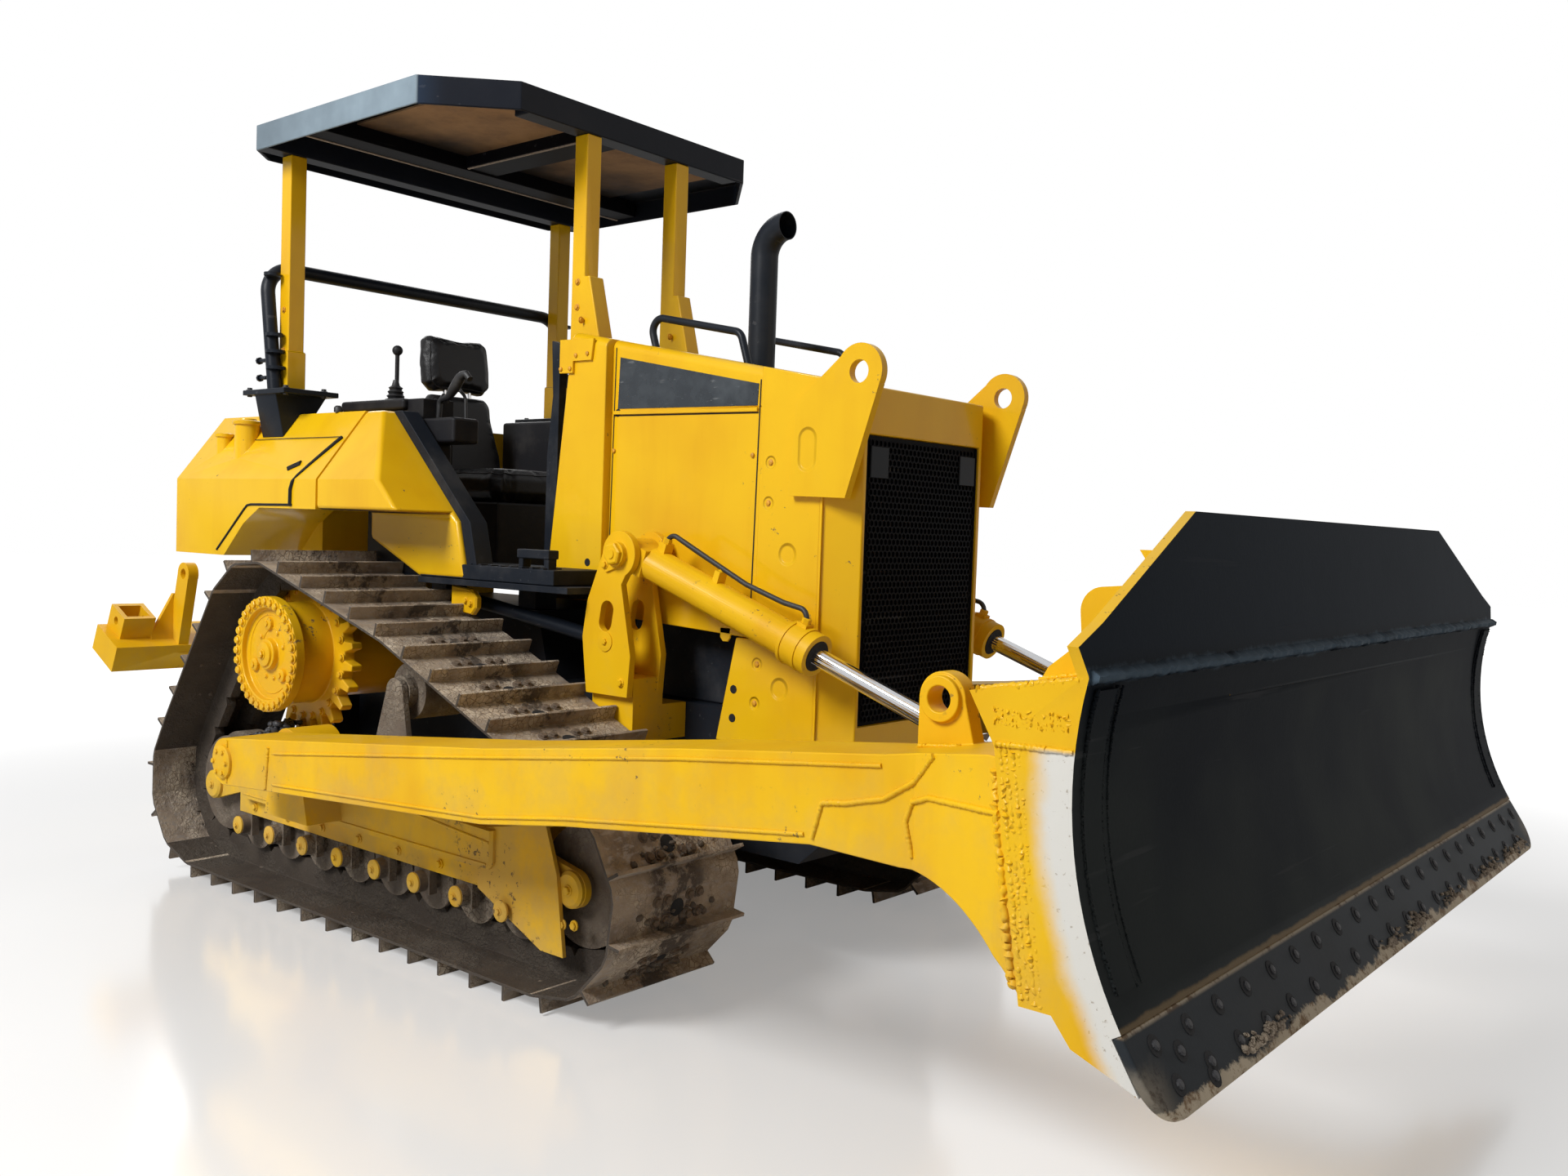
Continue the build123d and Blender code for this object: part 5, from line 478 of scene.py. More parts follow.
# The mouldboard's front, seen from the side, is an arc through these (height, forward) points
ARC = np.array([(0.643, 2.760), (0.80, 2.676), (1.0, 2.645), (1.15, 2.6475), (1.287, 2.665)])
ARC_FIT = np.polyfit(ARC[:, 0], ARC[:, 1], 2)
ARC_TOP_Z, ARC_TOP_X, TOP_PLATE_SLOPE = 1.287, 2.665, 0.168
SIDE_BOARD_Y = 0.896  # the canopy's side boards start here


def behind_front(m):
    """Distance behind the mouldboard's front: a parabola in height, less the point's own x."""
    square, slope, start = ARC_FIT
    return m.z * m.z * square + m.z * slope + start - m.x


def worn_strip(m, colour):
    """The end plates' front edge, rubbed down to pale primer with a soft sprayed border."""
    ragged = m.noise(14.0, 5.0, 0.6) * 0.035
    strip = 1 - (behind_front(m) + ragged).between(0.055, 0.115)
    strip = strip * m.y.size().between(1.598, 1.604) * (1 - m.z.between(1.138, 1.150))
    pits = m.noise(75.0, 4.0, 0.7).between(0.62, 0.68)
    pale = m.mix(pits * 0.7, (0.66, 0.645, 0.60), (0.30, 0.24, 0.17))
    return m.mix(strip, colour, pale)


def painted_reflections_and_rust(m, colour):
    """Painted sky reflection: a blue-grey band along the seam at shoulder height and a bluer top
    plate. Paler grey clouds lower down, and rust along the blade's foot.
    """
    ragged = m.noise(9.0, 5.0, 0.65) * 0.05
    # Painted sky reflection: a blue-grey band along the ledge, then a bluer top plate.
    seam = 1 - ((m.z - 1.290).size() + ragged - 0.025).between(0.004, 0.022)
    colour = m.mix(seam * 0.55, colour, (0.115, 0.165, 0.215))
    upper = m.z.between(1.27, 1.35)
    colour = m.mix(upper * 0.5, colour, (0.010, 0.0165, 0.026))
    # Paler grey clouds on the plate below the ledge.
    pale_clouds = (m.noise(1.1, 3.0) + m.z * 0.12).between(0.50, 0.72) * (1 - m.z.between(1.1, 1.26))
    colour = m.mix(pale_clouds * 0.45, colour, (0.040, 0.046, 0.042))
    foot = 1 - (m.z + ragged * 0.3).between(0.656, 0.664)
    return m.mix(foot * 0.7, colour, (0.250, 0.180, 0.100))


def painted_sky_reflection(m, colour):
    """The canopy's side boards in a pale blue-grey, in cloudy drifts: a painted reflection of the sky."""
    board = m.y.size().between(SIDE_BOARD_Y, SIDE_BOARD_Y + 0.006)
    drifts = m.noise(3.0, 4.0).between(0.2, 0.9) * 0.5 + 0.5
    corner = (m.x * 0.5 + m.y.size()).between(0.60, 0.66) * (1 - board)
    colour = m.mix(corner * m.x.between(-0.56, -0.53) * 0.8, colour, (0.022, 0.040, 0.075))
    # Painted sky reflection on the side boards.
    return m.mix(board * drifts, colour, (0.27, 0.345, 0.40))


def edge_mud(m, colour):
    """Clay and rust on the cutting edge: along its tip, on its lower corners and on its seam."""
    ragged = m.noise(5.0, 8.0, 0.75) * 0.11
    low = 1 - (m.z + ragged).between(0.558, 0.568)
    ends = m.y.size().between(1.50, 1.62) * (1 - (m.z + ragged).between(0.60, 0.66))
    clods = m.noise(18.0, 7.0, 0.75)
    clay = m.mix(clods.between(0.48, 0.60), (0.52, 0.44, 0.325), (0.20, 0.125, 0.065))
    seam = m.z.between(0.632, 0.640) * 0.7
    return m.mix(low.most(ends * 0.35).most(seam), colour, clay)


def pressed(*marks):
    """Bump height of dimples (x, z, half width, half height): the least of their flat edges."""

    def height(m):
        level = None
        for x, z, wide, tall in marks:
            up = ((m.z - z).size() - max(0.0, tall - wide)).most(0.0)
            out = ((m.x - x) * (m.x - x) + up * up) / (wide * wide)
            flat = out.between(0.45, 1.0)
            level = level.least(flat) if level else flat
        return level

    return height


# Pressed marks in the guard's sides: round the bolts, and larger ones between them
BOLT_DIMPLES = [(0.866, 1.630), (0.871, 1.767), (0.839, 1.081), (0.833, 0.946)]
DIMPLES = [(0.957, 1.460), (0.941, 1.006)]
guard_marks = [(x, z, 0.024, 0.024) for x, z in BOLT_DIMPLES] + [(x, z, 0.040, 0.040) for x, z in DIMPLES]

sheet_yellow = yellow_paint("yellow_sheet")
frame_yellow = yellow_paint("yellow_frame", 0.10, 0.20, 0.63, 0.42, welds=0.2, coat=0.08)
track_yellow = yellow_paint("yellow_undercarriage", 0.12, 0.22, 0.59, 0.46, welds=0.35, coat=0.05)
drive_yellow = yellow_paint("yellow_drives", 0.10, 0.10, 0.60, 0.42, welds=0.2)
satin_black = black_paint("black_satin", 0.10)
roof_black = black_paint("black_canopy", 0.04, 0.42, tint=(0.008, 0.010, 0.016), over=painted_sky_reflection, shine=0.12)
deck_black = black_paint("black_deck", 0.22, 0.5, scale=2.0, shine=0.15)
grille_black = black_paint("black_grille", 0.0, 0.5, tint=(0.0035, 0.0035, 0.005), shine=0.05)
shoe_steel = muddy_steel("muddy_shoes", bare=0.45, soil=0.85)
# The rollers' and idlers' steel is mixed half-way to near black: painted shade, over the mud.
wheel_steel_painted_shade = muddy_steel("muddy_wheels_painted_shade", bare=0.20, shade=0.55)
# The chain's steel is mixed nearly all the way to black: painted shade inside the track.
chain_steel_painted_shade = muddy_steel("muddy_chain_painted_shade", bare=0.15, shade=0.90)
wet_soil = muddy_steel("wet_soil", shade=0.72)
clay_crumbs = muddy_steel("clay_crumbs")


def painted_shade_arch():
    """Fender undersides, painted dark as painted shade: nearly black further back, dark orange with clay
    blots at the front.
    """
    m = Finish("fender_underside", Specular_IOR_Level=0.15)
    ahead_of_painted_shade = (m.x + m.noise(2.5, 5.0, 0.6) * 0.4).between(-0.62, -0.25)
    blot = m.noise(6.0, 6.0, 0.7).between(0.35, 0.7)
    clay = m.mix(blot, (0.50, 0.235, 0.012), (0.24, 0.115, 0.020))
    # Painted shade: the underside is dark orange at the front and nearly black further back.
    m.set(Base_Color=m.mix(ahead_of_painted_shade, (0.045, 0.026, 0.014), clay), Roughness=0.60 + blot * 0.2)
    return m.made


arch_painted_shade = painted_shade_arch()
guard_yellow = yellow_paint("yellow_guard", ground=0.1, dents=pressed(*guard_marks))
ear_yellow = yellow_paint("yellow_ears", dents=pressed((1.050, 1.807, 0.040, 0.075)))
blade_yellow = yellow_paint("yellow_blade", 0.08, 0.16, 0.63, 0.40, welds=0.3, over=worn_strip, coat=0.12)
front_black = black_paint(
    "black_mouldboard", 0.04, 0.46, scale=0.7, tint=(0.0080, 0.0105, 0.0140), over=painted_reflections_and_rust, shine=0.02
)
edge_black = black_paint("black_edge", 0.16, 0.46, tint=(0.012, 0.017, 0.022), over=edge_mud, shine=0.08)
print("paints:", len(bpy.data.materials))

# %% [markdown]
# ## Steel, rubber, vinyl and plastic
# Small areas, but the eye tests a machine by them: a polished rod, a ribbed black hose, a seat
# with grained vinyl, dark moulded consoles. Each gets its own grain at its own scale.

# %% Other finishes


def chrome():
    """Polished rod: nearly a mirror, with a haze of fine scratches."""
    m = Finish("rod_chrome", Metallic=1.0, Base_Color=(0.86, 0.87, 0.89))
    scratches = m.noise(240.0, 2.0)
    m.set(Roughness=0.09 + scratches * 0.09, Normal=m.bump(scratches, 0.0002, 0.3))
    return m.made


def bolt_metal(name, colour, rough=0.45):
    """Small metal parts: one colour, worn darker in fine spots."""
    m = Finish(name)
    worn = m.noise(85.0, 4.0, 0.6)
    m.set(
        Base_Color=m.mix(worn.between(0.4, 0.75), colour, tuple(c * 0.55 for c in colour)),
        Roughness=rough + worn * 0.2,
        Normal=m.bump(worn, 0.0015, 0.5),
    )
    return m.made


def hose_rubber():
    """Black hose: a fine woven cover with dust in it."""
    m = Finish("hose_rubber")
    weave = m.cells(420.0)
    dusty = m.noise(20.0, 4.0).between(0.5, 0.8) * 0.25
    m.set(
        Base_Color=m.mix(dusty, (0.013, 0.013, 0.014), (0.16, 0.14, 0.11)),
        Roughness=0.48 + dusty,
        Normal=m.bump(weave, 0.0006, 0.6),
    )
    return m.made


def seat_vinyl():
    """Grained black vinyl with slow, drawn-out folds."""
    m = Finish("seat_vinyl", Specular_IOR_Level=0.28)
    grain = m.cells(330.0, "SMOOTH_F1") + m.noise(900.0, 2.0) * 0.2
    folds = m.noise(7.0, 3.0, at=m.stretched((1.0, 0.35, 1.0)))
    dusty = m.noise(6.0, 5.0).between(0.5, 0.8) * 0.10
    m.set(
        Base_Color=m.mix(dusty, (0.0075, 0.0075, 0.0085), (0.08, 0.075, 0.07)),
        Roughness=0.36 + grain * 0.10 + dusty,
        Normal=m.bump(grain * 0.6 + folds * 1.6, 0.0016, 0.7),
    )
    return m.made


def moulded_plastic():
    """Black plastic with a leather grain and a little dust."""
    m = Finish("panel_plastic", Specular_IOR_Level=0.2)
    leather = m.cells(260.0)
    dusty = m.noise(9.0, 5.0).between(0.45, 0.8) * 0.12
    m.set(
        Base_Color=m.mix(dusty, (0.010, 0.010, 0.012), (0.15, 0.135, 0.115)),
        Roughness=0.5 + dusty * 0.6,
        Normal=m.bump(leather, 0.0007, 0.5),
    )
    return m.made


rod_chrome = chrome()
rubber = hose_rubber()
vinyl = seat_vinyl()
plastic = moulded_plastic()
yellow_bolts = bolt_metal("bolts_painted", (0.70, 0.33, 0.012))
dark_bolts = bolt_metal("bolts_dark", (0.030, 0.030, 0.034))
muddy_bolts = bolt_metal("bolts_muddy", (0.13, 0.092, 0.062), 0.7)
dark_gap = bolt_metal("gap_shadow", (0.006, 0.006, 0.007), 0.8)
print("materials:", len(bpy.data.materials))

# %% [markdown]
# ## Softened copies of the CAD nodes
# No pressed or welded part has a razor edge, and a highlight on a small round is what makes a
# render look like metal. The CAD mesh is loose triangles, so a copy has its doubles merged and
# its flat faces joined, and then a live Bevel rounds it. The copy stands for the node.

# %% Copy, merge and bevel


def softened(node, material, bevel):
    """A merged copy of a CAD node with rounded edges, standing for the node."""
    work = bmesh.new()
    work.from_mesh(nodes[node].data)
    bmesh.ops.remove_doubles(work, verts=work.verts, dist=1e-5)
    bmesh.ops.dissolve_limit(work, angle_limit=np.radians(1.0), verts=work.verts, edges=work.edges)
    mesh = bpy.data.meshes.new(node + "_dressed")
    work.to_mesh(mesh)
    work.free()
    mesh.materials.clear()
    mesh.materials.append(material)
    mesh.shade_smooth()
    mesh.set_sharp_from_angle(angle=np.radians(28))
    copy = bpy.data.objects.new(node + "_dressed", mesh)
    bpy.context.scene.collection.objects.link(copy)
    if bevel:
        rounded(copy, bevel)
    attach(copy, nodes[node]["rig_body"])
    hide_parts(node)
    return copy


# Each node's finish and bevel in metres; a star stands for right and left
DRESS = {
    "main_frame": (satin_black, 0.006),
    "engine": (deck_black, 0.010),
    "roller_frame_*": (track_yellow, 0.006),
    "track_*": (shoe_steel, 0.0025),
    "track_rollers_*": (wheel_steel_painted_shade, 0.005),
    "final_drive_*": (drive_yellow, 0.006),
    "bonnet": (sheet_yellow, 0.004),
    "engine_side_panels": (sheet_yellow, 0.004),
    "radiator_guard": (guard_yellow, 0.008),
    "lifting_ears": (ear_yellow, 0.004),
    "exhaust_stack": (satin_black, 0.0),
    "bonnet_handrails": (satin_black, 0.0),
    "cowl": (sheet_yellow, 0.005),
    "instrument_panel": (plastic, 0.008),
    "operator_deck": (deck_black, 0.004),
    "seat_base": (plastic, 0.012),
    "control_consoles": (plastic, 0.006),
    "fuel_tank": (sheet_yellow, 0.018),
    "fender_*": (sheet_yellow, 0.018),
    "canopy_roof": (roof_black, 0.008),
    "canopy_posts": (sheet_yellow, 0.005),
    "rear_post_mounts": (satin_black, 0.004),
    "guard_arch": (satin_black, 0.0),
    "cylinder_towers": (frame_yellow, 0.004),
    "blade": (blade_yellow, 0.004),
    "cutting_edge": (edge_black, 0.005),
    "push_arm_*": (frame_yellow, 0.010),
    "lift_barrel_*": (frame_yellow, 0.003),
    "lift_rod_*": (rod_chrome, 0.0),
    "lift_hose_*": (rubber, 0.0),
    "ripper_beam": (frame_yellow, 0.006),
    "ripper_barrel": (frame_yellow, 0.003),
    "ripper_rod": (rod_chrome, 0.0),
}
dressed = {}
for star, how in DRESS.items():
    for name in dict.fromkeys(star.replace("*", word) for _, word in SIDES):
        dressed[name] = softened(name, *how)
print("softened:", len(dressed))

# %% [markdown]
# ## Second colours on one piece
# A blade is yellow with a black front, a fender's underside is painted dark as painted shade, with
# clay stains, and the frame round the carrier roller is painted dark as painted shade. One casting
# carries both finishes, so its copy gets a second material, and a short rule on a face's middle and
# direction says which faces take it.

# %% Faces with a second material


def repaint(obj, material, chosen):
    """Gives the faces for which chosen(centre, normal) holds a second material."""
    obj.data.materials.append(material)
    second = [chosen(face.center, face.normal) for face in obj.data.polygons]
    obj.data.polygons.foreach_set("material_index", np.array(second, np.int32))
    print(obj.name, "faces:", len(second), "in the second material:", sum(map(int, second)))


def arc_x(z):
    """Forward place of the mouldboard's front: a parabola in height, then a straight top plate."""
    top_plate = ARC_TOP_X - TOP_PLATE_SLOPE * (z - ARC_TOP_Z)
    return np.where(z < ARC_TOP_Z, np.polyval(ARC_FIT, z), top_plate)


def on_mouldboard(centre, normal):
    return normal.x > 0.3 and abs(centre.x - arc_x(centre.z)) < 0.012


def underneath(centre, normal):
    return normal.z < -0.15


def by_carrier_roller(centre, normal):
    return centre.z > 0.63 and -0.55 < centre.x < -0.18


repaint(dressed["blade"], front_black, on_mouldboard)
for _, word in SIDES:
    repaint(dressed["fender_" + word], arch_painted_shade, underneath)
    # The frame round the carrier roller takes the darkened wheel steel: painted shade.
    repaint(dressed["roller_frame_" + word], wheel_steel_painted_shade, by_carrier_roller)

# %% [markdown]
# ## Blade: ledge, side strips, weld beads and plow bolts
# The blade of such a machine is a curved plate with a straight top plate welded on. Where they
# meet there is a rough ledge. Worn blades also carry strips welded down both ends. A bump map
# would leave their outline straight, so the heavy beads between the box, the end plates and the
# push arms are real tubes whose radius ripples along a path. Square-necked plow bolts hold the
# cutting edge, and clay clings along its tip.

# %% Ledge and strips


def swept_y(section, y, tremor=0.0):
    """A closed (x, z) section carried along Y through every value of y, with a hand tremor."""
    section, y = np.array(section, float), np.array(y, float)
    shift = rng.normal(0, 1, (len(y), 1, 2)) * tremor
    grid = section[None] + shift
    points = np.stack([grid[..., 0], np.broadcast_to(y[:, None], grid.shape[:2]), grid[..., 1]], -1)
    return points.reshape(-1, 3), ring_faces(len(y), len(section))


LEDGE = [(2.650, 1.303), (2.668, 1.302), (2.683, 1.292), (2.681, 1.281), (2.668, 1.274), (2.650, 1.276)]
ledge = swept_y(LEDGE, np.linspace(-1.606, 1.606, 240), 0.0016)
strip_z, seam_z = np.linspace(0.70, 1.262, 26), np.linspace(0.70, 1.265, 40)
strips = []
for side in (-1, 1):
    outer, inner = side * 1.575, side * 1.500
    x = arc_x(strip_z)
    corners = [(x - 0.004, outer), (x + 0.007, outer), (x + 0.007, inner), (x - 0.004, inner)]
    grid = np.stack([np.stack([cx, 0 * cx + cy, strip_z], -1) for cx, cy in corners], 1)
    strips.append((grid.reshape(-1, 3), ring_faces(len(strip_z), 4)))
for side in (-1, 1):
    for y, bead in ((1.497, 0.006), (1.577, 0.006), (1.470, 0.004)):
        seam = np.column_stack([arc_x(seam_z) + 0.003, np.full(len(seam_z), side * y), seam_z])
        strips.append(weld(seam, bead, 0.5))
piece("blade_ledge_and_strips", joined(ledge, *strips), front_black, "blade_assembly", smooth=50)

# %% Weld beads on the blade's end plates
PLATE_REAR = [(2.474, -1.615, 1.132), (2.495, -1.615, 1.000), (2.520, -1.615, 0.820), (2.546, -1.615, 0.652)]
beads = []
for shift, bead in ((0.008, 0.0085), (0.022, 0.0075), (0.037, 0.0080), (0.050, 0.0060)):
    beads.append(weld(np.array(PLATE_REAR) + [shift, 0.004, 0], bead, 0.55))
beads.append(weld([(2.474, -1.615, 1.142), (2.640, -1.615, 1.146)], 0.007))
for z in (1.184, 1.193, 1.203, 1.211):
    stroke = [(2.470, -1.613, z), (2.530, -1.612, z - 0.005), (2.632, -1.613, z + 0.003)]
    beads.append(weld(stroke, 0.0052, 0.9))
beads.append(weld([(2.425, -1.608, 1.243), (2.655, -1.608, 1.284)], 0.009, 0.35))
beads.append(weld([(2.425, -1.362, 1.246), (2.640, -1.362, 1.290)], 0.007))
piece("blade_welds", both_sides(joined(*beads)), blade_yellow, "blade_assembly", smooth=60)

print("weld beads a side:", len(beads))

# %% Plow bolts and clay on the cutting edge
EDGE_TOP, EDGE_TIP = np.array([2.760, 0.643]), np.array([2.855, 0.490])
EDGE_RUN = (EDGE_TIP - EDGE_TOP) / np.linalg.norm(EDGE_TIP - EDGE_TOP)
edge_out = np.array([-EDGE_RUN[1], 0, EDGE_RUN[0]])


def on_edge(down, y):
    """Points on the cutting edge: its top line, then a way down its face, at each y."""
    return np.column_stack([EDGE_TOP[0] + down * EDGE_RUN[0], y, EDGE_TOP[1] + down * EDGE_RUN[1]])


BOLT_STEP = 0.1524
upper, lower = np.arange(-1.52, 1.53, BOLT_STEP), np.arange(-1.50, 1.53, BOLT_STEP)
rows = ((0.045, upper), (0.125, lower), (0.078, [-1.44]), (0.150, [-1.36]), (0.078, [1.44]), (0.150, [1.36]))
plow_spots = np.concatenate([on_edge(np.full(len(y), down), y) for down, y in rows])
socket = turned([(0.022, -0.002), (0.0215, 0.0015), (0.016, 0.0018)], 14)
head = turned([(0.011, 0.0), (0.0105, 0.005), (0.006, 0.008)], 10)
# The wide dark disc under each head is painted shade in its recess.
piece("plow_bolt_sockets", placed(socket, plow_spots, edge_out), dark_gap, "blade_assembly")
piece("plow_bolts", placed(head, plow_spots, edge_out), dark_bolts, "blade_assembly")

CLODS = 420
nests = rng.uniform(-1.55, 1.55, 14)
clod_y = rng.choice(nests, CLODS) + rng.normal(0, 0.045, CLODS)
clods = on_edge(0.157 - np.abs(rng.normal(0, 0.014, CLODS)), clod_y) + edge_out * 0.003
clods = clods[np.abs(clod_y) < 1.56]
crumbs = lumps(clods, rng.uniform(0.003, 0.008, len(clods)))
piece("edge_clay", crumbs, clay_crumbs, "blade_assembly", smooth=60)
print("plow bolts:", len(plow_spots), "clods:", len(clods))

# %% [markdown]
# ## Push arms
# Each arm is a box of thick plates, and its welds show as raised lines: along the top and bottom
# plates, by the trunnion, where the flared end begins, and round the doubler plate at the blade.
# The lines are drawn in (x, z) and then laid on the arm's face, which flares out at its front.

# %% Push arms


def arm_side(x):
    """Outer face of the right arm: straight, then flared out towards the blade's end plate."""
    return -np.interp(x, [2.20, 2.47, 2.56], [1.480, 1.585, 1.585])


def on_arm(points, lift=0.001):
    """(x, z) points carried out to the arm's outer face."""
    points = np.array(points, float)
    return np.column_stack([points[:, 0], arm_side(points[:, 0]) - lift, points[:, 1]])


ARM_TOP = [(-0.42, 0.745), (0.71, 0.886), (1.49, 0.989), (2.112, 1.058)]
ARM_FOOT = [(-0.42, 0.590), (0.71, 0.665), (1.07, 0.720), (1.90, 0.822)]
FLARE = [(2.262, 1.078), (2.20, 1.010), (2.12, 0.960), (2.02, 0.935), (1.95, 0.925), (1.925, 0.840)]
DOUBLER = [(2.47, 1.000), (2.25, 0.985), (2.195, 0.965), (2.180, 0.920), (2.200, 0.845)]
BLADE_SEAM = [(2.452, 1.085), (2.465, 0.98), (2.490, 0.82), (2.515, 0.665)]
LUG_FOOT = [(2.112, -1.262, 1.062), (2.215, -1.262, 1.074), (2.215, -1.338, 1.074), (2.112, -1.338, 1.062)]
arm_welds = joined(
    weld(on_arm(np.array(ARM_TOP) - [0, 0.026]), 0.0055, 0.12),
    weld(on_arm(np.array(ARM_FOOT) + [0, 0.022]), 0.0055, 0.12),
    weld(on_arm([(-0.47, 0.585), (-0.455, 0.735)]), 0.007, 0.2),
    weld(on_arm([(-0.735, 0.575), (-0.735, 0.725)]), 0.006, 0.2),
    weld(on_arm(FLARE), 0.007, 0.15),
    weld(on_arm(DOUBLER), 0.007, 0.15),
    weld(on_arm(BLADE_SEAM, -0.002), 0.012, 0.45),
    weld(LUG_FOOT, 0.006),
)
cap = turned([(0.060, 0.0), (0.060, 0.010), (0.050, 0.016), (0.020, 0.017)], 28)
six = np.arange(6) * np.pi / 3
for side, word in SIDES:
    shape = (arm_welds[0] * [1, -side, 1], arm_welds[1])
    piece("push_arm_welds_" + word, shape, frame_yellow, "blade_assembly", smooth=60)
for side, word in SIDES:
    out = (0, side, 0)
    around = ring_at(np.array([-0.760, side * 1.494, 0.645]), 0.042, six)
    shape = joined(placed(cap, [(-0.760, side * 1.480, 0.645)], out), placed(bolt(0.009, 0.009), around, out))
    piece("trunnion_cap_" + word, shape, track_yellow, "tractor")
print("arm weld points:", len(arm_welds[0]))

# %% [markdown]
# ## Undercarriage
# Bolt heads, roller caps and dried mud give a crawler track its scale. The shoes are placed as a
# drive chain is: a belt is drawn tight round the wheels and pins are set along it one pitch
# apart, so the bolts sit on the shoes of the CAD track. Faces inside that loop belong to the
# chain, which is painted darker than the shoes as painted shade. The frame under it has a long guard
# beam, and gravel gathers below the sprocket. One function makes each kind of piece, for either side.

# %% Chain
PITCH, SHOES, TEETH = 0.1715, 39, 23
PIN_OVER_RAIL, ROLLER_R = 0.052, 0.147


def pin_circle(rail):
    """Pins ride on this radius when the flat rail of a link lies on a round wheel."""
    return np.hypot(rail + PIN_OVER_RAIL, PITCH / 2)


REAR_IDLER_X, FRONT_IDLER_X, IDLER_Z = -1.660, 0.620594, 0.376
ROLLER_X, ROLLER_Z = -1.370 + 0.243 * np.arange(8), 0.255
DRIVE_X, DRIVE_Z = -1.185, 0.975
WHEELS = np.array([
    (REAR_IDLER_X, IDLER_Z, pin_circle(0.200)),
    (ROLLER_X[0], ROLLER_Z, ROLLER_R),
    (ROLLER_X[-1], ROLLER_Z, ROLLER_R),
    (FRONT_IDLER_X, IDLER_Z, pin_circle(0.200)),
    (-0.360, 0.905, 0.156),
    (DRIVE_X, DRIVE_Z, PITCH / (2 * np.sin(2 * np.pi / TEETH))),
])


def belt_path(wheels):
    """A tight belt round (x, z, radius) wheels, anticlockwise: it leaves each wheel where the
    outer tangent to the next one touches, at the run's own angle less arccos(radii's difference
    over distance), and between two tangents it follows the wheel's arc."""
    ahead_of = np.roll(wheels, -1, axis=0)
    run = ahead_of - wheels
    leave = np.arctan2(run[:, 1], run[:, 0]) - np.arccos(
        (wheels[:, 2] - ahead_of[:, 2]) / np.hypot(run[:, 0], run[:, 1])
    )
    points = []
    for i, (x, z, r) in enumerate(wheels):
        first = leave[i - 1]
        turn = (leave[i] - first + 1e-9) % (2 * np.pi)
        angles = first + np.linspace(0, turn, 60)
        points.append(np.column_stack([x + r * np.cos(angles), z + r * np.sin(angles)]))
    return np.concatenate([*points, points[0][:1]])


belt = belt_path(WHEELS)
run = np.r_[0, np.cumsum(np.linalg.norm(np.diff(belt, axis=0), axis=1))]
pin_at = (0.070 + run[-1] / SHOES * np.arange(SHOES)) % run[-1]
pins = np.column_stack([np.interp(pin_at, run, belt[:, 0]), np.interp(pin_at, run, belt[:, 1])])
along = np.roll(pins, -1, axis=0) - pins
along /= np.linalg.norm(along, axis=1)[:, None]
outward = np.column_stack([along[:, 1], -along[:, 0]])
print("belt length:", round(float(run[-1]), 4), "pitch:", round(float(run[-1] / SHOES), 4))


def within(loop, spots):
    """Which (x, z) spots lie inside a closed loop, by counting the sides that a ray crosses."""
    a, b = loop[:, None], np.roll(loop, -1, axis=0)[:, None]
    crosses = (a[..., 1] > spots[:, 1]) != (b[..., 1] > spots[:, 1])
    slope = (b[..., 0] - a[..., 0]) / np.where(b[..., 1] == a[..., 1], 1e-12, b[..., 1] - a[..., 1])
    return (crosses & (spots[:, 0] < a[..., 0] + slope * (spots[:, 1] - a[..., 1]))).sum(0) % 2 == 1


def on_shoes(share, y, out=0.0615):
    """A point on every shoe: a share of the pitch from its rear pin, at y from the chain."""
    at = pins + along * share * PITCH + outward * out
    return np.column_stack([at[:, 0], np.full(SHOES, y), at[:, 1]])


# %% Faces of the chain, bolts and mud on the shoes
shoe_out = np.column_stack([outward[:, 0], np.zeros(SHOES), outward[:, 1]])
under_shoes = (pins + np.roll(pins, -1, axis=0)) / 2 + outward * 0.0545
for _, word in SIDES:
    track = dressed["track_" + word].data
    centres = np.array([face.center for face in track.polygons])
    inside = within(under_shoes, centres[:, [0, 2]])
    # The faces inside the loop take the chain's painted shade.
    track.materials.append(chain_steel_painted_shade)
    track.polygons.foreach_set("material_index", inside.astype(np.int32))
    print("track", word, "faces:", len(inside), "of the chain:", int(inside.sum()))

MUD_LAYERS = 20
hole = turned([(0.030, 0.0), (0.029, 0.001)], 12)
for side, word in SIDES:
    middle = side * TRACK_Y
    four = [(share, off) for share in (0.42, 0.80) for off in (-0.094, -0.050, 0.050, 0.094)]
    heads = [placed(bolt(0.0135, 0.012), on_shoes(share, middle + off), shoe_out) for share, off in four]
    piece("shoe_bolts_" + word, joined(*heads), muddy_bolts, "tractor", smooth=30)
    # A dark disc on each shoe is painted shade in its hole.
    piece("shoe_holes_" + word, placed(hole, on_shoes(0.60, middle), shoe_out), dark_gap, "tractor")
    mud_at = []
    for _ in range(MUD_LAYERS):
        across = rng.normal(0, 0.085, SHOES)
        share = rng.uniform(0.25, 0.60, SHOES) * PITCH
        drift = np.column_stack([along[:, 0] * share, across, along[:, 1] * share])
        mud_at.append(on_shoes(0.0, middle) + drift)
    mud_at = np.concatenate(mud_at)
    mud = lumps(mud_at, rng.uniform(0.004, 0.018, len(mud_at)))
    piece("shoe_mud_" + word, mud, wet_soil, "tractor", smooth=70)

# %% Rollers and drives


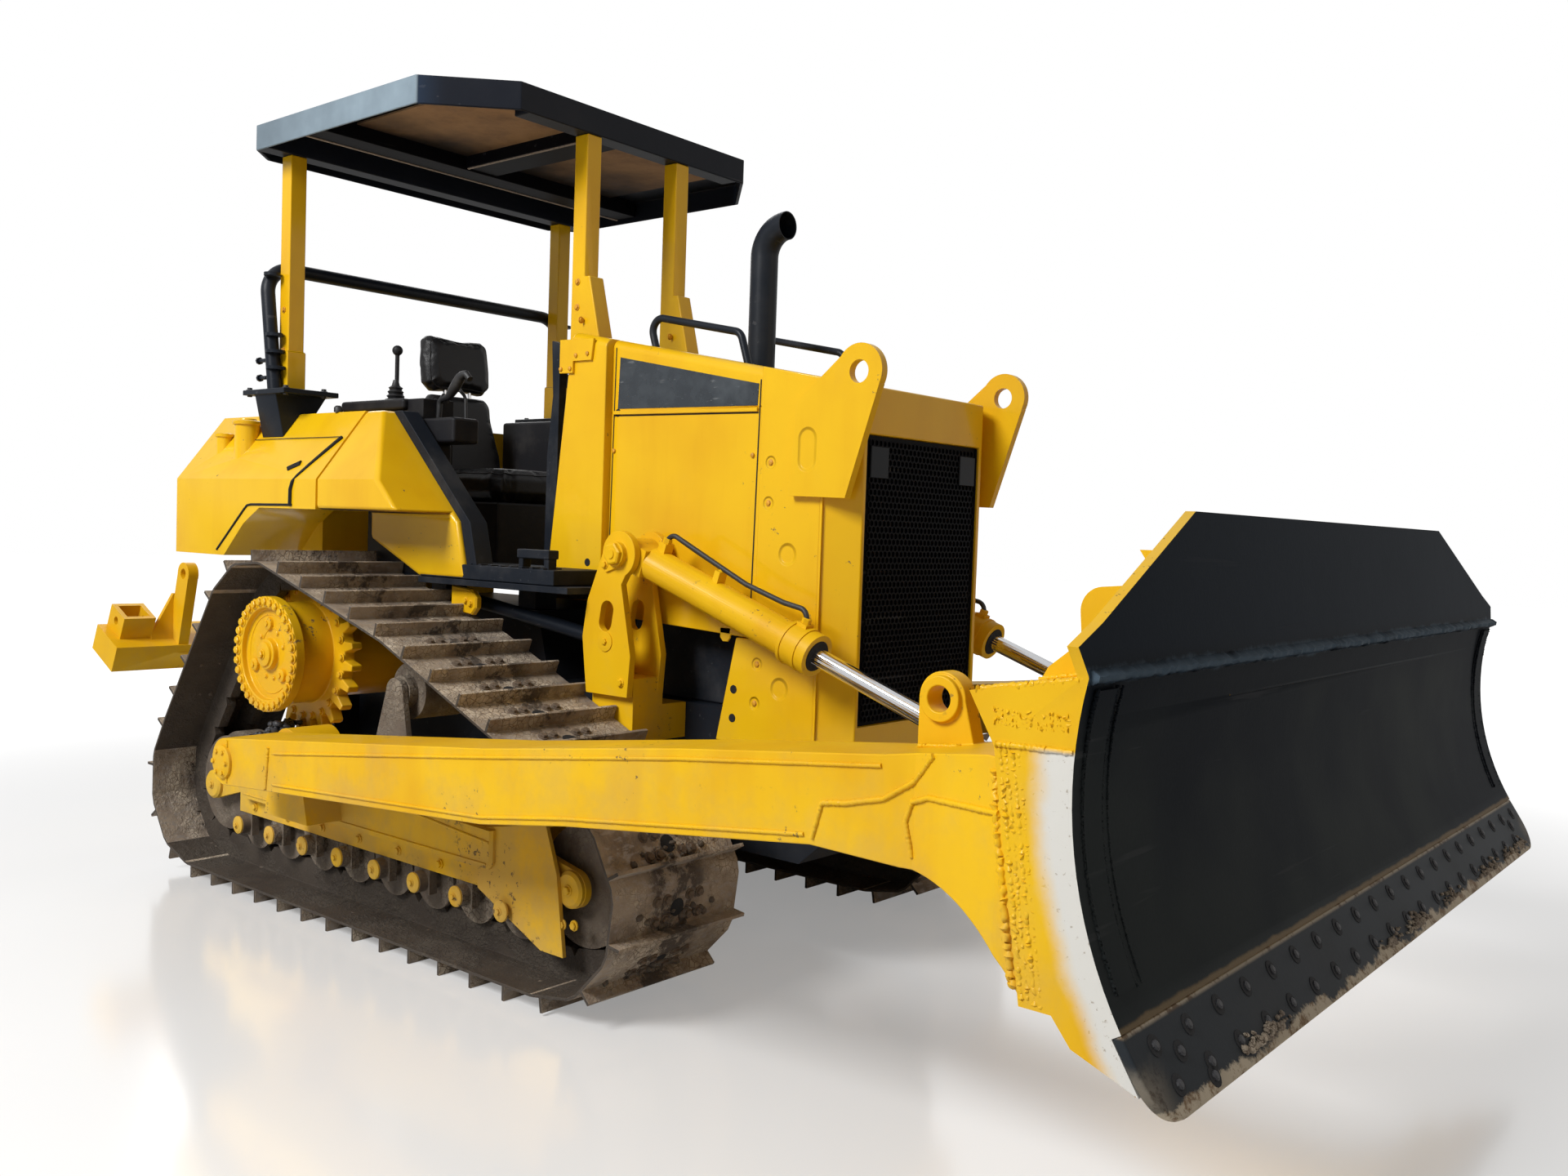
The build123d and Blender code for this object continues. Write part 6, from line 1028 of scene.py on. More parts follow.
def roller_caps(side):
    """A stepped cap with a bolt on each roller's axle, and two bolts on the collar behind it."""
    out = (0, side, 0)
    at = np.column_stack([ROLLER_X, np.full(8, side * (TRACK_Y + 0.205)), np.full(8, ROLLER_Z)])
    cap = turned([(0.036, -0.001), (0.036, 0.006), (0.028, 0.011), (0.012, 0.011)], 20)
    parts = [placed(cap, at, out), placed(bolt(0.010, 0.010), at + [0, side * 0.011, 0], out)]
    for dx in (-0.052, 0.052):
        parts.append(placed(bolt(0.010, 0.009), at + [dx, -side * 0.128, 0.030], out))
    return joined(*parts)


def drive_cover(side):
    """Rims of bolts on the sprocket and its cover, three bosses, a seam and a hub."""
    out = (0, side, 0)
    hub = np.array([DRIVE_X, side * 1.092, DRIVE_Z])
    dish = hub - [0, side * 0.026, 0]
    teeth = hub - [0, side * 0.181, 0]
    bosses = ring_at(dish, 0.122, np.radians([95, 205, 320]))
    small = ring_at(dish, 0.098, np.radians([20, 60, 140, 170, 250, 285]))
    lobe = ring_at(dish, 0.085, np.radians(np.linspace(20, 200, 24))) + [0.02, 0, 0.02]
    return joined(
        placed(bolt(0.0155, 0.014), ring_at(hub, 0.211, np.arange(32) * np.pi / 16), out),
        placed(bolt(0.013, 0.012), ring_at(teeth, 0.262, np.arange(TEETH) * 2 * np.pi / TEETH), out),
        placed(turned([(0.027, -0.002), (0.026, 0.012), (0.020, 0.016)], 20), bosses, out),
        placed(turned([(0.013, 0.015), (0.012, 0.021)], 6), bosses, out),
        placed(bolt(0.0085, 0.007), small, out),
        tube(ring_at(dish, 0.158, np.linspace(0, 2 * np.pi, 60)), 0.003, 6),
        tube(lobe, 0.003, 6),
        placed(turned([(0.050, -0.001), (0.048, 0.008), (0.030, 0.012)], 24), [hub], out),
        placed(bolt(0.016, 0.014), [hub + [0, side * 0.012, 0]], out),
    )


# %% Roller frames: bolts, guard beam and gravel
GUARD_BEAM = [
    (-1.440, 0.560), (-1.420, 0.440), (-1.341, 0.374), (0.255, 0.378), (0.272, 0.400), (0.272, 0.510),
    (-0.354, 0.530),
]
FRAME_BOLTS = [(x, 0.335) for x in (-1.30, -1.05, -0.80, -0.55, -0.30, -0.05, 0.20)]
FRAME_BOLTS += [(0.545, 0.268), (0.600, 0.262), (0.655, 0.270), (0.50, 0.30)]
GRAVEL = 220


def frame_bolts(side):
    """Bolts along the roller frame's lower edge and end, and the idlers' hubs."""
    out = (0, side, 0)
    at = [(x, side * (TRACK_Y + 0.174), z) for x, z in FRAME_BOLTS]
    hub = turned([(0.060, -0.004), (0.060, 0.012), (0.050, 0.020), (0.020, 0.020)], 24)
    idlers = np.array([(x, side * (TRACK_Y + 0.154), IDLER_Z) for x in (REAR_IDLER_X, FRONT_IDLER_X)])
    axle_bolts = placed(bolt(0.014, 0.012), idlers + [0, side * 0.020, 0], out)
    return joined(placed(bolt(0.013, 0.011), at, out), placed(hub, idlers, out), axle_bolts)


def guard_beam(side):
    """The long box over the rollers, with a bead along its foot and one down its upper edge."""
    y = side * 1.0945
    beam = facing_side(slab(GUARD_BEAM, 0.034, 0.010), side * 1.060, side)
    foot = weld([(-1.330, y, 0.392), (0.250, y, 0.396)], 0.004, 0.1)
    edge = weld([(-0.354, y, 0.518), (0.262, y, 0.470)], 0.005, 0.1)
    return joined(beam, foot, edge)


def gravel(side):
    """Stones heaped on the frame under the sprocket: a bell-shaped pile with random heights."""
    across, forward = rng.normal(0.13, 0.03, GRAVEL), rng.normal(0, 0.11, GRAVEL)
    high = 0.612 + 0.085 * np.exp(-((forward / 0.12) ** 2)) * rng.uniform(0.2, 1.0, GRAVEL)
    heap = np.column_stack([forward - 1.17, side * (TRACK_Y + across), high])
    heap = heap[(heap[:, 0] > -1.40) & (heap[:, 0] < -0.87) & (np.abs(heap[:, 1]) < TRACK_Y + 0.17)]
    return lumps(heap, rng.uniform(0.006, 0.020, len(heap)))


for side, word in SIDES:
    piece("roller_caps_" + word, roller_caps(side), track_yellow, "tractor")
    piece("drive_bolts_" + word, drive_cover(side), drive_yellow, "tractor")
    piece("frame_bolts_" + word, frame_bolts(side), track_yellow, "tractor")
    piece("roller_guard_" + word, guard_beam(side), track_yellow, "tractor")
    piece("gravel_" + word, gravel(side), dark_bolts, "tractor", smooth=60)

# %% [markdown]
# ## Radiator guard, bonnet and ears
# The grille is a black plate pierced with six-sided holes, which is made as one grid of cells: a
# picture of holes would look flat from the side. A long dark panel lies along each side of the
# bonnet and is left bare. Recesses in the guard's sides hold bolts, and a gap between two sheets
# is a thin dark strip laid over the joint. The sides are alike, so a plate or a row of heads is
# placed on the right and mirrored.

# %% Grille


def pierced_plate(half_wide, low, high, x, cell=0.0235, web=0.0034, deep=0.006):
    """Six-sided cells in staggered rows, cell * sqrt(3)/2 apart. Each has an outer ring that meets
    its neighbours', an inner ring one web smaller, and that ring again behind it as a wall."""
    rows = int((high - low) / (cell * 0.866))
    columns = int(2 * half_wide / cell)
    i, j = np.meshgrid(np.arange(columns), np.arange(rows), indexing="ij")
    y = -half_wide + (i + 0.5 + 0.5 * (j % 2)) * cell
    z = low + (j + 0.6) * cell * 0.866
    keep = np.abs(y) < half_wide - cell * 0.55
    y, z = y[keep].ravel(), z[keep].ravel()
    angle = np.pi / 6 + np.arange(6) * np.pi / 3
    reach = cell * 0.5774
    rings = [
        np.stack([
            np.broadcast_to(x + depth, (len(y), 6)),
            y[:, None] + radius * np.cos(angle),
            z[:, None] + radius * np.sin(angle),
        ], -1)
        for radius, depth in ((reach, 0.0), (reach - web, 0.0), (reach - web, -deep))
    ]
    points = np.stack(rings, 1).reshape(-1, 3)
    start = np.arange(len(y))[:, None, None] * 18
    k, after = np.arange(6), (np.arange(6) + 1) % 6
    quads = [np.stack([r * 6 + k, r * 6 + after, r * 6 + 6 + after, r * 6 + 6 + k], -1) for r in (0, 1)]
    faces = (start + np.concatenate(quads)[None]).reshape(-1, 4)
    return points, faces.tolist()


def rectangle(left, right, low, high):
    return [(left, low), (right, low), (right, high), (left, high)]


low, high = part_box("grille")
front, foot, top = high[0], low[2], high[2]
plate = pierced_plate(0.334, foot + 0.010, top - 0.008, front)
# A black sheet behind the holes: painted shade inside the guard.
back = facing_front(slab(rectangle(-0.340, 0.340, foot + 0.002, top - 0.002), 0.003), front - 0.0095)
bar_x = front - 0.004
bars = [tube([(bar_x, y, foot + 0.004), (bar_x, y, top - 0.004)], 0.0045, 6) for y in (-0.337, 0.337)]
piece("grille_plate", plate, grille_black, "tractor", smooth=30)
grille_shade_back = piece("grille_shade_back", joined(back, *bars), grille_black, "tractor")
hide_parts("grille")
lamp_glass = Finish("lamp_glass", Base_Color=(0.004, 0.004, 0.005), Roughness=0.2, Specular_IOR_Level=0.15)
lamps = [slab(rectangle(y - 0.05, y + 0.05, 1.722, 1.828), 0.006, 0.003) for y in (-0.270, 0.270)]
piece("grille_lamps", facing_front(joined(*lamps), front - 0.001), lamp_glass.made, "tractor", smooth=20)
print("grille cells:", len(plate[1]) // 12)

# %% Bonnet panels, gaps and small bolts
RIGHTWARDS = (0, -1, 0)
SHEET_Y, COWL_Y = -0.4205, -0.4655


def side_plate(outline, y, thick):
    """A thin plate on the right side at y, from an (x, z) outline, and its mirror image."""
    return both_sides(facing_side(slab(outline, thick, min(thick * 0.5, 0.0015)), y))


def side_heads(head, y, spots):
    """One head on each (x, z) spot of the right side at y, pointing out, and their mirror image."""
    return both_sides(placed(head, [(x, y, z) for x, z in spots], RIGHTWARDS))


def label_finish():
    """Dark blue-grey film: cloudy dust and a few pale scuffs, and nothing written on it."""
    m = Finish("bare_label_panel", Coat_Weight=0.4)
    haze = m.noise(6.0, 5.0, 0.62).between(0.42, 0.78)
    scuffs = m.noise(26.0, 4.0, at=m.stretched((0.5, 1.0, 2.0))).between(0.62, 0.70)
    colour = m.mix(haze * 0.5, (0.014, 0.020, 0.027), (0.065, 0.080, 0.092))
    m.set(
        Base_Color=m.mix(scuffs * 0.25, colour, (0.30, 0.31, 0.31)),
        Roughness=0.24 + haze * 0.25,
        Normal=m.bump(haze, 0.0005, 0.4),
    )
    return m.made


LABEL = [(0.105, 1.972), (0.796, 1.962), (0.800, 2.036), (0.112, 2.163)]
piece("label_panels", side_plate(LABEL, -0.4202, 0.002), label_finish(), "tractor", smooth=20)
LIP = [(0.085, 1.951), (0.800, 1.942), (0.800, 1.955), (0.085, 1.964)]
piece("panel_lips", side_plate(LIP, -0.419, 0.010), sheet_yellow, "tractor", smooth=20)
gaps = [
    side_plate([(0.790, 1.210), (0.795, 1.210), (0.811, 2.050), (0.806, 2.050)], SHEET_Y, 0.001),
    side_plate([(0.085, 1.9445), (0.800, 1.9355), (0.800, 1.940), (0.085, 1.949)], SHEET_Y, 0.001),
    side_plate([(0.0755, 1.36), (0.080, 1.36), (0.092, 2.20), (0.0875, 2.20)], SHEET_Y, 0.001),
]
piece("sheet_gaps", joined(*gaps), dark_gap, "tractor")
COWL_PLATE = [
    (-0.180, 2.112), (-0.104, 2.110), (-0.104, 2.155), (-0.002, 2.155), (0.010, 2.235), (-0.180, 2.240)
]
piece("cowl_plates", side_plate(COWL_PLATE, -0.4545, 0.011), sheet_yellow, "tractor", smooth=20)
button = turned([(0.0085, -0.001), (0.008, 0.005), (0.005, 0.007)], 12)
buttons = joined(
    side_heads(button, -0.421, [(0.781, 1.793), (0.091, 1.816), (0.781, 1.30), (0.095, 1.30)]),
    side_heads(button, COWL_Y, [(-0.170, 2.128), (-0.118, 2.128), (-0.086, 2.176), (-0.022, 2.180)]),
)
piece("cowl_bolts", buttons, yellow_bolts, "tractor")
# Dark discs stand for holes: painted shade.
disc = turned([(0.015, -0.001), (0.0148, 0.0008)], 18)
holes = joined(
    side_heads(disc, -0.4555, [(-0.002, 1.394)]),
    side_heads(disc, -0.4305, [(0.736, 0.985), (0.734, 0.885)]),
    side_heads(disc, -0.4203, [(0.106, 1.957)]),
)
piece("guard_holes", holes, dark_gap, "tractor")
piece("guard_bolts", side_heads(bolt(0.0095, 0.006), -0.4285, BOLT_DIMPLES), yellow_bolts, "tractor")
GUARD_STEP = rectangle(1.092, 1.100, 0.82, 1.655)
piece("guard_step", side_plate(GUARD_STEP, -0.4295, 0.004), guard_yellow, "tractor", smooth=20)
TAB = [(0.655, 1.195), (0.655, 1.160), (0.668, 1.146), (0.690, 1.146), (0.703, 1.160), (0.703, 1.195)]
tabs = both_sides(facing_side(slab(TAB, 0.008, 0.002), -0.412))
piece("panel_tabs", tabs, sheet_yellow, "tractor", smooth=20)

# %% [markdown]
# ## Lift cylinders, towers and the pipe behind them
# The barrels carry short fittings, and the pins have broad six-sided caps, each kept by a small
# plate and a bolt. A black pipe runs from under the fender to the tower. What sits on a barrel
# rides on its body, so that it swings with the cylinder, and is placed by a distance along the
# barrel and one above its axis.

# %% Cylinders and towers
cap = joined(
    turned([(0.040, 0.0), (0.040, 0.012), (0.034, 0.016)], 6, 0.2),
    turned([(0.018, 0.016), (0.016, 0.020)], 16),
)
KEEPER = [(-0.030, -0.055), (0.045, -0.030), (0.050, 0.030), (-0.035, 0.005), (-0.060, -0.030)]
keeper = moved(facing_side(slab(KEEPER, 0.008, 0.002), -0.6325), (0.330, 0, 1.425))
washer = turned([(0.036, -0.001), (0.036, 0.003), (0.030, 0.004)], 20)
tower_bits = joined(
    side_heads(cap, -0.654, [(0.355, 1.437)]),
    both_sides(keeper),
    side_heads(bolt(0.012, 0.011), -0.6405, [(0.296, 1.398)]),
    side_heads(bolt(0.012, 0.011), -0.6325, [(0.300, 1.125), (0.385, 0.985)]),
    side_heads(washer, -0.6325, [(0.300, 1.125)]),
)
piece("lift_pin_caps", tower_bits, frame_yellow, "tractor", smooth=30)
pipe = [(-0.56, -0.560, 1.222), (-0.30, -0.556, 1.188), (0.0, -0.552, 1.148), (0.20, -0.550, 1.120)]
piece("side_pipes", both_sides(tube(resampled(pipe, 0.05), 0.027, 16)), satin_black, "tractor", smooth=50)
BRACKET = [(-0.55, 1.185), (-0.42, 1.172), (-0.392, 1.200), (-0.392, 1.240), (-0.425, 1.272), (-0.55, 1.280)]
brackets = joined(
    both_sides(facing_side(slab(BRACKET, 0.030, 0.006), -0.640)),
    side_heads(bolt(0.011, 0.010), -0.670, [(-0.455, 1.225), (-0.425, 1.215)]),
)
piece("fender_brackets", brackets, sheet_yellow, "tractor", smooth=30)

# %% Fittings that ride on the barrels
LIFT_RUN, LIFT_UP = np.array([0.943, 0.0, -0.3328]), np.array([0.3328, 0.0, 0.943])
band = turned([(0.0745, -0.006), (0.0745, 0.006)], 40)
seal = turned([(0.052, 0.0), (0.050, 0.003), (0.034, 0.003)], 32)
nut = turned([(0.016, 0.0), (0.016, 0.016), (0.013, 0.018)], 6)
for side, word in SIDES:

    def on_barrel(along, up=0.0):
        """A point a way along the barrel from its pin, and a way above its axis."""
        return np.array([0.355, side * 0.542, 1.437]) + LIFT_RUN * along + LIFT_UP * up

    fittings = joined(
        placed(band, [on_barrel(0.772), on_barrel(0.835)], LIFT_RUN),
        placed(nut, [on_barrel(0.125, 0.092), on_barrel(0.800, 0.080)], LIFT_UP),
        placed(bolt(0.008, 0.008), [on_barrel(0.400, 0.097)], LIFT_UP),
    )
    body = "lift_barrel_" + word
    piece("barrel_fittings_" + word, fittings, frame_yellow, body, smooth=40)
    piece("gland_seal_" + word, placed(seal, [on_barrel(0.880)], LIFT_RUN), dark_gap, body)

# %% [markdown]
# ## Canopy
# The roof is a folded tray. Under it there is a brown liner in two panels, painted darker towards
# the rear and the left as painted shade, parted by a channel that runs forwards, and a cross
# channel closes them off at the rear. The thin flange edges of the channels are painted pale brown
# as a painted highlight. Flat boards and boxes with a small bevel are enough, since only their
# faces and edges show from below.

# %% Canopy liner


def liner_finish():
    """Brown board with blotches, painted darker towards the rear and the left as painted shade."""
    m = Finish("canopy_liner", Specular_IOR_Level=0.1)
    shade_edge = m.noise(2.4, 5.0, 0.6) * 0.55
    # Painted shade: the board darkens to near black towards the rear and the left, along a noisy edge.
    clear = (m.x + shade_edge - m.y * 0.12).between(-0.92, -0.45)
    blot = m.noise(5.0, 6.0, 0.7).between(0.35, 0.75)
    brown = m.mix(blot, (0.34, 0.205, 0.105), (0.20, 0.115, 0.06))
    m.set(Base_Color=m.mix(clear, (0.020, 0.016, 0.014), brown), Roughness=0.75 - blot * 0.15)
    return m.made


RIGHT_LINER = [(-1.195, -0.720), (-0.440, -0.720), (-0.300, -0.600), (-0.300, -0.165), (-1.195, -0.165)]
LEFT_LINER = [(-1.195, 0.005), (-0.300, 0.005), (-0.300, 0.600), (-0.440, 0.700), (-1.195, 0.700)]
liner = moved(joined(slab(RIGHT_LINER, 0.010), slab(LEFT_LINER, 0.010)), (0, 0, 3.158))
piece("canopy_liner", liner, liner_finish(), "tractor", bevel=0.002)
channels = joined(
    box((-1.200, -0.165, 3.108), (-0.285, 0.005, 3.172)),
    box((-1.330, -0.880, 3.100), (-1.200, 0.880, 3.172)),
)
piece("canopy_channels", channels, grille_black, "tractor", bevel=0.004)
flanges = joined(
    box((-1.338, -0.880, 3.096), (-1.326, 0.880, 3.104)),
    box((-1.195, -0.160, 3.103), (-0.330, -0.150, 3.110)),
)
# The flanges are painted pale brown as a painted highlight along their edges.
flange_highlight_metal = bolt_metal("flange_edges_painted_highlight", (0.30, 0.24, 0.19), 0.5)
piece("canopy_flanges", flanges, flange_highlight_metal, "tractor", bevel=0.002)
print("liner from", liner[0].min(0).round(3), "to", liner[0].max(0).round(3))

# %% [markdown]
# ## Seat
# Cushion, back and headrest are three sewn pads in black vinyl. Each starts from a rounded block
# a little smaller than its solid, is remeshed into even cells and is then blown up by a short
# cloth simulation, so the faces crown and the edges pull in as on a stuffed cover. A welt follows
# the seam of each cover, found by laying a path on the finished surface.

# %% Pads
VOXEL, FRAMES, PRESSURE = 0.0075, 20, 4.0


def points_of(mesh):
    """A mesh's points as one table."""
    flat = np.empty(len(mesh.vertices) * 3)
    mesh.vertices.foreach_get("co", flat)
    return flat.reshape(-1, 3)


def cover(name, shape, cap):
    """A stuffed pad: even cells, some frames of pressure, and no point moved by more than cap."""
    pad = piece(name, shape, vinyl, "tractor", smooth=180)
    cells = pad.modifiers.new("cells", "REMESH")
    cells.mode, cells.voxel_size = "VOXEL", VOXEL
    graph = bpy.context.evaluated_depsgraph_get()
    mesh = bpy.data.meshes.new_from_object(pad.evaluated_get(graph))
    pad.modifiers.clear()
    pad.data = mesh
    cloth = pad.modifiers.new("stuffing", "CLOTH")
    cloth.settings.use_pressure = True
    cloth.settings.uniform_pressure_force = PRESSURE
    cloth.settings.effector_weights.gravity = 0.0
    cloth.settings.quality = 4
    for frame in range(1, FRAMES + 1):
        bpy.context.scene.frame_set(frame)
    graph = bpy.context.evaluated_depsgraph_get()
    rest = points_of(mesh)
    move = points_of(pad.evaluated_get(graph).data) - rest
    length = np.linalg.norm(move, axis=1)[:, None] + 1e-9
    pad.modifiers.clear()
    bpy.context.scene.frame_set(1)
    mesh.vertices.foreach_set("co", (rest + move * np.minimum(1.0, cap / length)).ravel())
    mesh.shade_smooth()
    smooth = pad.modifiers.new("smooth", "SUBSURF")
    smooth.levels = smooth.render_levels = 1
    print(name, "cells:", len(mesh.polygons))
    return pad


def welt(name, pad, path, radius=0.0032):
    """A piped seam: a closed path laid on the nearest points of a pad and evened out."""
    tree = KDTree(len(pad.data.vertices))
    for i, v in enumerate(pad.data.vertices):
        tree.insert(v.co, i)
    tree.balance()
    path = resampled([*path, path[0]], 0.012)[:-1]
    laid = np.array([tree.find(p)[0] for p in path])
    for _ in range(3):
        laid = (np.roll(laid, 1, 0) + 2 * laid + np.roll(laid, -1, 0)) / 4
    points, faces = tube(np.concatenate([laid, laid[:1]]), radius, 8)
    return piece(name, (points, faces), vinyl, "tractor", smooth=180)


LEAN, LEAN_FROM = 0.115, 1.62


def leaned(shape, front):
    """A plate drawn in (y, z) stood up at the seat's back: x falls by the lean for each metre up."""
    points, faces = shape
    x = front - points[:, 2] - LEAN * (points[:, 1] - LEAN_FROM)
    return np.column_stack([x, points[:, 0], points[:, 1]]), faces


def outline_of(half):
    """A closed outline from its right half, listed from the top down."""
    half = np.array(half, float)
    return np.concatenate([half, (half * [-1, 1])[::-1]])


BACK = outline_of([
    (0.15, 2.128), (0.176, 2.100), (0.190, 2.020), (0.216, 1.920), (0.236, 1.830), (0.238, 1.720),
    (0.19, 1.640),
])
HEAD = outline_of([(0.150, 2.388), (0.176, 2.365), (0.186, 2.250), (0.182, 2.165), (0.145, 2.128)])
CUSHION = [(-1.335, -0.19), (-1.31, -0.225), (-0.90, -0.232), (-0.85, -0.20), (-0.835, -0.12)]
CUSHION = np.array(CUSHION + [(x, -y) for x, y in CUSHION[::-1]])
seat_pad = cover("seat_cushion_pad", moved(slab(CUSHION, 0.118, 0.030), (0, 0, 1.634)), 0.016)
back_pad = cover("seat_back_pad", leaned(slab(BACK, 0.085, 0.026), -1.358), 0.014)
head_pad = cover("headrest_pad", leaned(slab(HEAD, 0.100, 0.028), -1.352), 0.013)
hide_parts("seat_cushion")
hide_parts("seat_back")
welt("cushion_welt", seat_pad, np.column_stack([CUSHION, np.full(len(CUSHION), 1.770)]))
upright_welts = (("back_welt", back_pad, BACK, -1.350), ("head_welt", head_pad, HEAD, -1.345))
for name, pad, outline, front in upright_welts:
    x = front - LEAN * (outline[:, 1] - LEAN_FROM)
    welt(name, pad, np.column_stack([x, outline]))
stalks = [tube([(-1.440, y, 2.05), (-1.452, y, 2.16)], 0.009, 12) for y in (-0.07, 0.07)]
piece("headrest_stalks", joined(*stalks), rod_chrome, "tractor")

# %% [markdown]
# ## Operator's place
# Black consoles stand on both sides, with a lever in a folded rubber boot, a curved tiller
# handle, and armrests. A black screen closes the back of the cowl on each side. The step plates
# have raised treads and a small foot bracket. Plain boxes with a wide bevel read as moulded
# parts here, because they stand in the canopy's shade.

# %% Consoles and controls
GRIP_Y, HOOP_Y = -0.525, -0.48
BOOT = [
    (0.044, 0.0), (0.044, 0.010), (0.030, 0.016), (0.038, 0.025), (0.028, 0.034), (0.034, 0.043),
    (0.025, 0.052), (0.030, 0.061), (0.017, 0.070), (0.011, 0.094),
]
HOOP = [(-0.880, 1.945), (-0.862, 2.040), (-0.800, 2.085), (-0.740, 2.040), (-0.735, 1.945)]
GRIP = [(-0.835, 2.032), (-0.792, 2.040), (-0.745, 2.085), (-0.715, 2.120), (-0.680, 2.128), (-0.655, 2.105)]


def bent(path, y, step):
    """An (x, z) path at y, with points at even steps."""
    return resampled([(x, y, z) for x, z in path], step)


controls = joined(
    placed(turned(BOOT, 20), [(-1.160, -0.530, 2.030)]),
    placed(turned([(0.018, -0.001), (0.018, 0.018), (0.010, 0.026)], 12), [(-1.251, -0.745, 1.972)]),
    tube(bent([(-0.860, 1.950), (-0.852, 2.020), (-0.820, 2.045)], GRIP_Y, 0.012), 0.013, 12),
    tube(bent(HOOP, HOOP_Y, 0.02), 0.007, 8),
)
piece("console_controls", controls, rubber, "tractor", smooth=50)
grip = bent(GRIP, GRIP_Y, 0.010)
grip_radius = 0.013 + 0.009 * np.sin(np.linspace(0, np.pi, len(grip))) ** 2
piece("tiller_grip", tube(grip, grip_radius, 14), rubber, "tractor", smooth=60)

# %% Consoles, screens and steps
consoles = joined(
    box((-1.430, -0.625, 1.985), (-0.965, -0.470, 2.032)),
    box((-1.005, -0.605, 1.845), (-0.648, -0.475, 1.948)),
    box((-0.985, -0.595, 1.750), (-0.820, -0.480, 1.850)),
    box((-1.500, 0.310, 1.760), (-1.050, 0.440, 2.020)),
    box((-1.380, 0.340, 1.320), (-1.250, 0.420, 1.880)),
)
piece("console_tops", consoles, plastic, "tractor", bevel=0.014)
SCREEN = [
    (-0.302, 1.330), (-0.236, 1.330), (-0.236, 2.235), (-0.285, 2.250), (-0.272, 2.038), (-0.278, 1.985),
    (-0.300, 1.800),
]
screens = both_sides(facing_side(slab(SCREEN, 0.035, 0.004), -0.415, 1))
piece("cowl_screens", screens, deck_black, "tractor", smooth=30)
foot_rest = joined(
    box((-0.130, -0.690, 1.405), (0.050, -0.640, 1.438)),
    box((-0.125, -0.685, 1.365), (-0.100, -0.645, 1.410)),
    box((0.020, -0.685, 1.365), (0.045, -0.645, 1.410)),
    box((-0.690, -0.716, 1.312), (0.110, -0.400, 1.368)),
    box((-0.690, 0.400, 1.312), (0.110, 0.716, 1.368)),
)
piece("foot_bracket", foot_rest, deck_black, "tractor", bevel=0.004)
treads = [
    box((x, y - 0.045, 1.366), (x + 0.020, y + 0.045, 1.373))
    for x in -0.640 + 0.06 * np.arange(12)
    for y in (-0.66, 0.66)
]
piece("step_treads", joined(*treads), deck_black, "tractor", bevel=0.002)
print("treads:", len(treads))

# %% [markdown]
# ## Fenders, arch and posts
# The fender is pressed sheet in two parts, so a dark seam runs down its sloping side, with a
# second line along the top and a slot for the cover's handle. A seam is a thin dark tube that
# lies half in the sheet, which stays crisp at any distance. Clamps and nuts stand out from the
# arch, and the posts are bolted at their feet.

# %% Seams, slot and bolts


def seam_line(path, radius=0.004):
    """A dark gap drawn as a thin tube that lies half in the sheet."""
    return tube(resampled(path, 0.03), radius, 6)


SLOPE_SEAM = [
    (-1.062, -0.842, 1.857), (-1.083, -0.859, 1.834), (-1.150, -0.917, 1.753), (-1.206, -0.972, 1.676),
    (-1.222, -0.974, 1.640), (-1.224, -0.974, 1.570),
]
TOP_SEAM = [(-1.743, -0.844, 1.856), (-1.608, -0.841, 1.858), (-1.062, -0.841, 1.858)]
SIDE_SEAM = [
    (-1.818, -0.9715, 1.372), (-1.572, -0.9715, 1.566), (-1.555, -0.9715, 1.572), (-1.213, -0.9715, 1.575)
]
# The handle slot is a dark tube: painted shade in the slot.
HANDLE_SLOT = [(-1.300, -0.936, 1.722), (-1.236, -0.918, 1.746)]
seams = ((SLOPE_SEAM, 0.0075), (TOP_SEAM, 0.0016), (SIDE_SEAM, 0.005), (HANDLE_SLOT, 0.014))
fender_seams = joined(*[seam_line(path, radius) for path, radius in seams])
piece("fender_seams", both_sides(fender_seams), dark_gap, "tractor")

ARCH_Y = -0.825
nut = turned([(0.016, 0.0), (0.016, 0.012), (0.010, 0.018)], 8)
arch_bits = []
for z, x in ((2.202, -1.690), (2.127, -1.683)):
    arch_bits.append(tube([(x, ARCH_Y, z), (x - 0.055, ARCH_Y, z)], 0.009, 10))
    arch_bits.append(placed(nut, [(x - 0.055, ARCH_Y, z)], (-1, 0, 0)))
for z, radius in ((2.308, 0.036), (2.569, 0.0345), (2.165, 0.040), (2.235, 0.040)):
    leg_x = -1.617 - 0.091 * (z - 2.18) / 0.9
    arch_bits.append(placed(turned([(radius, -0.007), (radius, 0.007)], 24), [(leg_x, ARCH_Y, z)]))
piece("arch_clamps", both_sides(joined(*arch_bits)), satin_black, "tractor", smooth=40)

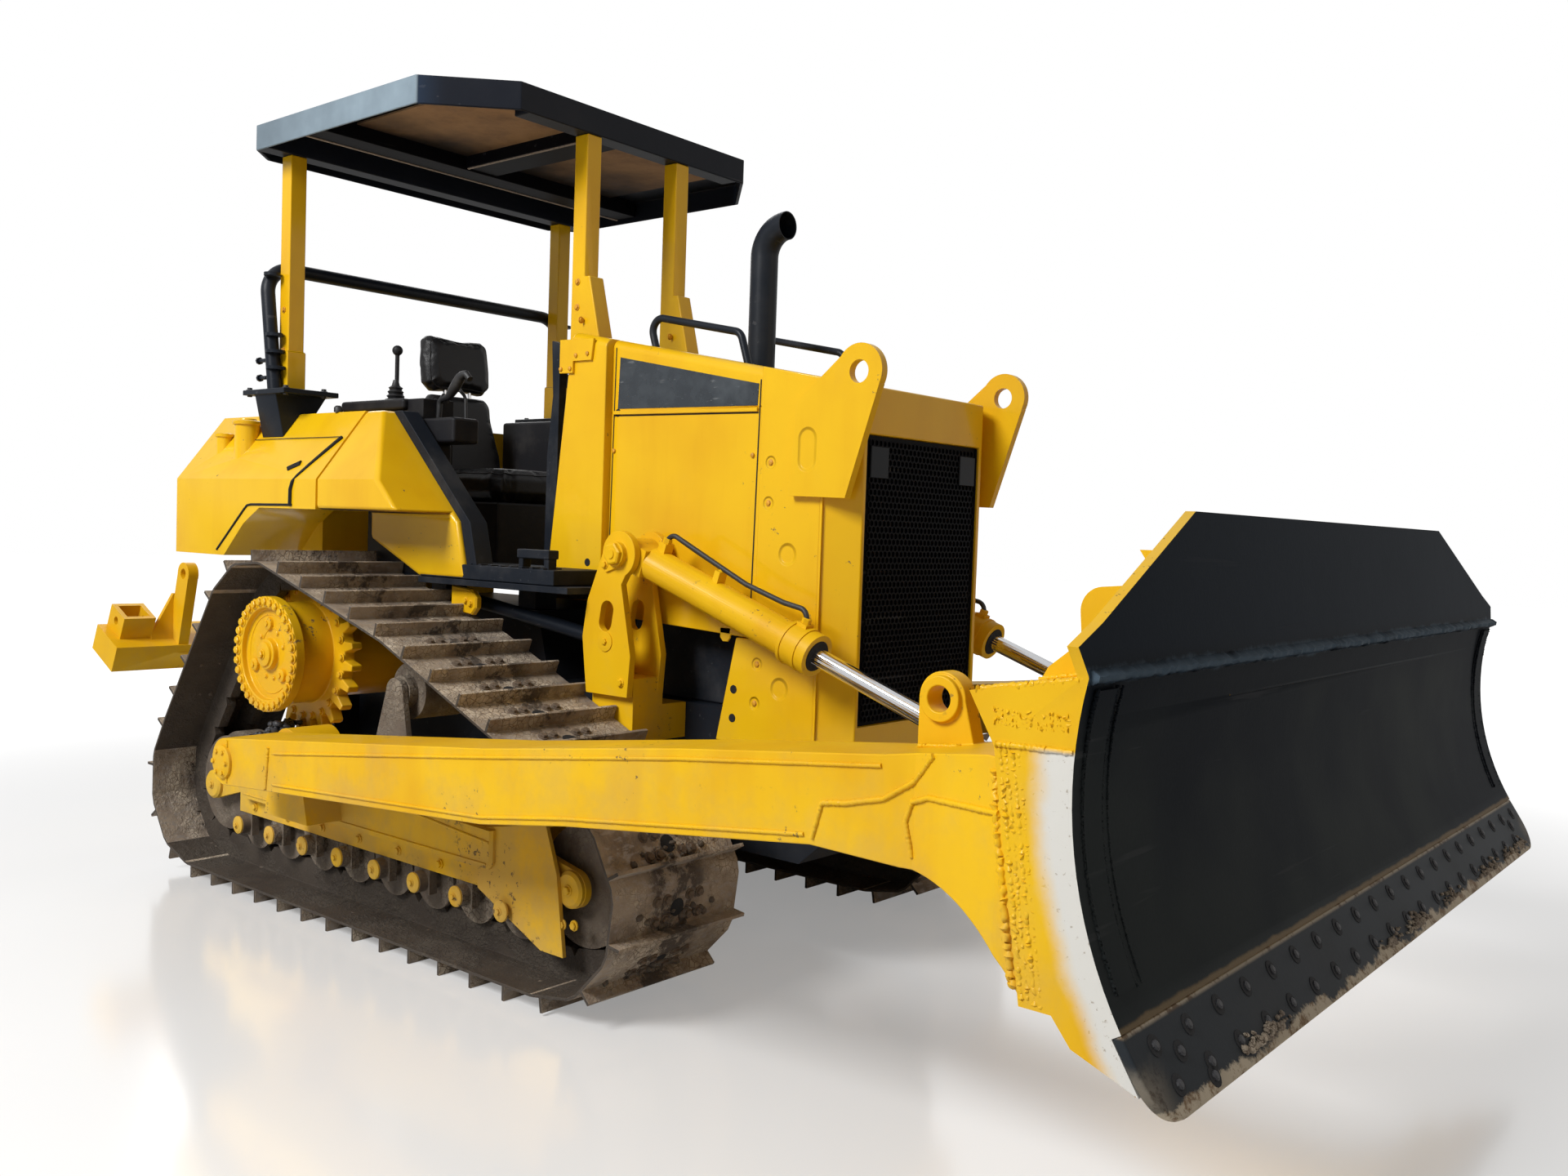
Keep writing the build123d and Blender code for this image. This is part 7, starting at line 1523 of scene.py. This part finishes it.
# %% Bolts of the shelves and posts, and the filler caps
shelf_low, shelf_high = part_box("rear_post_mounts")
shelf_x = (shelf_low[0] + 0.022, shelf_high[0] - 0.022)
shelf_y = (shelf_low[1] + 0.022, shelf_low[1] + 0.200)
above = [(x, y, shelf_high[2]) for x in shelf_x for y in shelf_y]
below = [(x, y, z - 0.014) for x, y, z in above]
shelf_bolts = joined(placed(bolt(0.012, 0.012), above), placed(bolt(0.012, 0.014), below, (0, 0, -1)))
piece("shelf_bolts", both_sides(shelf_bolts), dark_bolts, "tractor")
small = bolt(0.010, 0.008)
foot_plate = ((-0.05, 2.345), (0.05, 2.345), (0.0, 2.430))
front_spots = [(-0.251, y + dy, z) for y in (-0.250, 0.250) for dy, z in foot_plate]
post_bolts = joined(
    placed(small, front_spots, (1, 0, 0)),
    side_heads(small, -0.789, [(-1.620, 2.245), (-1.620, 2.420)]),
    side_heads(small, -0.289, [(-0.290, 2.400), (-0.290, 2.500)]),
)
piece("post_bolts", post_bolts, yellow_bolts, "tractor")
WIDE_CAP = [(0.060, 0.0), (0.062, 0.004), (0.062, 0.014), (0.057, 0.018), (0.040, 0.020), (0.038, 0.026)]
SMALL_CAP = [(0.040, 0.0), (0.041, 0.004), (0.041, 0.013), (0.036, 0.017)]
caps = joined(
    placed(turned(WIDE_CAP, 32), [(-1.800, -0.850, 1.922)]),
    placed(turned(SMALL_CAP, 28), [(-2.000, -0.850, 1.872)]),
)
piece("filler_caps", both_sides(caps), sheet_yellow, "tractor", smooth=40)

# %% [markdown]
# ## Camera, floor and light
# The camera stands where the photographer stood: its place, its three turns and its lens were
# worked out from the picture. The floor and the back of the room are white where the camera
# looks at them and mid-grey to everything else, so that the object keeps a plain light level.

# %% Camera
CAMERA_AT = (3.789, -3.865, 1.543)
YAW, DIP, ROLL = np.radians([39.60, -2.51, 1.96])
FOCAL_PIXELS, IMAGE_WIDTH, SENSOR = 1631.7, 1920, 36

ahead = np.array([-np.sin(YAW) * np.cos(DIP), np.cos(YAW) * np.cos(DIP), np.sin(DIP)])
level = np.array([np.cos(YAW), np.sin(YAW), 0.0])
upright = np.cross(level, ahead)
right = np.cos(ROLL) * level + np.sin(ROLL) * upright
top = -np.sin(ROLL) * level + np.cos(ROLL) * upright
camera = bpy.data.objects.new("camera", bpy.data.cameras.new("camera"))
camera.data.sensor_width = SENSOR
camera.data.lens = SENSOR * FOCAL_PIXELS / IMAGE_WIDTH
camera.matrix_world = Matrix([[right[i], top[i], -ahead[i], CAMERA_AT[i]] for i in range(3)] + [[0, 0, 0, 1]])
bpy.context.scene.collection.objects.link(camera)
bpy.context.scene.camera = camera
bpy.context.scene.view_settings.view_transform = "Standard"

# %% Floor and room
floor_mesh = bpy.data.meshes.new("floor")
floor_mesh.from_pydata([(-40, -40, 0), (40, -40, 0), (40, 40, 0), (-40, 40, 0)], [], [(0, 1, 2, 3)])
floor = bpy.data.objects.new("floor", floor_mesh)
bpy.context.scene.collection.objects.link(floor)
pale = Finish(
    "floor_pale", Base_Color=(0.66, 0.66, 0.66), Roughness=0.15, Emission_Strength=1.0,
    Specular_IOR_Level=1.0, Coat_Weight=0.8, Coat_Roughness=0.15,
)
seen = Value(pale, pale.node("ShaderNodeLightPath", {}, {}, None).outputs["Is Camera Ray"])
away = (pale.x * pale.x + pale.y * pale.y).between(8.0, 60.0)
pale.set(Emission_Color=seen * (away * 0.74 + 0.34))
floor_mesh.materials.append(pale.made)

# %% World: 0.20 as light, 1.0 where the camera looks at it and 0.65 in a reflection
world = bpy.data.worlds.new("studio")
bpy.context.scene.world = world
world.use_nodes = True
room = world.node_tree
background = room.nodes["Background"]
background.inputs["Color"].default_value = (1.0, 1.0, 1.0, 1.0)
rays = room.nodes.new("ShaderNodeLightPath")
strength = 0.20
for ray, share in (("Is Camera Ray", 0.80), ("Is Glossy Ray", 0.45)):
    sum_node = room.nodes.new("ShaderNodeMath")
    sum_node.operation = "MULTIPLY_ADD"
    room.links.new(rays.outputs[ray], sum_node.inputs[0])
    sum_node.inputs[1].default_value = share
    if isinstance(strength, float):
        sum_node.inputs[2].default_value = strength
    else:
        room.links.new(strength, sum_node.inputs[2])
    strength = sum_node.outputs[0]
room.links.new(strength, background.inputs["Strength"])

# %% Lamps


def softbox(name, at, towards, size, power, colour=(1.0, 1.0, 1.0)):
    """A square area light at a point, turned to face another."""
    lamp = bpy.data.lights.new(name, "AREA")
    lamp.shape, lamp.size, lamp.energy, lamp.color = "SQUARE", size, power, colour
    holder = bpy.data.objects.new(name, lamp)
    facing = (Vector(at) - Vector(towards)).to_track_quat("Z", "Y")
    holder.matrix_world = Matrix.Translation(at) @ facing.to_matrix().to_4x4()
    bpy.context.scene.collection.objects.link(holder)
    return holder


softbox("key", (-0.8, -8.8, 7.6), (0.3, -0.5, 1.0), 3.6, 1120)
softbox("fill", (8.5, 3.0, 4.5), (1.0, 0.0, 1.0), 5.0, 60, (1.0, 0.80, 0.60))
softbox("back", (-7.0, 4.0, 6.0), (0.0, 0.0, 1.5), 5.0, 200)
print("camera lens:", round(camera.data.lens, 2), "mm")
